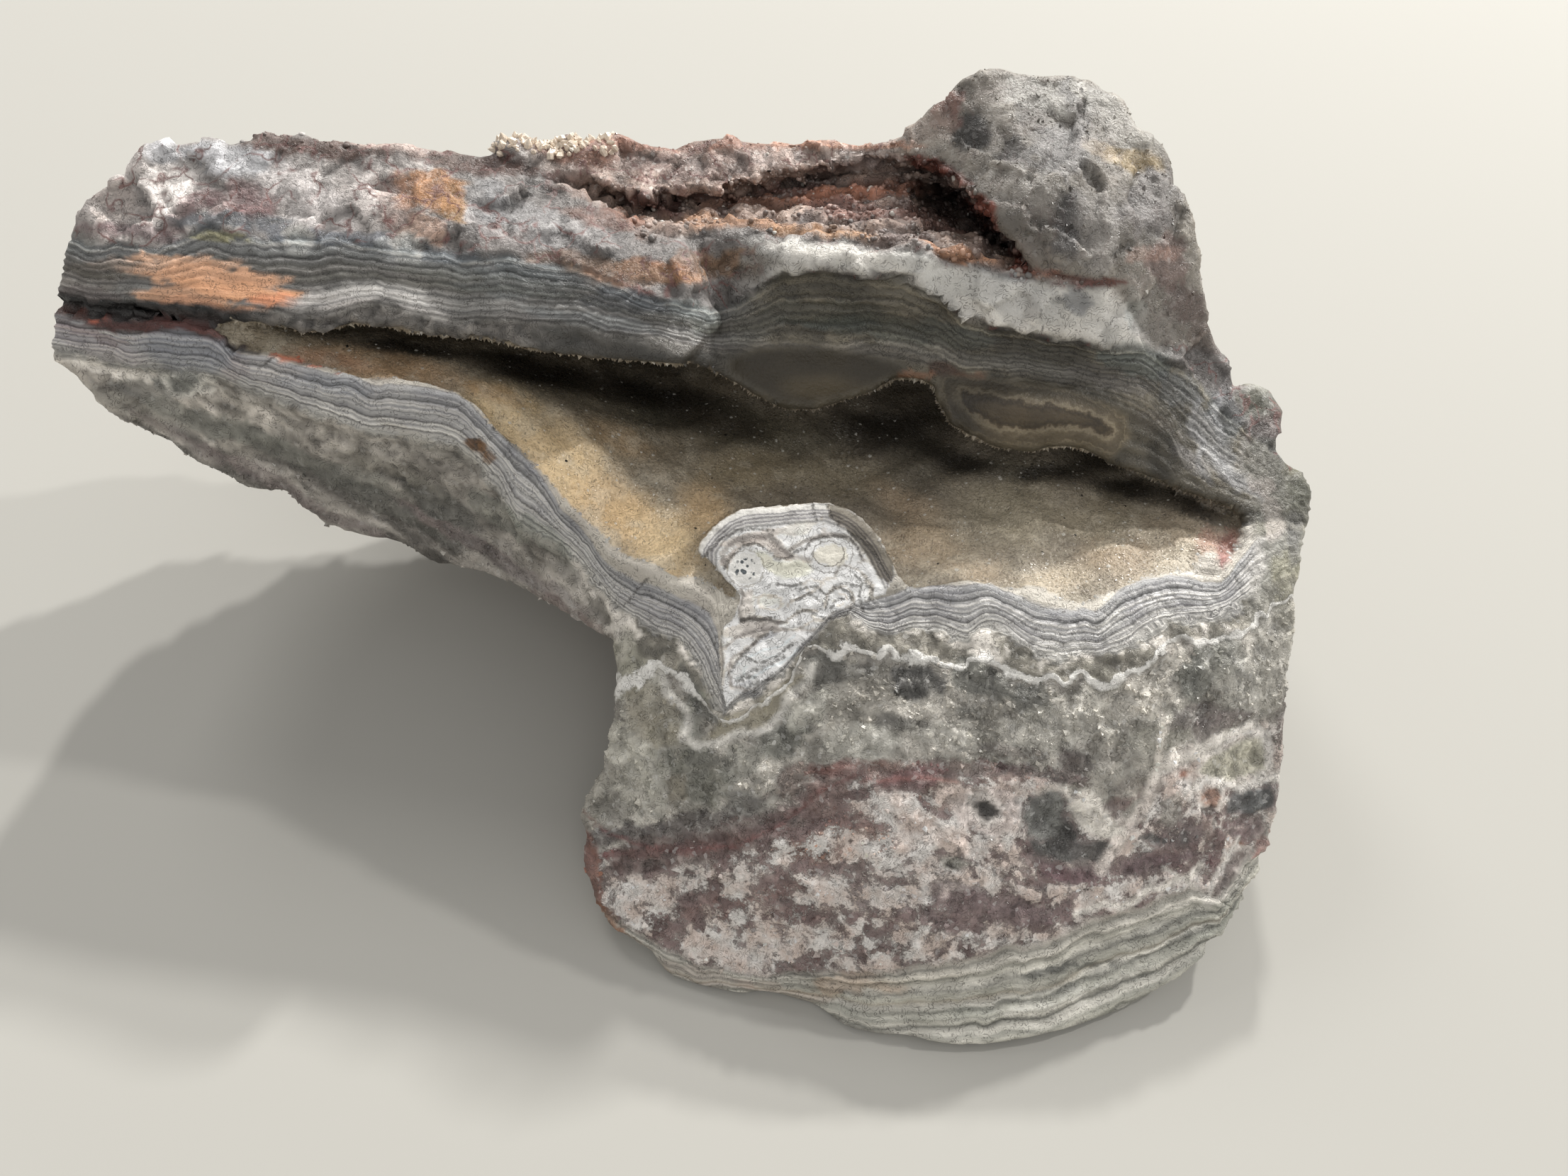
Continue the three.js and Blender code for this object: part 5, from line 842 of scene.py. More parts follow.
# the cut nodule: shells, smooth ovals, crumpled chalk
NODULE_SHAPES = [(P2(a), c, k, r) for a, c, k, r in (
 ([916,717,933,700,957,686,974,684,991,693,1006,705,1015,709,1013,715,991,713,977,698,964,693,945,700,928,727,918,720], (.50,.47,.45), .85, None),
 ([1040,668,1066,664,1084,676,1080,684,1050,684,1030,696,1022,690], (.80,.79,.78), .9, None), ([1056,640,1093,650,1119,674,1136,703,1152,742,1134,744,1118,730,1100,704,1082,678,1058,661], (.39,.375,.35), .95, None),
 ([960,701,977,703,989,717,1015,716,1030,717,1042,727,1030,734,1006,739,991,737,979,729,969,712], (.70,.675,.63), .9, None), ([1030,706,1040,690,1066,686,1090,694,1100,712,1084,728,1060,732,1040,724], (.84,.84,.84), .85, None),
 ([1038,706,1046,696,1064,693,1080,700,1082,712,1070,722,1050,721,1040,714], (.64,.625,.585), .9, None), ([946,754,962,752,984,754,986,770,964,776,946,788], (.64,.62,.60), .8, None), ([968,758,984,756,996,760,996,772,976,776,966,770], (.68,.66,.62), .8, (.90,.88,.85)),
 ([964,777,980,775,996,780,994,789,964,786], (.93,.90,.86), .9, None), ([945,792,996,790,996,804,972,814,950,812], (.60,.58,.565), .85, None), ([933,853,957,829,981,807,1011,805,1045,807,1040,822,1015,843,996,858,977,873,952,877,935,873], (.80,.82,.85), .9, (.55,.53,.51)),
 ([1004,756,1030,742,1060,736,1088,752,1092,776,1060,792,1020,800,1000,786], (.93,.91,.88), .85, None), ([1096,738,1116,744,1128,760,1110,772,1096,760], (.70,.68,.65), .7, None), ([905,800,918,790,930,800,926,850,916,890,908,860], (.62,.60,.57), .7, None))]

# the cut nodule's own markings
NODULE_MARKS = [
 (930,677,44,9,-38,(.90,.89,.86),.9), (985,660,40,8,0,(.89,.88,.85),.85), (1047,652,12,9,0,(.90,.88,.85),.9), (1085,668,26,10,38,(.60,.58,.55),.9), (1112,695,24,9,55,(.58,.56,.53),.9), (1131,724,20,9,65,(.57,.55,.52),.9),
 (957,686,40,6,-14,(.58,.55,.53),.8), (1000,692,14,12,0,(.62,.60,.58),.7), (1025,674,26,8,-5,(.58,.57,.55),.75), (1000,722,28,12,8,(.70,.67,.62),.8), (972,711,12,9,0,(.69,.66,.61),.7), (1057,706,17,13,0,(.64,.62,.58),.9),
 (1078,722,30,18,30,(.78,.78,.78),.6), (965,775,20,22,0,(.62,.60,.58),.8), (985,764,20,10,0,(.60,.56,.50),.6), (985,778,14,5,8,(.92,.89,.85),.85), (957,803,30,9,-8,(.62,.60,.58),.85), (975,855,44,28,-35,(.82,.84,.87),.85),
 (1010,825,30,14,-30,(.72,.73,.76),.7), (929,900,14,14,0,(.80,.80,.80),.7), (914,850,8,34,0,(.56,.54,.51),.75), (1066,768,26,24,0,(.88,.86,.83),.8), (1022,784,30,15,0,(.87,.85,.82),.8), (1108,752,20,16,40,(.70,.68,.65),.6),
 (1030,745,36,12,0,(.76,.75,.74),.7), (950,760,14,10,0,(.60,.59,.58),.6)]
# hairline cracks and the dark joints between the nodule's shells
CRACKS = [P2(a) for a in (
 [944,790,958,791,988,788], [1036,642,1038,653,1042,666], [1054,643,1061,661], [986,807,967,814,957,826,940,843,933,856], [924,726,933,710,950,696,964,693,981,703,991,713,1006,713,1015,704,1028,700,1035,690,1049,686,1066,684,1083,686,1093,698,1099,712],
 [899,709,916,690,940,677,964,675,986,677], [1081,678,1103,693,1117,710,1132,734,1137,742], [1054,775,1057,756,1069,749,1083,756,1088,771,1079,785,1054,790,1046,787], [1015,766,1035,757,1049,770], [1013,783,1030,778,1044,787],
 [1086,729,1098,741,1096,761,1101,779], [940,868,958,856,978,850,1000,838], [948,884,960,872,986,866], [826,738,812,752,795,776], [940,870,960,862,968,872,960,884], [975,845,990,838,1010,822], [950,838,966,846,984,842], [1020,752,1042,748,1052,758], [990,745,1010,748,1022,744], [1062,748,1076,744,1092,748], [1326,384,1330,424], [492,388,496,470],
 [430,302,436,330], [896,300,892,336,903,374], [1420,440,1424,462], [606,560,610,592], [330,470,352,452], [1376,104,1384,128,1380,156,1390,180], [926,715,936,708], [1100,742,1112,752,1108,768], [1060,776,1066,766,1076,764], [497,452,503,478,500,500])]

# pale veins and rims: points, half width, colour, strength
VEINS = [(P2(a), w, c, k) for a, w, c, k in (
 ([841,849,849,881,876,904,879,926,870,939,889,952,914,948,940,936,959,936,978,929,1001,904,1004,888,1030,868,1036,849], 5.0, (.80,.80,.78), .85),
 ([1519,954,1478,986,1465,1018,1452,1040,1430,1059,1423,1078,1404,1110], 7.5, (.84,.79,.76), .85), ([1548,946,1574,935,1599,923,1616,941,1618,979], 5.0, (.92,.90,.88), .9),
 ([1526,1006,1532,996,1558,998,1583,1006,1612,993,1634,990], 5.0, (.92,.90,.88), .9), ([1478,986,1500,972,1526,960,1548,946], 6.0, (.88,.85,.82), .8), ([1580,1069,1564,1098,1548,1120,1542,1146], 3.2, (.88,.86,.84), .8),
 ([1366,1025,1384,1040,1392,1058,1412,1066,1432,1058], 4.2, (.88,.86,.82), .85), ([1322,1012,1342,1002,1360,1008,1366,1025], 3.0, (.84,.80,.76), .7), ([1100,998,1140,994,1180,992,1220,996], 2.4, (.62,.44,.42), .6),
 ([1235,1022,1262,1018,1282,1030,1278,1044,1262,1056,1248,1050,1235,1022], 3.0, (.90,.86,.84), .8), ([1484,1108,1502,1118,1520,1128,1542,1146,1530,1158], 3.4, (.88,.87,.84), .75),
 ([1372,1166,1390,1160,1410,1152,1428,1158,1446,1150,1468,1133,1484,1134,1500,1124,1516,1120,1532,1104], 4.6, (.92,.90,.87), .9),
 ([1560,500,1548,528,1560,552,1548,580,1566,600,1580,624], 4.0, (.84,.85,.88), .75), ([1528,512,1520,540,1536,566,1526,590,1546,616], 3.6, (.78,.79,.82), .7), ([1590,560,1580,588,1596,612], 3.4, (.88,.87,.86), .7),
 ([744,1036,780,1066,850,1086,940,1080,1000,1050,1046,1010,1090,992], 2.6, (.44,.29,.28), .6))]

# dark joints and folds of the cut nodule: points, half width, colour, strength
NODULE_LINES = [(P2(a), w, c, k) for a, w, c, k in (
 ([925,722,921,707,934,692,956,683,982,685,995,696,1008,709,1034,714], 3.4, (.34,.32,.31), .85), ([1010,701,1026,690,1047,683,1078,683,1095,698,1100,714], 3.0, (.28,.26,.25), .85),
 ([1004,773,1010,766,1026,759,1043,751,1052,738,1065,736,1069,725,1078,721], 1.9, (.36,.34,.32), .8), ([1052,773,1054,759,1065,751,1078,747,1087,755,1089,768,1078,779,1065,781,1055,788,1047,792,1037,786], 1.9, (.34,.32,.30), .85),
 ([1065,768,1067,759,1076,757,1080,764,1074,773,1067,773], 1.4, (.40,.38,.36), .7), ([1078,721,1095,725,1104,736,1111,746,1113,764,1122,768], 2.0, (.36,.34,.32), .8), ([1095,718,1104,714,1113,720], 1.8, (.40,.38,.36), .7),
 ([1004,790,1017,781,1034,777,1043,779], 1.8, (.36,.34,.32), .8), ([945,792,960,788,986,792,1004,794], 2.6, (.20,.18,.17), .9), ([925,825,938,814,960,805,986,801,1004,803], 2.2, (.42,.40,.39), .8),
 ([991,807,965,818,947,831,932,842,928,855,932,873], 2.2, (.40,.38,.37), .8), ([932,873,943,877,956,868,954,881,938,890,930,903,917,916], 1.9, (.42,.40,.38), .7), ([956,838,973,829,995,825,1013,812], 1.6, (.58,.60,.63), .7),
 ([960,864,982,851,1004,842,1021,825], 1.6, (.58,.60,.63), .7), ([945,751,947,764,943,777,945,792], 2.0, (.30,.28,.27), .8), ([965,762,973,759,995,762,997,773,986,777,969,775,965,762], 1.6, (.48,.46,.44), .7),
 ([1020,800,1036,792,1052,796,1068,790], 1.6, (.44,.42,.40), .7), ([1090,780,1098,770,1108,772,1118,762], 1.6, (.44,.42,.40), .7), ([1030,752,1024,744,1034,738,1046,742], 1.4, (.46,.44,.42), .7),
 ([1048,660,1052,672,1050,684], 1.6, (.42,.40,.38), .8), ([940,846,952,850,950,862,940,866], 1.5, (.56,.57,.60), .6), ([970,836,980,840,990,836], 1.4, (.56,.57,.60), .6))]

def paint(p, z):
    n = len(p)
    X, Y, L = z["X"], z["Y"], z["L"]
    qxs, qys = X, Y
    _, _, r1, _ = cells(p, 1.25, 401)
    _, _, r2, _ = cells(p, 2.8, 411)
    _, _, r3, _ = cells(p, 0.9, 421)
    big, med, fine = fbm(p, 9, 3, 431), fbm(p, 3.2, 3, 441), fbm(p, 1.0, 2, 451)
    one = np.ones((n, 3))
    def tone(a, b, t):
        return mix(one * lin(a), lin(b)[None, :], t)
    gran = 0.5 + 0.5 * (r1 - 0.5) + 0.4 * (r2 - 0.5) + 0.5 * fine
    col = tone((.54, .51, .50), (.72, .69, .68), 0.5 + 0.9 * med + 0.6 * (r2 - 0.5))
    q = tone((.47, .455, .41), (.71, .69, .645), 0.5 + 0.9 * big + 0.7 * med + 0.22 * (r1 - 0.5) + 0.25 * (r2 - 0.5))
    col = mix(col, q, z["quartz"])
    streak = fbm(np.stack([(0.883 * qxs + 0.469 * qys) * 0.010, (0.883 * qys - 0.469 * qxs) * 0.075, 0 * qxs], 1), 1.0, 4, 461)
    armc = tone((.37, .345, .315), (.72, .68, .64), 0.52 + 1.9 * streak + 0.35 * med + 0.2 * (r1 - 0.5))
    col = mix(col, armc, z["arm"])
    pp = tone((.47, .38, .37), (.84, .79, .77), 0.42 + 1.1 * med + 0.6 * (r1 - 0.5) + 0.4 * fine)
    col = mix(col, pp, z["purple"] * (1 - z["arm"]))
    col = mix(col, tone((.66, .65, .60), (.82, .81, .76), 0.5 + med), z["bottom"])
    col = mix(col, tone((.46, .43, .41), (.68, .65, .62), 0.5 + 0.9 * big + 0.6 * med + 0.2 * (r1 - 0.5)), z["horn"])
    col = mix(col, tone((.68, .69, .69), (.82, .82, .81), 0.5 + med + 0.3 * fine), z["facet"])
    upc = mix(tone((.42, .42, .41), (.56, .55, .54), 0.5 + med), tone((.40, .38, .33), (.62, .59, .52), 0.5 + 1.3 * med + 0.5 * big), sstep(X, 900, 980))
    col = mix(col, upc, z["up"])
    col = mix(col, tone((.61, .605, .61), (.77, .765, .75), 0.5 + med), z["low"])
    white = tone((.80, .78, .75), (.94, .92, .90), 0.6 + fine)
    cc = tone((.44, .43, .39), (.64, .62, .57), 0.5 + fine + med)
    rim = sstep(0.05 - np.abs(L - 4.03), 0, 0.03) * sstep(med, -0.15, 0.0)
    col = mix(col, mix(cc, white, np.maximum(rim, sstep(med, 0.12, 0.22))), z["crust"] * (1 - 0.75 * z["arm"]))
    col = mix(col, tone((.56, .56, .52), (.74, .73, .70), 0.5 + med + 0.6 * (r1 - .5)), z["strip"])
    rust = tone((.42, .36, .345), (.68, .60, .56), 0.5 + 0.8 * med + 0.8 * (r2 - 0.5))
    col = mix(col, rust, z["fiss"])
    col = mix(col, tone((.56, .47, .44), (.78, .71, .69), 0.4 + med + 0.5 * (r1 - .5)), z["crest"])
    col = lay_marks(col, MARKS, X, Y, med + 0.5 * fine)
    vx, vy = z["px"] + 2.5 * z["n3"], z["py"] + 2.5 * z["n2"]
    col = lay_shapes(col, SHAPES, vx + 2 * fine, vy + 2 * med, (z["side"] < 0.9) & (z["slot"] < 0.5), 5.0)
    col = col * (1 + z["purple"] * (0.45 * (r1 - 0.5) + 0.35 * fine))[:, None]
    for line, w1, c, k in VEINS:
        m = (vx > line[:, 0].min() - 12) & (vx < line[:, 0].max() + 12) & (vy > line[:, 1].min() - 12) & (vy < line[:, 1].max() + 12) & (z["side"] < 0.9)
        dv = line_distance(line, vx[m], vy[m])
        col[m] = mix(col[m], lin(c)[None, :], k * sstep(w1 * 1.5 - dv, 0, w1))
    # the dark crust under the upper bands, turning near black toward the left end along the slit: painted shade in the
    # slit
    slitdark = sstep(-X, -345, -300)
    dk = mix(tone((.30, .29, .28), (.58, .56, .54), 0.35 + fine + 0.5 * (r3 - 0.5)), tone((.045, .045, .05), (.30, .29, .29), 0.25 + 0.8 * fine + 0.4 * (r3 - 0.5)), slitdark)
    col = mix(col, dk, 0.9 * z["dark"])
    # grey rather than green or blue
    gy = lum(col)
    cool = np.clip(z["quartz"] + z["horn"] + z["arm"] + z["purple"] * 0.4 + z["slab"] * 0.3 + z["facet"] * 0.6 + z["bottom"] * 0.5 + z["crust"] * 0.4, 0, 0.65) * (1 - sstep(np.clip((col[:, 0] - col[:, 2]) / (col.max(1) + 1e-6), 0, 1), 0.25, 0.5))
    col = mix(col, gy[:, None] * np.array([1.05, 0.995, 0.915]), cool)
    # darker and lighter parts of the face
    level = 1 + z["slab"] * (-0.36 + 0.28 * (1 - sstep(X, 480, 620)) + 0.36 * (1 - sstep(X, 200, 330)) - 0.12 * sstep(X, 520, 620)) + z["low"] * (0.20 - 0.34 * (1 - sstep(X, 300, 400)))
    level = level + z["up"] * (0.07 + 0.22 * sstep(X, 260, 380)) * (1 - sstep(X, 640, 700)) + z["crest"] * 0.14 * (1 - z["horn"]) * sstep(X, 900, 980) - 0.15 * z["strip"]
    level = level - z["arm"] * (1 - z["bottom"]) * (0.20 * sstep(X, 300, 380) + 0.22 * sstep(X, 500, 540)) - z["bottom"] * (0.08 + 0.10 * sstep(X, 1300, 1400) + 0.16 * (1 - sstep(X, 1080, 1140)))
    level = level + 0.15 * z["crest"] * (1 - z["horn"]) - 0.34 * z["up"] - 0.14 * z["up"] * sstep(X, 900, 1000) + 0.30 * z["facet"] - 0.27 * z["horn"] + 0.23 * z["bottom"] + 0.34 * z["arm"] * (1 - z["bottom"]) - 0.14 * z["fiss"] + 0.32 * z["quartz"] * (1 - z["arm"]) + 0.12 * z["purple"]
    warm = np.clip((col[:, 0] - col[:, 2]) / (col.max(1) + 1e-6), 0, 1)
    level = level + 0.40 * z["up"] * sstep(warm, 0.3, 0.7)
    col = col * np.clip(level, 0.3, 1.75)[:, None]
    hue = np.clip(z["horn"] + 0.5 * z["low"] + 0.6 * z["fiss"] + (0.4 + 0.6 * sstep(X, 900, 980)) * z["up"] + 0.3 * z["crust"] + 0.3 * z["facet"], 0, 1)[:, None]
    col = col * (1 + hue * np.array([0.015, -0.015, -0.075]))
    col = col * (1 + (z["crest"] * (1 - z["horn"]))[:, None] * np.array([0.10, 0.0, -0.08]))
    # chalky white of the cut nodule
    chalk = tone((.86, .85, .83), (.94, .93, .91), 0.6 + 0.4 * fine + 0.4 * med)
    chalk = lay_marks(chalk, NODULE_MARKS, z["px"], z["py"], 0.5 * med + 0.4 * fine, 0.4, 0.20)
    chalk = lay_shapes(chalk, NODULE_SHAPES, z["px"] + 3.5 * fbm(p, 0.9, 2, 481), z["py"] + 3.5 * fbm(p, 0.9, 2, 487), z["nodC"] > 0, 2.4)
    m = z["nodC"] > 0
    lx, ly = (z["px"] + 2.2 * fbm(p, 0.8, 2, 491))[m], (z["py"] + 2.2 * fbm(p, 0.8, 2, 493))[m]
    chalk = chalk * 1.06
    for line, w1, c, k in NODULE_LINES:
        chalk[m] = mix(chalk[m], lin(c)[None, :], 0.9 * k * sstep(w1 * 1.6 - line_distance(line, lx, ly), 0, w1))
    col = mix(col, np.clip(chalk * 2.15, 0, 0.97), z["nodC"])
    bx, by = z["px"], z["py"]
    # nodule B: brownish, with painted shade over its upper left, under the roof's lip
    nb = tone((.58, .55, .49), (.68, .65, .59), 0.5 + med)
    nb = nb * np.array([0.65, 0.58, 0.45]) * (0.40 + 0.60 * sstep(bx, 1225, 1300) * sstep(by, 488, 525))[:, None]
    col = mix(col, nb, z["nodB"])
    # nodule A: brownish and dark, partly its own colour and partly painted shade under the roof; lighter toward its
    # middle, painted shade toward its rim
    na = tone((.42, .395, .34), (.52, .495, .44), 0.5 + big + 0.5 * med)
    na = na * np.array([0.45, 0.38, 0.25]) * (0.46 + 0.50 * sstep(1 - np.hypot((bx - 1046) / 70, (by - 494) / 24), 0, 0.8))[:, None]
    col = mix(col, na, z["nodA"])
    # weathered rind on the hidden sides: the layers fade under an earthy crust
    rc = tone((.43, .39, .35), (.63, .59, .54), 0.5 + 0.8 * med + 0.6 * (r2 - 0.5) + 0.5 * (r1 - 0.5) + 0.5 * fine)
    rc = mix(rc, tone((.45, .33, .27), (.58, .44, .35), 0.5 + fine), sstep(big + 0.4 * med, 0.10, 0.32) * 0.7)
    rc = mix(rc, one * lin((.70, .67, .62)), sstep(-big + 0.5 * med + 0.5 * fine, 0.18, 0.42) * 0.5)
    col = mix(col, rc, z["rind"] * np.clip(0.93 + 0.30 * med, 0, 1))
    d = tone((.50, .475, .42), (.56, .53, .465), 0.5 + med)
    d = lay_marks(d, DRUSE_AND_SHADOW, z["dX"], z["dY"], big + 0.25 * med, 0.25, 0.80) * 1.22
    d = mix(d, lum(d)[:, None] * np.array([1.07, 0.985, 0.84]), 0.15 + 0.35 * sstep(z["dX"], 900, 1100))
    d = d * (1 + 0.09 * (1 - sstep(z["dX"], 840, 940))[:, None] + np.array([0.05, -0.01, -0.05]) + 0.16 * sstep(z["dX"], 1150, 1260)[:, None])
    # painted shade: the druse drawn darker deeper into the slot, under the roof
    d = d * (1 - 0.55 * sstep(back, 16, 34))[:, None]
    frost = sstep(fbm(p, 2.4, 3, 471) + 0.55 * np.exp(-np.maximum(0, back) / 2.2), 0.10, 0.55)
    d = mix(d, one * lin((.92, .88, .80)), 0.32 * frost * sstep(lum(d), 0.12, 0.32))
    col = mix(col, d, z["slot"])
    # painted shade in the hollows and painted highlight on the ridges of the fine relief, then a random darker grime
    painted_relief_shade = np.clip((H - average(H, 6)) / 0.22, -1.2, 1.0)
    soft = np.clip(0.20 * (0.6 * z["quartz"] + 0.6 * z["horn"] + z["purple"] + z["fiss"] + z["crest"] + z["rind"]) + 0.22 * (z["slab"] + z["crust"]) + 0.12, 0, 0.34) * (1 - 0.6 * z["slot"])
    col = col * (1 + soft * painted_relief_shade)[:, None]
    grime = 1 - 0.10 * np.clip(-med, 0, 1) - 0.06 * r3
    return col * grime[:, None]

px, py, _, _, w2 = to_sheet(V)
zn["dX"], zn["dY"] = px + 12 * zn["n1"], py + 9 * zn["n2"]
zn["px"], zn["py"] = px, py
tint = paint(V, zn)
side = zn["side"]
bandamt = np.clip(zn["up"] * 0.85 + zn["low"] * 0.92 + zn["bottom"] * 0.90, 0, 1) * (1 - zn["slot"]) * (1 - 0.55 * zn["rind"])
bandamt *= 1 - np.maximum(np.maximum(zn["nodC"], zn["nodB"]), zn["nodA"])
bandamt *= 1 - np.maximum(zn["fiss"], zn["horn"])
bandamt *= (1 - 0.8 * zn["strip"]) * (1 - zn["dark"])
bandamt = bandamt * (1 - 0.3 * (zn["arm"] > 0.5) * (zn["L"] > 4))
rgba = np.concatenate([tint, bandamt[:, None]], 1)

ring = np.full(len(V), 99.0)
m = zn["nodC"] > 0.02
ring[m] = line_distance(NOD_ARC, px[m], py[m]) + 1.5 * zn["n3"][m]
mB = zn["nodB"] > 0.02
ring[mB] = 200 + inside_distance(NODULE_B, px[mB], py[mB])
mA = zn["nodA"] > 0.02
ring[mA] = 300 + inside_distance(NODULE_A, px[mA], py[mA])
grain = np.clip(0.62 * zn["quartz"] + 0.8 * zn["purple"] + 0.22 * zn["horn"] + 0.36 * zn["slab"] + 0.5 * zn["crust"] + 0.4 * zn["rind"] + 0.5 * zn["fiss"] + 0.15 * zn["facet"] + 0.3 * zn["crest"], 0, 1) * (1 - 0.4 * zn["arm"]) * (1 - zn["nodC"])
chalk = np.clip(0.75 * zn["nodC"] + 0.6 * zn["rind"] + 0.4 * zn["fiss"], 0, 1)
bare = (1 - zn["rind"]) * (1 - zn["slot"]) * (1 - zn["nodC"])
sat = (tint.max(1) - tint.min(1)) / (tint.max(1) + 1e-6)
own = np.clip(0.45 + 0.30 * zn["up"] * sstep(zn["X"], 900, 980) + 0.60 * sstep(sat, 0.28, 0.65) + 0.5 * sstep(0.05 - lum(tint), 0, 0.03), 0, 1)
crackd = np.full(len(V), 60.0)
near = (back < 3) & ~inslot
keep = np.zeros(len(V))
for a, c, st, rim in SHAPES:
    m = near & (px > a[:, 0].min() - 12) & (px < a[:, 0].max() + 12) & (py > a[:, 1].min() - 12) & (py < a[:, 1].max() + 12)
    if m.any():
        keep[m] = np.maximum(keep[m], st * sstep(inside_distance(a, px[m] + 2.5 * zn["n3"][m], py[m] + 2.5 * zn["n2"][m]), -8 if rim else -3, 3))
for line, w1, c, k in VEINS:
    keep[near] = np.maximum(keep[near], sstep(w1 * 1.8 - line_distance(line, px[near], py[near]), 0, w1))
for line in CRACKS:
    crackd[near] = np.minimum(crackd[near], line_distance(line, px[near], py[near]))
eye = np.stack([np.hypot(px - 951, py - 725), np.hypot((px - 1057) / 1.25, py - 706), crackd], 1)

stone_ob = make_mesh("agate_stone_skin", V, T, attrs={
    "lay": zn["L"], "ring": ring, "sheet": np.stack([sx * MM, sy * MM, back], 1), "msk": np.stack([grain, chalk, np.clip(zn["slab"] + 0.12 * zn["horn"], 0, 1) * (1 - zn["rind"])], 1),
    "nods": np.stack([zn["nodC"], zn["nodB"], zn["nodA"]], 1), "eye": eye,
    "zon": np.stack([zn["quartz"] * bare * (1 - 0.6 * zn["arm"]) * (1 - 0.6 * keep), zn["purple"] * bare * (1 - 0.65 * zn["arm"]) * (1 - keep), zn["crust"] * bare * (1 - zn["arm"])], 1),
    "how": np.stack([own, zn["slot"], zn["rind"]], 1)}, colors={"tint": rgba})

# ---------------------------------------------------------------------------
# Materials
# ---------------------------------------------------------------------------
class Graph:
    def __init__(self, name):
        self.mat = bpy.data.materials.new(name)
        self.mat.use_nodes = True
        self.nt = self.mat.node_tree
        self.bsdf = self.nt.nodes["Principled BSDF"]
        self.bsdf.inputs["IOR"].default_value = 1.54
    def put(self, sock, v):
        if isinstance(v, bpy.types.NodeSocket):
            self.nt.links.new(v, sock)
        elif v is not None:
            sock.default_value = v
    def attr(self, name, out="Fac"):
        n = self.nt.nodes.new("ShaderNodeAttribute")
        n.attribute_name = name
        return n.outputs[out]
    def math(self, op, a, b=None, c=None, clamp=False):
        n = self.nt.nodes.new("ShaderNodeMath")
        n.operation, n.use_clamp = op, clamp
        for i, v in enumerate((a, b, c)):
            self.put(n.inputs[i], v)
        return n.outputs[0]
    def vmath(self, op, a, b=None, scale=None):
        n = self.nt.nodes.new("ShaderNodeVectorMath")
        n.operation = op
        self.put(n.inputs[0], a)
        self.put(n.inputs[1], b)
        if scale is not None:
            self.put(n.inputs["Scale"], scale)
        return n.outputs[0]
    def mix(self, f, a, b, mode="MIX"):
        n = self.nt.nodes.new("ShaderNodeMix")
        n.data_type, n.blend_type, n.clamp_result = "RGBA", mode, False
        self.put(n.inputs[0], f)
        self.put(n.inputs[6], a if isinstance(a, bpy.types.NodeSocket) else (*a, 1))
        self.put(n.inputs[7], b if isinstance(b, bpy.types.NodeSocket) else (*b, 1))
        return n.outputs[2]
    def remap(self, v, a, b, c=0.0, d=1.0, smooth=False):
        n = self.nt.nodes.new("ShaderNodeMapRange")
        if smooth:
            n.interpolation_type = "SMOOTHSTEP"
        for k, x in zip(range(5), (v, a, b, c, d)):
            self.put(n.inputs[k], x)
        return n.outputs[0]
    def combine(self, x, y, z):
        n = self.nt.nodes.new("ShaderNodeCombineXYZ")
        for k, v in enumerate((x, y, z)):
            self.put(n.inputs[k], v)
        return n.outputs[0]
    def split(self, v):
        n = self.nt.nodes.new("ShaderNodeSeparateXYZ")
        self.put(n.inputs[0], v)
        return n.outputs
    def noise(self, vec, scale, detail=2.0, rough=0.5, distort=0.0):
        n = self.nt.nodes.new("ShaderNodeTexNoise")
        self.put(n.inputs["Vector"], vec)
        n.inputs["Scale"].default_value, n.inputs["Detail"].default_value = scale, detail
        n.inputs["Roughness"].default_value, n.inputs["Distortion"].default_value = rough, distort
        return n.outputs["Fac"]
    def voronoi(self, vec, scale, feature="F1", rand=1.0):
        n = self.nt.nodes.new("ShaderNodeTexVoronoi")
        n.feature = feature
        self.put(n.inputs["Vector"], vec)
        n.inputs["Scale"].default_value, n.inputs["Randomness"].default_value = scale, rand
        return n.outputs
    def ramp(self, f, stops):
        n = self.nt.nodes.new("ShaderNodeValToRGB")
        self.put(n.inputs[0], f)
        e = n.color_ramp.elements
        while len(e) < len(stops):
            e.new(0.5)
        for k, (t, c) in enumerate(stops):
            e[k].position, e[k].color = t, (*[float(q) for q in lin(c)], 1)
        return n.outputs["Color"]
    def mm(self):
        n = self.nt.nodes.new("ShaderNodeTexCoord")
        return self.vmath("SCALE", n.outputs["Object"], scale=1000.0)
    def geo_normal(self):
        return self.nt.nodes.new("ShaderNodeNewGeometry").outputs["Normal"]
    def bump(self, h, dist, strength=1.0, normal=None):
        n = self.nt.nodes.new("ShaderNodeBump")
        n.inputs["Distance"].default_value = dist
        n.inputs["Strength"].default_value = strength
        self.put(n.inputs["Height"], h)
        self.put(n.inputs["Normal"], normal)
        return n.outputs[0]

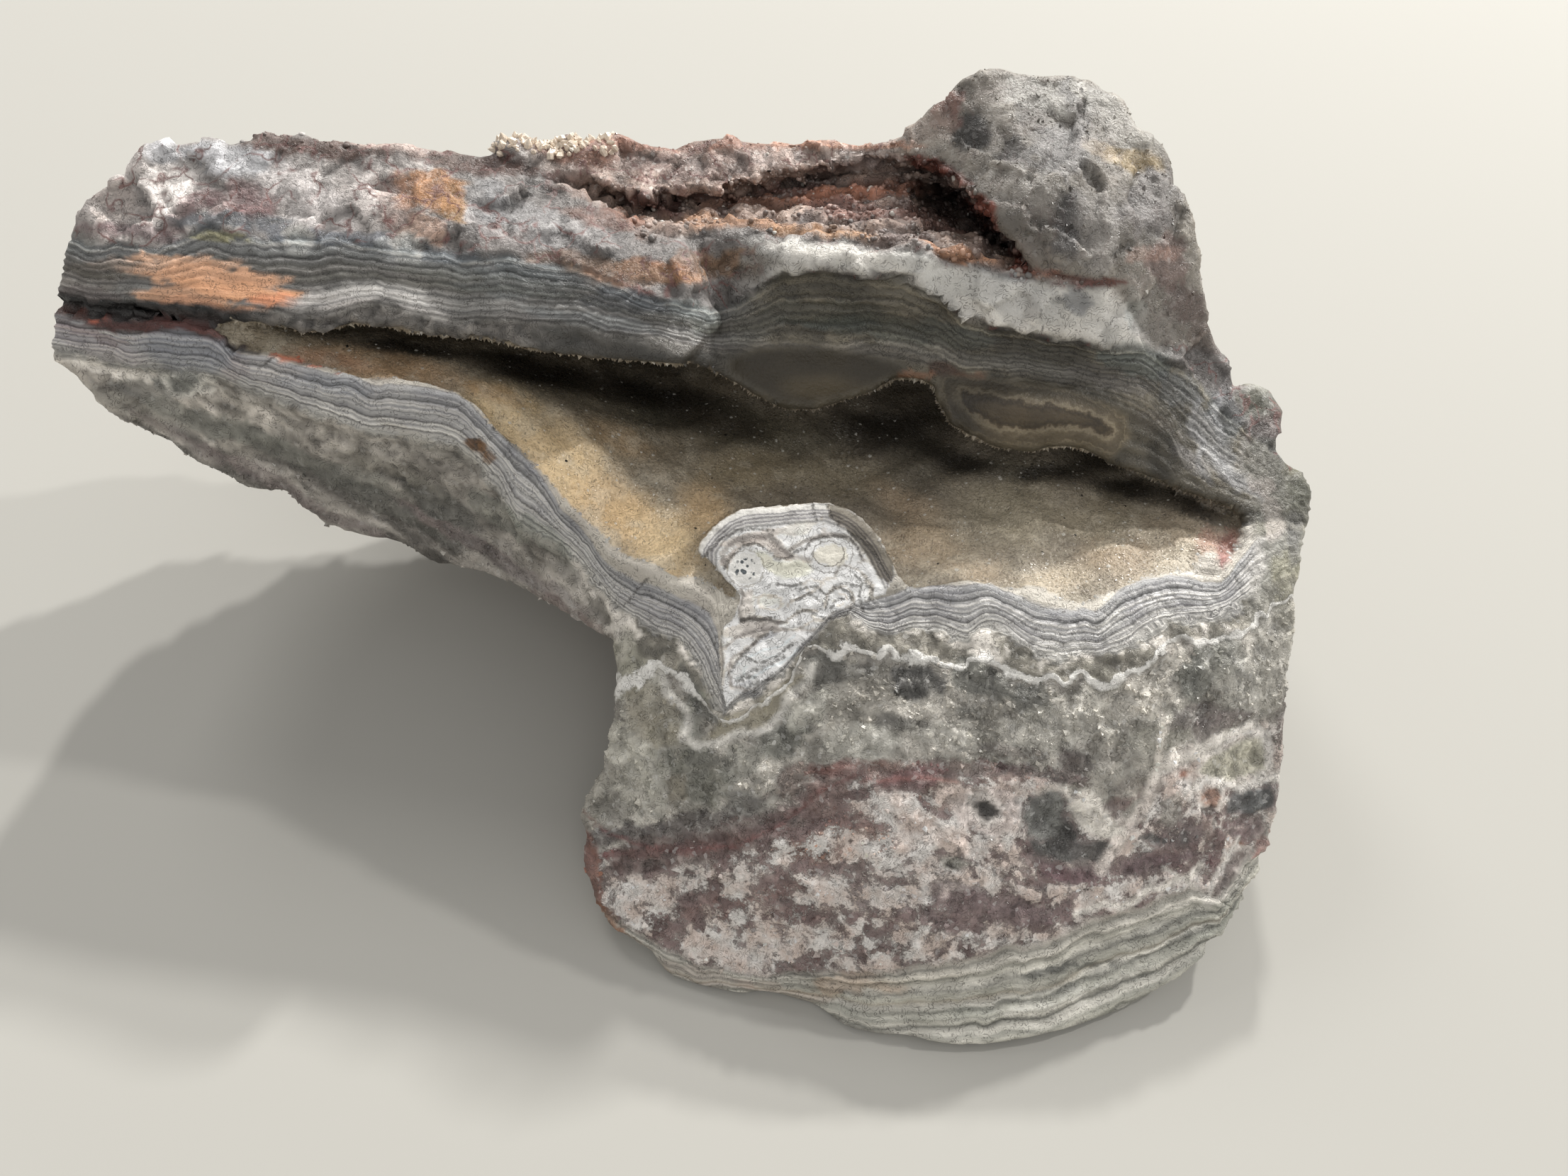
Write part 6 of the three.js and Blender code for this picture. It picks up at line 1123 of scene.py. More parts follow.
UPPER = [(0, (.40,.43,.46)), (.05, (.60,.63,.65)), (.09, (.88,.88,.87)), (.12, (.46,.48,.50)), (.20, (.64,.66,.67)), (.24, (.28,.29,.30)), (.28, (.72,.72,.72)), (.33, (.42,.42,.39)),
         (.39, (.64,.62,.60)), (.43, (.32,.31,.28)), (.48, (.62,.61,.57)), (.52, (.38,.37,.34)), (.57, (.74,.73,.72)), (.61, (.44,.44,.44)), (.66, (.90,.89,.88)), (.71, (.60,.59,.58)),
         (.75, (.95,.94,.93)), (.79, (.50,.49,.49)), (.84, (.78,.76,.75)), (.88, (.42,.40,.38)), (.93, (.64,.62,.59)), (1, (.38,.36,.32))]
LOWER = [(0, (.74,.70,.63)), (.04, (.58,.58,.60)), (.10, (.64,.65,.68)), (.15, (.46,.47,.51)), (.19, (.68,.68,.70)), (.24, (.50,.51,.54)), (.28, (.28,.29,.31)), (.31, (.72,.72,.75)),
         (.37, (.86,.85,.84)), (.41, (.55,.56,.60)), (.46, (.80,.79,.79)), (.50, (.47,.48,.51)), (.54, (.74,.74,.75)), (.59, (.60,.60,.63)), (.63, (.34,.34,.36)), (.66, (.82,.81,.80)),
         (.71, (.60,.60,.62)), (.76, (.88,.87,.85)), (.80, (.46,.46,.47)), (.85, (.78,.77,.75)), (.90, (.56,.56,.55)), (.95, (.70,.69,.66)), (1, (.44,.45,.44))]
BOTTOM = [(0, (.72,.67,.63)), (.05, (.54,.53,.50)), (.10, (.80,.78,.74)), (.16, (.62,.62,.58)), (.21, (.86,.85,.81)), (.26, (.56,.56,.53)), (.32, (.72,.72,.67)), (.37, (.64,.60,.53)),
          (.42, (.90,.89,.86)), (.46, (.52,.53,.50)), (.52, (.72,.73,.69)), (.57, (.80,.79,.75)), (.61, (.42,.43,.41)), (.66, (.88,.87,.84)), (.71, (.62,.63,.60)), (.76, (.76,.76,.71)),
          (.80, (.52,.53,.49)), (.85, (.92,.91,.89)), (.89, (.62,.62,.58)), (.94, (.78,.77,.73)), (1, (.56,.56,.52))]
ARCS = [(0, (.70,.67,.62)), (.04, (.92,.91,.89)), (.15, (.95,.94,.92)), (.19, (.62,.61,.62)), (.23, (.90,.89,.88)), (.28, (.50,.49,.50)), (.32, (.84,.83,.82)), (.38, (.56,.55,.56)), (.43, (.88,.87,.86)),
        (.50, (.34,.33,.33)), (.54, (.80,.78,.76)), (.62, (.60,.58,.56)), (.70, (.86,.85,.83)), (.84, (.72,.70,.67)), (1, (.86,.85,.83))]
NODB = [(0, (.44,.41,.35)), (.10, (.40,.37,.31)), (.16, (.68,.65,.58)), (.21, (.42,.39,.33)), (.36, (.52,.49,.43)), (.44, (.60,.57,.51)), (.51, (.78,.76,.70)), (.57, (.72,.69,.63)), (.62, (.46,.42,.36)), (.70, (.28,.24,.20)), (.84, (.44,.40,.34)), (1, (.40,.36,.31))]
NODA = [(0, (.48,.46,.41)), (.15, (.60,.58,.53)), (.28, (.47,.46,.42)), (.5, (.55,.53,.50)), (.7, (.50,.49,.46)), (1, (.66,.64,.61))]

def agate_material():
    g = Graph("agate_banded")
    P = g.mm()
    lay, ring = g.attr("lay"), g.attr("ring")
    sheet = g.split(g.attr("sheet", "Vector"))
    msk = g.split(g.attr("msk", "Vector"))
    tintn = g.nt.nodes.new("ShaderNodeAttribute")
    tintn.attribute_name = "tint"
    tint, amount = tintn.outputs["Color"], tintn.outputs["Alpha"]
    grain, chalk, veiny = msk[0], msk[1], msk[2]
    nods = g.split(g.attr("nods", "Vector"))
    eye = g.split(g.attr("eye", "Vector"))
    zon = g.split(g.attr("zon", "Vector"))
    how = g.split(g.attr("how", "Vector"))
    lum = g.nt.nodes.new("ShaderNodeRGBToBW")
    g.put(lum.inputs[0], tint)
    lum = lum.outputs[0]
    # wander of the layers
    wob = g.math("SUBTRACT", g.noise(P, 0.9, 3, 0.55), 0.5)
    wob2 = g.math("SUBTRACT", g.noise(P, 2.6, 2, 0.5), 0.5)
    l = g.math("ADD", lay, g.math("ADD", g.math("MULTIPLY", wob, 0.040), g.math("MULTIPLY", wob2, 0.020)))
    wob3 = g.math("SUBTRACT", g.noise(P, 1.5, 3, 0.6), 0.5)
    l = g.math("ADD", l, g.math("MULTIPLY", g.math("MULTIPLY", wob3, 0.085), g.math("MULTIPLY", g.math("GREATER_THAN", sheet[0], 86.0), g.math("LESS_THAN", lay, 2.5))))
    up = g.ramp(g.remap(l, 1.0, 2.0), UPPER)
    lo = g.ramp(g.remap(l, 3.0, 4.0), LOWER)
    bo = g.ramp(g.remap(l, 6.0, 7.1), BOTTOM)
    band = g.mix(g.math("GREATER_THAN", l, 2.5), up, lo)
    band = g.mix(g.math("GREATER_THAN", l, 5.5), band, bo)
    # lines between the main bands
    ln = g.noise(g.combine(g.math("MULTIPLY", l, 21.0), g.math("MULTIPLY", sheet[0], 0.035), 0.0), 1.0, 3, 0.6)
    ln = g.remap(ln, 0.30, 0.70, 0.50, 1.46)
    tone = g.nt.nodes.new("ShaderNodeRGBToBW")
    g.put(tone.inputs[0], band)
    gain = g.math("MULTIPLY", g.remap(tone.outputs[0], 0.08, 0.75, 0.34, 2.02), ln)
    calm = g.remap(how[0], 0.80, 1.0, 0.0, 0.60)
    toned = g.vmath("SCALE", tint, scale=g.math("ADD", gain, g.math("MULTIPLY", calm, g.math("SUBTRACT", 1.10, gain))))
    dim = g.math("ADD", 0.30, g.math("MULTIPLY", lum, 1.9), clamp=True)
    lined = g.vmath("SCALE", band, scale=g.math("MULTIPLY", dim, g.remap(ln, 0.50, 1.46, 0.70, 1.20)))
    banded = g.mix(how[0], lined, toned)
    col = g.mix(amount, tint, banded)
    # rings of the cut nodules
    rn = g.math("ADD", ring, g.math("MULTIPLY", wob2, 3.0))
    arcs = g.ramp(g.remap(rn, 0.0, 46.0), ARCS)
    arcs = g.mix(1.0, arcs, g.vmath("SCALE", tint, scale=1.03), "MULTIPLY")
    arcs = g.mix(g.remap(rn, 20.0, 28.0, 0.0, 1.0, True), arcs, tint)
    col = g.mix(g.math("LESS_THAN", ring, 58.0), col, arcs)
    nb = g.ramp(g.remap(g.math("ADD", rn, g.math("ADD", g.math("MULTIPLY", wob, 20.0), g.math("MULTIPLY", wob2, 3.0))), 200.0, 244.0), NODB)
    nb = g.vmath("SCALE", nb, scale=g.math("MULTIPLY", lum, 2.6))
    nb = g.mix(1.0, nb, (1.0, 0.90, 0.75), "MULTIPLY")
    col = g.mix(g.math("MULTIPLY", g.math("GREATER_THAN", ring, 150.0), g.math("MULTIPLY", nods[1], 0.88)), col, nb)
    na = g.ramp(g.remap(rn, 300.0, 340.0), NODA)
    na = g.mix(1.0, g.vmath("SCALE", na, scale=g.math("MULTIPLY", lum, 3.4)), (1.0, 0.90, 0.75), "MULTIPLY")
    col = g.mix(g.math("MULTIPLY", g.math("GREATER_THAN", ring, 280.0), g.math("MULTIPLY", nods[2], 0.35)), col, g.mix(0.5, na, tint))
    # speckled eye and pale oval
    isc = nods[0]
    spots = g.voronoi(P, 1.55)["Distance"]
    e1 = g.math("ADD", eye[0], g.math("MULTIPLY", wob2, 8.0))
    col = g.mix(g.math("MULTIPLY", isc, g.remap(e1, 19.0, 22.5, 1.0, 0.0, True)), col, (0.84, 0.83, 0.80))
    col = g.mix(g.math("MULTIPLY", isc, g.math("MULTIPLY", g.remap(e1, 12.0, 15.0, 1.0, 0.0, True), g.remap(spots, 0.38, 0.50, 1.0, 0.0, True))), col, (0.085, 0.10, 0.11))
    col = g.mix(g.math("MULTIPLY", isc, g.math("MULTIPLY", g.math("COMPARE", e1, 23.5, 1.0), 0.55)), col, (0.28, 0.25, 0.20))
    e2 = g.math("ADD", eye[1], g.math("MULTIPLY", wob2, 7.0))
    col = g.mix(g.math("MULTIPLY", isc, g.math("MULTIPLY", g.math("COMPARE", e2, 16.0, 0.8), 0.7)), col, (0.16, 0.14, 0.12))
    col = g.mix(g.math("MULTIPLY", isc, g.math("MULTIPLY", g.math("COMPARE", e2, 24.5, 0.8), 0.5)), col, (0.22, 0.20, 0.18))
    # crumpled shells of the chalky part, drawn as broken contour lines
    cl = g.math("FRACT", g.math("MULTIPLY", g.noise(P, 0.30, 3, 0.6), 17.0))
    cl = g.remap(g.math("ABSOLUTE", g.math("SUBTRACT", cl, 0.5)), 0.0, 0.10, 1.0, 0.0)
    cl = g.math("MULTIPLY", cl, g.remap(g.noise(P, 0.8, 2, 0.5), 0.42, 0.56, 0.0, 1.0, True))
    cl = g.math("MULTIPLY", cl, g.math("MULTIPLY", g.remap(ring, 20.0, 30.0, 0.0, 1.0), g.math("LESS_THAN", ring, 150.0)))
    cl = g.math("MULTIPLY", cl, g.math("MULTIPLY", g.remap(e1, 22.0, 28.0, 0.0, 1.0), g.remap(e2, 16.0, 22.0, 0.0, 1.0)))
    col = g.mix(g.math("MULTIPLY", cl, 0.48), col, (0.20, 0.185, 0.17))
    # frosted and smoky grains of the quartz
    warp3 = g.vmath("ADD", P, g.vmath("SCALE", g.vmath("SUBTRACT", g.noise_color(P, 0.45), (0.5, 0.5, 0.5)), scale=2.2))
    v3 = g.voronoi(warp3, 0.46)
    s3 = g.split(v3["Color"])
    kq = g.math("MULTIPLY", g.remap(s3[0], 0, 1, 0.86, 1.16), g.math("SUBTRACT", 1.0, g.math("MULTIPLY", g.math("GREATER_THAN", s3[1], 0.86), 0.20)))
    frost = g.math("MULTIPLY", g.remap(g.voronoi(warp3, 0.46, "DISTANCE_TO_EDGE")["Distance"], 0.0, 0.11, 1.0, 0.0), g.remap(g.noise(P, 0.6, 2, 0.5), 0.42, 0.64, 0.0, 0.38))
    qcol = g.mix(frost, g.vmath("SCALE", tint, scale=kq), (0.56, 0.55, 0.51))
    col = g.mix(zon[0], col, qcol)
    # chalk patches in the maroon matrix
    n1 = g.noise(P, 0.40, 8, 0.68)
    sw = g.math("ADD", g.math("MULTIPLY", g.math("SUBTRACT", lum, 0.33), 1.9), g.math("MULTIPLY", g.math("SUBTRACT", n1, 0.5), 1.8))
    sw = g.math("ADD", sw, g.math("MULTIPLY", g.math("SUBTRACT", g.noise(P, 1.9, 4, 0.65), 0.5), 1.7))
    sw = g.math("ADD", sw, g.math("MULTIPLY", g.math("SUBTRACT", g.noise(P, 4.2, 3, 0.6), 0.5), 1.2))
    sw = g.remap(sw, -0.22, 0.26, 0.0, 1.0, True)
    matrix = g.mix(0.5, g.vmath("SCALE", tint, scale=0.80), (0.300, 0.222, 0.212))
    matrix = g.vmath("SCALE", matrix, scale=g.remap(s3[2], 0, 1, 0.72, 1.28))
    whitec = g.mix(g.remap(g.noise(P, 0.33, 3, 0.5), 0.40, 0.62, 0.0, 1.0), (0.77, 0.735, 0.70), (0.67, 0.56, 0.50))
    col = g.mix(zon[1], col, g.mix(sw, matrix, whitec))
    # crinkled white line at the foot of the lower bands
    lc = g.math("ADD", lay, g.math("ADD", g.math("MULTIPLY", wob, 0.10), g.math("MULTIPLY", wob2, 0.06)))
    li = g.remap(g.math("ABSOLUTE", g.math("SUBTRACT", lc, 4.335)), 0.040, 0.070, 1.0, 0.0, True)
    li = g.math("MULTIPLY", li, zon[2])
    col = g.mix(g.math("MULTIPLY", li, 0.92), col, (0.80, 0.785, 0.75))
    # crystal grains
    warp = g.vmath("ADD", P, g.vmath("SCALE", g.vmath("SUBTRACT", g.noise_color(P, 1.1), (0.5, 0.5, 0.5)), scale=0.7))
    stretched = g.combine(sheet[0], g.math("MULTIPLY", sheet[1], 0.55), g.math("MULTIPLY", sheet[2], 0.7))
    stretched = g.vmath("ADD", stretched, g.vmath("SCALE", g.vmath("SUBTRACT", g.noise_color(P, 0.9), (0.5, 0.5, 0.5)), scale=1.3))
    v1 = g.voronoi(stretched, 0.95)
    v2 = g.voronoi(warp, 1.9)
    s1, s2 = g.split(v1["Color"]), g.split(v2["Color"])
    k = g.math("ADD", g.remap(s1[0], 0, 1, -0.13, 0.15), g.remap(s2[1], 0, 1, -0.09, 0.10))
    k = g.math("ADD", k, g.math("MULTIPLY", g.math("SUBTRACT", g.noise(P, 4.5, 3, 0.6), 0.5), 0.40))
    k = g.math("ADD", 1.0, g.math("MULTIPLY", k, grain))
    col = g.vmath("SCALE", col, scale=k)
    # painted glints: a few grain cells drawn near white
    painted_glint = g.math("MULTIPLY", g.math("GREATER_THAN", s2[2], 0.965), g.math("MULTIPLY", grain, 0.35))
    col = g.mix(painted_glint, col, (0.80, 0.79, 0.77))
    pore = g.math("MULTIPLY", g.math("GREATER_THAN", s2[0], 0.975), g.math("MULTIPLY", g.math("MULTIPLY", grain, zon[1]), 0.45))
    col = g.mix(pore, col, (0.06, 0.055, 0.055))
    # sugar of the druse
    su = g.split(g.voronoi(P, 2.6)["Color"])
    col = g.vmath("SCALE", col, scale=g.math("ADD", 1.0, g.math("MULTIPLY", how[1], g.remap(su[0], 0, 1, -0.10, 0.12))))
    # thin maroon veins of the upper slab
    vw = g.vmath("ADD", P, g.vmath("SCALE", g.vmath("SUBTRACT", g.noise_color(P, 0.5), (0.5, 0.5, 0.5)), scale=3.0))
    vd = g.voronoi(vw, 0.22, "DISTANCE_TO_EDGE")["Distance"]
    vein = g.math("MULTIPLY", g.remap(vd, 0.0, 0.055, 1.0, 0.0), g.math("MULTIPLY", veiny, g.remap(g.noise(P, 0.35, 2, 0.5), 0.39, 0.56, 0.0, 0.88, True)))
    col = g.mix(vein, col, (0.16, 0.070, 0.062))
    blk = g.split(g.voronoi(vw, 0.34)["Color"])
    blk2 = g.split(g.voronoi(vw, 0.85)["Color"])
    bk = g.math("ADD", g.remap(blk[0], 0, 1, -0.24, 0.26), g.remap(blk2[1], 0, 1, -0.12, 0.12))
    col = g.vmath("SCALE", col, scale=g.math("ADD", 1.0, g.math("MULTIPLY", veiny, bk)))
    # cracks
    ck = g.math("MULTIPLY", g.remap(g.math("ADD", eye[2], g.math("MULTIPLY", wob2, 6.0)), 0.3, 2.5, 1.0, 0.0), 0.72)
    col = g.mix(ck, col, (0.10, 0.092, 0.085))
    fine = g.noise(P, 7.0, 2, 0.6)
    col = g.vmath("SCALE", col, scale=g.remap(fine, 0.25, 0.75, 0.90, 1.10))
    g.put(g.bsdf.inputs["Base Color"], col)
    # gloss: waxy bands, glinting grains, dull chalk and rind
    r = g.math("ADD", 0.44, g.math("MULTIPLY", chalk, 0.38))
    r = g.math("ADD", r, g.math("MULTIPLY", grain, g.remap(s2[2], 0, 1, -0.26, 0.20)))
    g.put(g.bsdf.inputs["Roughness"], g.math("ADD", r, g.remap(fine, 0.2, 0.8, -0.08, 0.08), clamp=True))
    # relief finer than the mesh
    facet = g.vmath("SCALE", g.vmath("SUBTRACT", v2["Color"], (0.5, 0.5, 0.5)), scale=g.math("MULTIPLY", grain, 0.75))
    facet1 = g.vmath("SCALE", g.vmath("SUBTRACT", v1["Color"], (0.5, 0.5, 0.5)), scale=g.math("MULTIPLY", grain, 0.60))
    facet3 = g.vmath("SCALE", g.vmath("SUBTRACT", v3["Color"], (0.5, 0.5, 0.5)), scale=g.math("MULTIPLY", zon[0], 0.55))
    facet4 = g.vmath("SCALE", g.vmath("SUBTRACT", g.voronoi(P, 2.6)["Color"], (0.5, 0.5, 0.5)), scale=g.math("MULTIPLY", how[1], 0.36))
    nrm = g.vmath("ADD", g.vmath("ADD", g.geo_normal(), facet), g.vmath("ADD", facet1, g.vmath("ADD", facet3, facet4)))
    nrm = g.vmath("NORMALIZE", nrm)
    h = g.math("MULTIPLY", g.noise(P, 2.4, 4, 0.62), 0.6)
    h = g.math("ADD", h, g.math("MULTIPLY", g.math("MULTIPLY", gain, amount), 0.24))
    h = g.math("SUBTRACT", h, g.math("ADD", g.math("MULTIPLY", cl, 0.5), g.math("MULTIPLY", ck, 0.9)))
    h = g.math("ADD", h, g.math("ADD", g.math("MULTIPLY", li, 0.8), g.math("MULTIPLY", g.math("MULTIPLY", sw, zon[1]), 0.7)))
    h = g.math("ADD", h, g.math("MULTIPLY", g.math("MULTIPLY", g.voronoi(P, 1.7)["Distance"], chalk), -0.16))
    h = g.math("ADD", h, g.math("MULTIPLY", g.math("MULTIPLY", g.noise(P, 0.75, 6, 0.66), how[2]), 2.4))
    g.put(g.bsdf.inputs["Normal"], g.bump(h, 0.00040, 0.80, nrm))
    return g.mat

def noise_color(self, vec, scale):
    n = self.nt.nodes.new("ShaderNodeTexNoise")
    self.put(n.inputs["Vector"], vec)
    n.inputs["Scale"].default_value, n.inputs["Detail"].default_value = scale, 1.0
    return n.outputs["Color"]
Graph.noise_color = noise_color

stone_ob.data.materials.append(agate_material())
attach(stone_ob, "root")
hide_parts("agate_stone")

# ---------------------------------------------------------------------------
# Crystals and beads on the skin
# ---------------------------------------------------------------------------
rng = np.random.default_rng(20241)
N2 = normals(V, T)

def scatter(weight, spacing):
    """points on the skin, about one per spacing squared where weight is 1"""
    A, B, C = V[T[:, 0]], V[T[:, 1]], V[T[:, 2]]
    ar = 0.5 * np.linalg.norm(np.cross(B - A, C - A), axis=1) * weight[T].mean(1)
    n = int(ar.sum() / spacing ** 2)
    if n < 1:
        return np.zeros((0, 3)), np.zeros((0, 3)), np.zeros(0, int)
    t = rng.choice(len(T), n, p=ar / ar.sum())
    u, v = rng.random(n), rng.random(n)
    s = u + v > 1
    u[s], v[s] = 1 - u[s], 1 - v[s]
    a, b, c = (1 - u - v)[:, None], u[:, None], v[:, None]
    P = a * A[t] + b * B[t] + c * C[t]
    Nn = a * N2[T[t, 0]] + b * N2[T[t, 1]] + c * N2[T[t, 2]]
    return P, Nn / np.linalg.norm(Nn, axis=1)[:, None], T[t, 0]

def frames(Nn, tilt):
    n = len(Nn)
    Z = Nn + tilt * rng.normal(size=(n, 3))
    Z /= np.linalg.norm(Z, axis=1)[:, None]
    X = np.cross(Z, rng.normal(size=(n, 3)))
    X /= np.linalg.norm(X, axis=1)[:, None]
    return X, np.cross(Z, X), Z

def crystal_mesh(P, Nn, radius, height, tilt, shank=0.35):
    """six-sided points: a short shank and a pyramid, sunk a little into the skin"""
    n = len(P)
    X, Y, Z = frames(Nn, tilt)
    k = np.arange(6) * math.pi / 3
    ca, sa = np.cos(k), np.sin(k)
    verts = np.zeros((n, 13, 3))
    base = P - Z * (0.35 * height)[:, None]
    for i in range(6):
        d = (X * ca[i] + Y * sa[i]) * radius[:, None]
        verts[:, i] = base + d
        verts[:, 6 + i] = base + d * 0.96 + Z * (shank * height * rng.uniform(0.8, 1.2, n) + 0.35 * height)[:, None]
    verts[:, 12] = base + Z * (height * 1.35)[:, None] + (X * rng.normal(size=(n, 1)) + Y * rng.normal(size=(n, 1))) * 0.12 * radius[:, None]
    f = []
    for i in range(6):
        j = (i + 1) % 6
        f += [(i, j, 6 + j), (i, 6 + j, 6 + i), (6 + i, 6 + j, 12)]
    f += [(0, 5, 4), (0, 4, 3), (0, 3, 2), (0, 2, 1)]
    f = np.array(f)
    return verts.reshape(-1, 3), (f[None] + 13 * np.arange(n)[:, None, None]).reshape(-1, 3), 13

def point_mesh(P, Nn, radius, height, tilt):
    """bare pyramids, closed below"""
    n = len(P)
    X, Y, Z = frames(Nn, tilt)
    k = np.arange(5) * 2 * math.pi / 5
    verts = np.zeros((n, 6, 3))
    base = P - Z * (0.3 * height)[:, None]
    for i in range(5):
        verts[:, i] = base + (X * math.cos(k[i]) + Y * math.sin(k[i])) * (radius * rng.uniform(0.8, 1.2, n))[:, None]
    verts[:, 5] = base + Z * (1.3 * height)[:, None]
    f = np.array([(i, (i + 1) % 5, 5) for i in range(5)] + [(0, 4, 3), (0, 3, 2), (0, 2, 1)])
    return verts.reshape(-1, 3), (f[None] + 6 * np.arange(n)[:, None, None]).reshape(-1, 3), 6

def bead_mesh(P, Nn, radius, flat=0.75):
    """lumpy beads of a grape-like crust"""
    rows, cols = 4, 8
    pts = [(0, 0, 1.0)]
    for a in range(1, rows):
        for b in range(cols):
            th, ph = math.pi * a / rows, 2 * math.pi * (b + 0.5 * (a % 2)) / cols
            pts.append((math.sin(th) * math.cos(ph), math.sin(th) * math.sin(ph), math.cos(th)))
    pts.append((0, 0, -1.0))
    pts = np.array(pts)
    last = len(pts) - 1
    f = []
    for b in range(cols):
        c = (b + 1) % cols
        f.append((0, 1 + b, 1 + c))
        for a in range(rows - 2):
            o, q = 1 + a * cols, 1 + (a + 1) * cols
            f += [(o + b, q + b, q + c), (o + b, q + c, o + c)]
        f.append((1 + (rows - 2) * cols + b, last, 1 + (rows - 2) * cols + c))
    n = len(P)
    X, Y, Z = frames(Nn, 0.2)
    R = radius[:, None] * (1 + 0.14 * rng.normal(size=(n, len(pts))))
    q = pts[None] * R[:, :, None]
    W = q[:, :, 0:1] * X[:, None] + q[:, :, 1:2] * Y[:, None] + flat * q[:, :, 2:3] * Z[:, None]
    verts = P[:, None] + W - 0.15 * radius[:, None, None] * Z[:, None]
    return verts.reshape(-1, 3), (np.array(f)[None] + len(pts) * np.arange(n)[:, None, None]).reshape(-1, 3), len(pts)

def add_piece(name, mesh, src, mat, colour, smooth):
    v, f, per = mesh
    v[:, 2] = np.maximum(v[:, 2], 0.0)
    cj = np.repeat(rng.random(len(src)), per)
    c = np.repeat(colour, per, axis=0)
    ob = make_mesh(name, v, f, smooth, attrs={"cj": cj}, colors={"tint": np.concatenate([c, np.ones((len(c), 1))], 1)})
    ob.data.materials.append(mat)
    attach(ob, "root")
    print(name, len(f))
    return ob

def druse_material(name, rough, trans, speck):
    g = Graph(name)
    P = g.mm()
    tint, cj = g.attr("tint", "Color"), g.attr("cj")
    col = g.vmath("SCALE", tint, scale=g.remap(cj, 0, 1, 0.92, 1.12))
    # painted glints: one point in forty drawn near white
    col = g.mix(g.math("MULTIPLY", g.math("GREATER_THAN", cj, 0.975), 0.6), col, (0.80, 0.78, 0.72))
    if speck:
        col = g.mix(g.math("LESS_THAN", cj, 0.0013), col, (0.02, 0.018, 0.015))
    n = g.noise(P, 3.0, 2, 0.5)
    col = g.vmath("SCALE", col, scale=g.remap(n, 0.25, 0.75, 0.88, 1.12))
    g.put(g.bsdf.inputs["Base Color"], col)
    g.put(g.bsdf.inputs["Roughness"], g.remap(n, 0.2, 0.8, rough - 0.06, rough + 0.10))
    g.bsdf.inputs["Transmission Weight"].default_value = trans
    g.put(g.bsdf.inputs["Normal"], g.bump(g.noise(P, 9.0, 2, 0.5), 0.00005, 0.5))
    return g.mat

druse_mat = druse_material("druse_sugar", 0.24, 0.18, True)
quartz_mat = druse_material("quartz_grains", 0.26, 0.15, False)
pale_mat = druse_material("druse_pale_points", 0.26, 0.12, False)
crust_mat = druse_material("rusty_beads", 0.42, 0.0, False)

S = zn["slot"]
upfacing = sstep(N2[:, 2], 0.05, 0.35)
P0, n0, src = scatter(S * upfacing, 0.50)
r = rng.uniform(0.14, 0.34, len(P0))
add_piece("druse_floor", point_mesh(P0, n0, r, r * rng.uniform(0.12, 0.36, len(P0)), 0.10), src, druse_mat, tint[src], False)
# points on the roof and walls, in the floor's tint drawn darker: painted shade on the down-facing druse
P0, n0, src = scatter(S * (1 - upfacing), 0.62)
r = rng.uniform(0.18, 0.38, len(P0))
add_piece("druse_roof", point_mesh(P0, n0, r, r * rng.uniform(0.9, 1.8, len(P0)), 0.30), src, druse_mat, tint[src] * 0.9, False)
# pale points on the skyline
sky = ((zn["X"] > 632) & (zn["X"] < 790) & (zn["Y"] < 196) & (back < 6)).astype(float)
P0, n0, src = scatter(sky, 0.62)
r = rng.uniform(0.18, 0.50, len(P0))
add_piece("druse_skyline", crystal_mesh(P0, n0, r, r * rng.uniform(1.5, 2.7, len(P0)), 0.65), src, pale_mat, np.repeat(lin((.89, .83, .76))[None], len(P0), 0), False)
# grape-like crust in the fissure and along the crest
W = np.clip(zn["fiss"] * sstep(zn["X"], 770, 860) + 0.20 * zn["crest"] * sstep(-zn["Y"], -205, -190), 0, 1)
W = np.maximum(W, ((zn["X"] > 310) & (zn["X"] < 480) & (zn["Y"] < 192) & (back < 5)) * 0.5) * (vnoise(V, 4.0, 77) > -0.25)
P0, n0, src = scatter(W, 0.78)
r = 0.15 + 0.34 * rng.random(len(P0)) ** 2.5
add_piece("rusty_crust_beads", bead_mesh(P0, n0, r), src, crust_mat, np.clip((0.75 * tint[src] + 0.25 * lum(tint[src])[:, None]) * rng.uniform(0.9, 1.4, len(P0))[:, None], 0, 0.85), True)

# broken quartz grains that stand out of the rough face
def grain_mesh(P, Nn, radius, out):
    n = len(P)
    X, Y, Z = frames(Nn, 0.8)
    D = np.stack([X, Y, -X, -Y, Z, -Z], 1)
    R = radius[:, None] * rng.uniform(0.55, 1.25, (n, 6))
    verts = P[:, None] + Nn[:, None] * (out * radius)[:, None, None] + D * R[:, :, None]
    f = np.array([(0, 1, 4), (1, 2, 4), (2, 3, 4), (3, 0, 4), (1, 0, 5), (2, 1, 5), (3, 2, 5), (0, 3, 5)])
    return verts.reshape(-1, 3), (f[None] + 6 * np.arange(n)[:, None, None]).reshape(-1, 3), 6

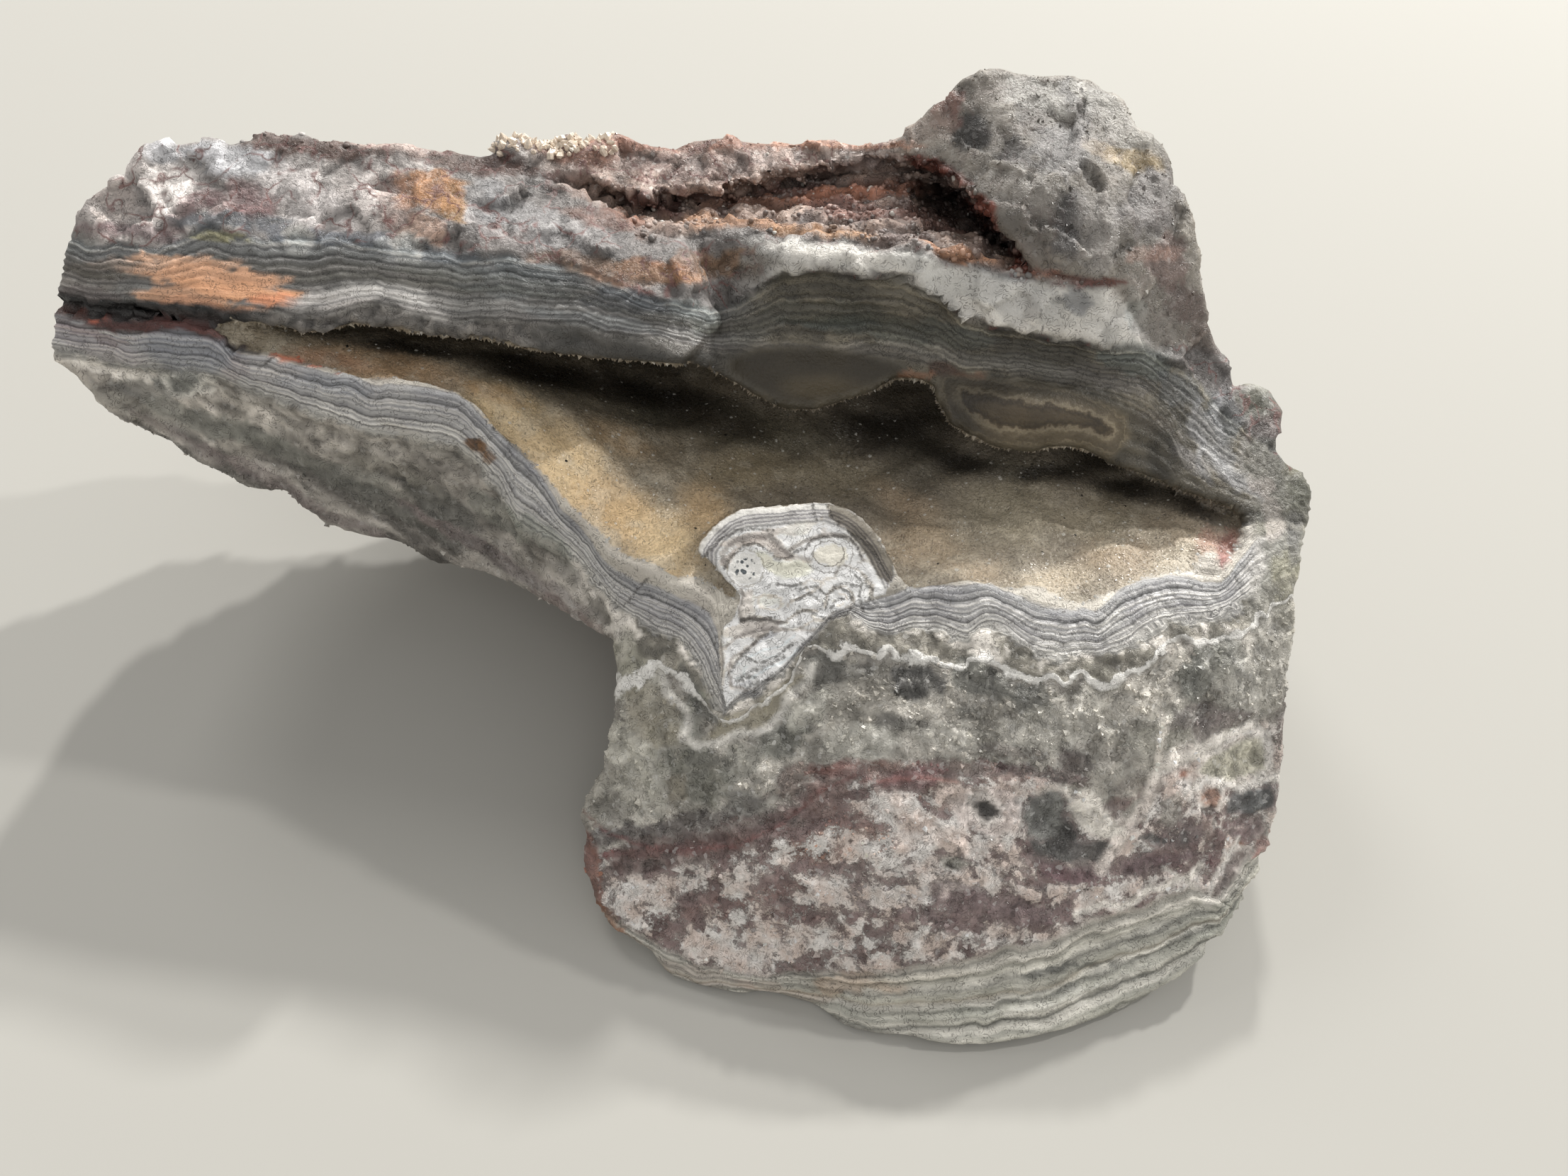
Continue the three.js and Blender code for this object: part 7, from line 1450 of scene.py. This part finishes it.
clear = (1 - zn["slot"]) * (1 - zn["nodC"]) * (1 - 0.9 * keep)
W = (zn["quartz"] * (1 - 0.75 * zn["arm"]) + 0.30 * zn["purple"] * (1 - 0.7 * zn["arm"])) * clear * sstep(-back, -14, -6) * sstep(vnoise(V, 4.5, 88), -0.55, 0.1)
P0, n0, src = scatter(W, 0.52)
r = 0.16 + 0.42 * rng.random(len(P0)) ** 3
shade = rng.uniform(0.95, 1.35, len(P0))[:, None]
add_piece("quartz_grains", grain_mesh(P0, n0, r, rng.uniform(-0.55, -0.05, len(P0))), src, quartz_mat, np.clip(tint[src] * shade, 0, 0.85), False)
W = (zn["horn"] + 0.25 * zn["crest"] * sstep(-zn["X"], -1190, -1100)) * clear * sstep(-back, -26, -14) * sstep(vnoise(V, 5.0, 89), -0.5, 0.2)
P0, n0, src = scatter(W, 1.15)
r = 0.13 + 0.34 * rng.random(len(P0)) ** 3
add_piece("horn_grains", grain_mesh(P0, n0, r, rng.uniform(-0.6, -0.1, len(P0))), src, quartz_mat, np.clip(tint[src] * rng.uniform(0.90, 1.15, len(P0))[:, None], 0, 0.85), False)

# ---------------------------------------------------------------------------
# Stage
# ---------------------------------------------------------------------------
def area(name, az, el, dist, size, power, color, aim=(0, 0, 0.03)):
    a, e = math.radians(az), math.radians(el)
    d = Vector((math.cos(e) * math.cos(a), math.cos(e) * math.sin(a), math.sin(e)))
    lt = bpy.data.lights.new(name, "AREA")
    lt.shape, lt.size, lt.energy, lt.color = "DISK", size, power, color
    ob = bpy.data.objects.new(name, lt)
    ob.location = Vector(aim) + d * dist
    ob.rotation_euler = d.to_track_quat("Z", "Y").to_euler()
    bpy.context.scene.collection.objects.link(ob)
    return ob

area("lamp_back_right", 60, 33, 1.9, 0.07, 25.5, (1.0, 0.98, 0.94))
area("lamp_back", 90, 39, 1.9, 0.08, 20.5, (1.0, 0.98, 0.94))
area("lamp_right", 28, 34, 1.9, 0.08, 13.0, (1.0, 0.98, 0.94))
area("lamp_front", -82, 52, 1.9, 1.20, 4.6, (1.0, 0.985, 0.96))
area("lamp_over", 125, 42, 1.9, 0.60, 10.5, (1.0, 0.985, 0.96))

world = bpy.data.worlds.new("room")
bpy.context.scene.world = world
world.use_nodes = True
world.node_tree.nodes["Background"].inputs[0].default_value = (1.0, 0.985, 0.96, 1)
world.node_tree.nodes["Background"].inputs[1].default_value = 0.51

n = 24
g = np.linspace(-2.2, 2.2, n)
X, Y = np.meshgrid(g, g, indexing="ij")
R = np.hypot(X, Y)
Z = -0.0004 + 0.25 * np.maximum(0, R - 1.3) ** 2
fv = np.stack([X.ravel(), Y.ravel(), Z.ravel()], 1)
i = np.arange(n * n).reshape(n, n)
fq = np.stack([i[:-1, :-1].ravel(), i[1:, :-1].ravel(), i[1:, 1:].ravel(), i[:-1, 1:].ravel()], 1)
fm = bpy.data.meshes.new("floor")
fm.from_pydata(fv.tolist(), [], fq.tolist())
for p in fm.polygons:
    p.use_smooth = True
floor_ob = bpy.data.objects.new("floor", fm)
bpy.context.scene.collection.objects.link(floor_ob)
fmat = bpy.data.materials.new("floor_cloth_white")
fmat.use_nodes = True
fb = fmat.node_tree.nodes["Principled BSDF"]
fb.inputs["Base Color"].default_value = (0.405, 0.397, 0.370, 1)
fb.inputs["Roughness"].default_value = 0.9
floor_ob.data.materials.append(fmat)

cam_data = bpy.data.cameras.new("view")
cam = bpy.data.objects.new("view", cam_data)
bpy.context.scene.collection.objects.link(cam)
cam_data.sensor_fit, cam_data.sensor_width, cam_data.lens = "HORIZONTAL", 36.0, 27.018
cam_data.clip_start, cam_data.clip_end = 0.005, 20
pos = to_row(np.array([0, 0, EYE_Z]))
cam.matrix_world = Matrix([[AX_R[k], AX_T[k], -AX_F[k], pos[k]] for k in range(3)] + [[0, 0, 0, 1]])
bpy.context.scene.camera = cam
bpy.context.scene.view_settings.view_transform = "Standard"
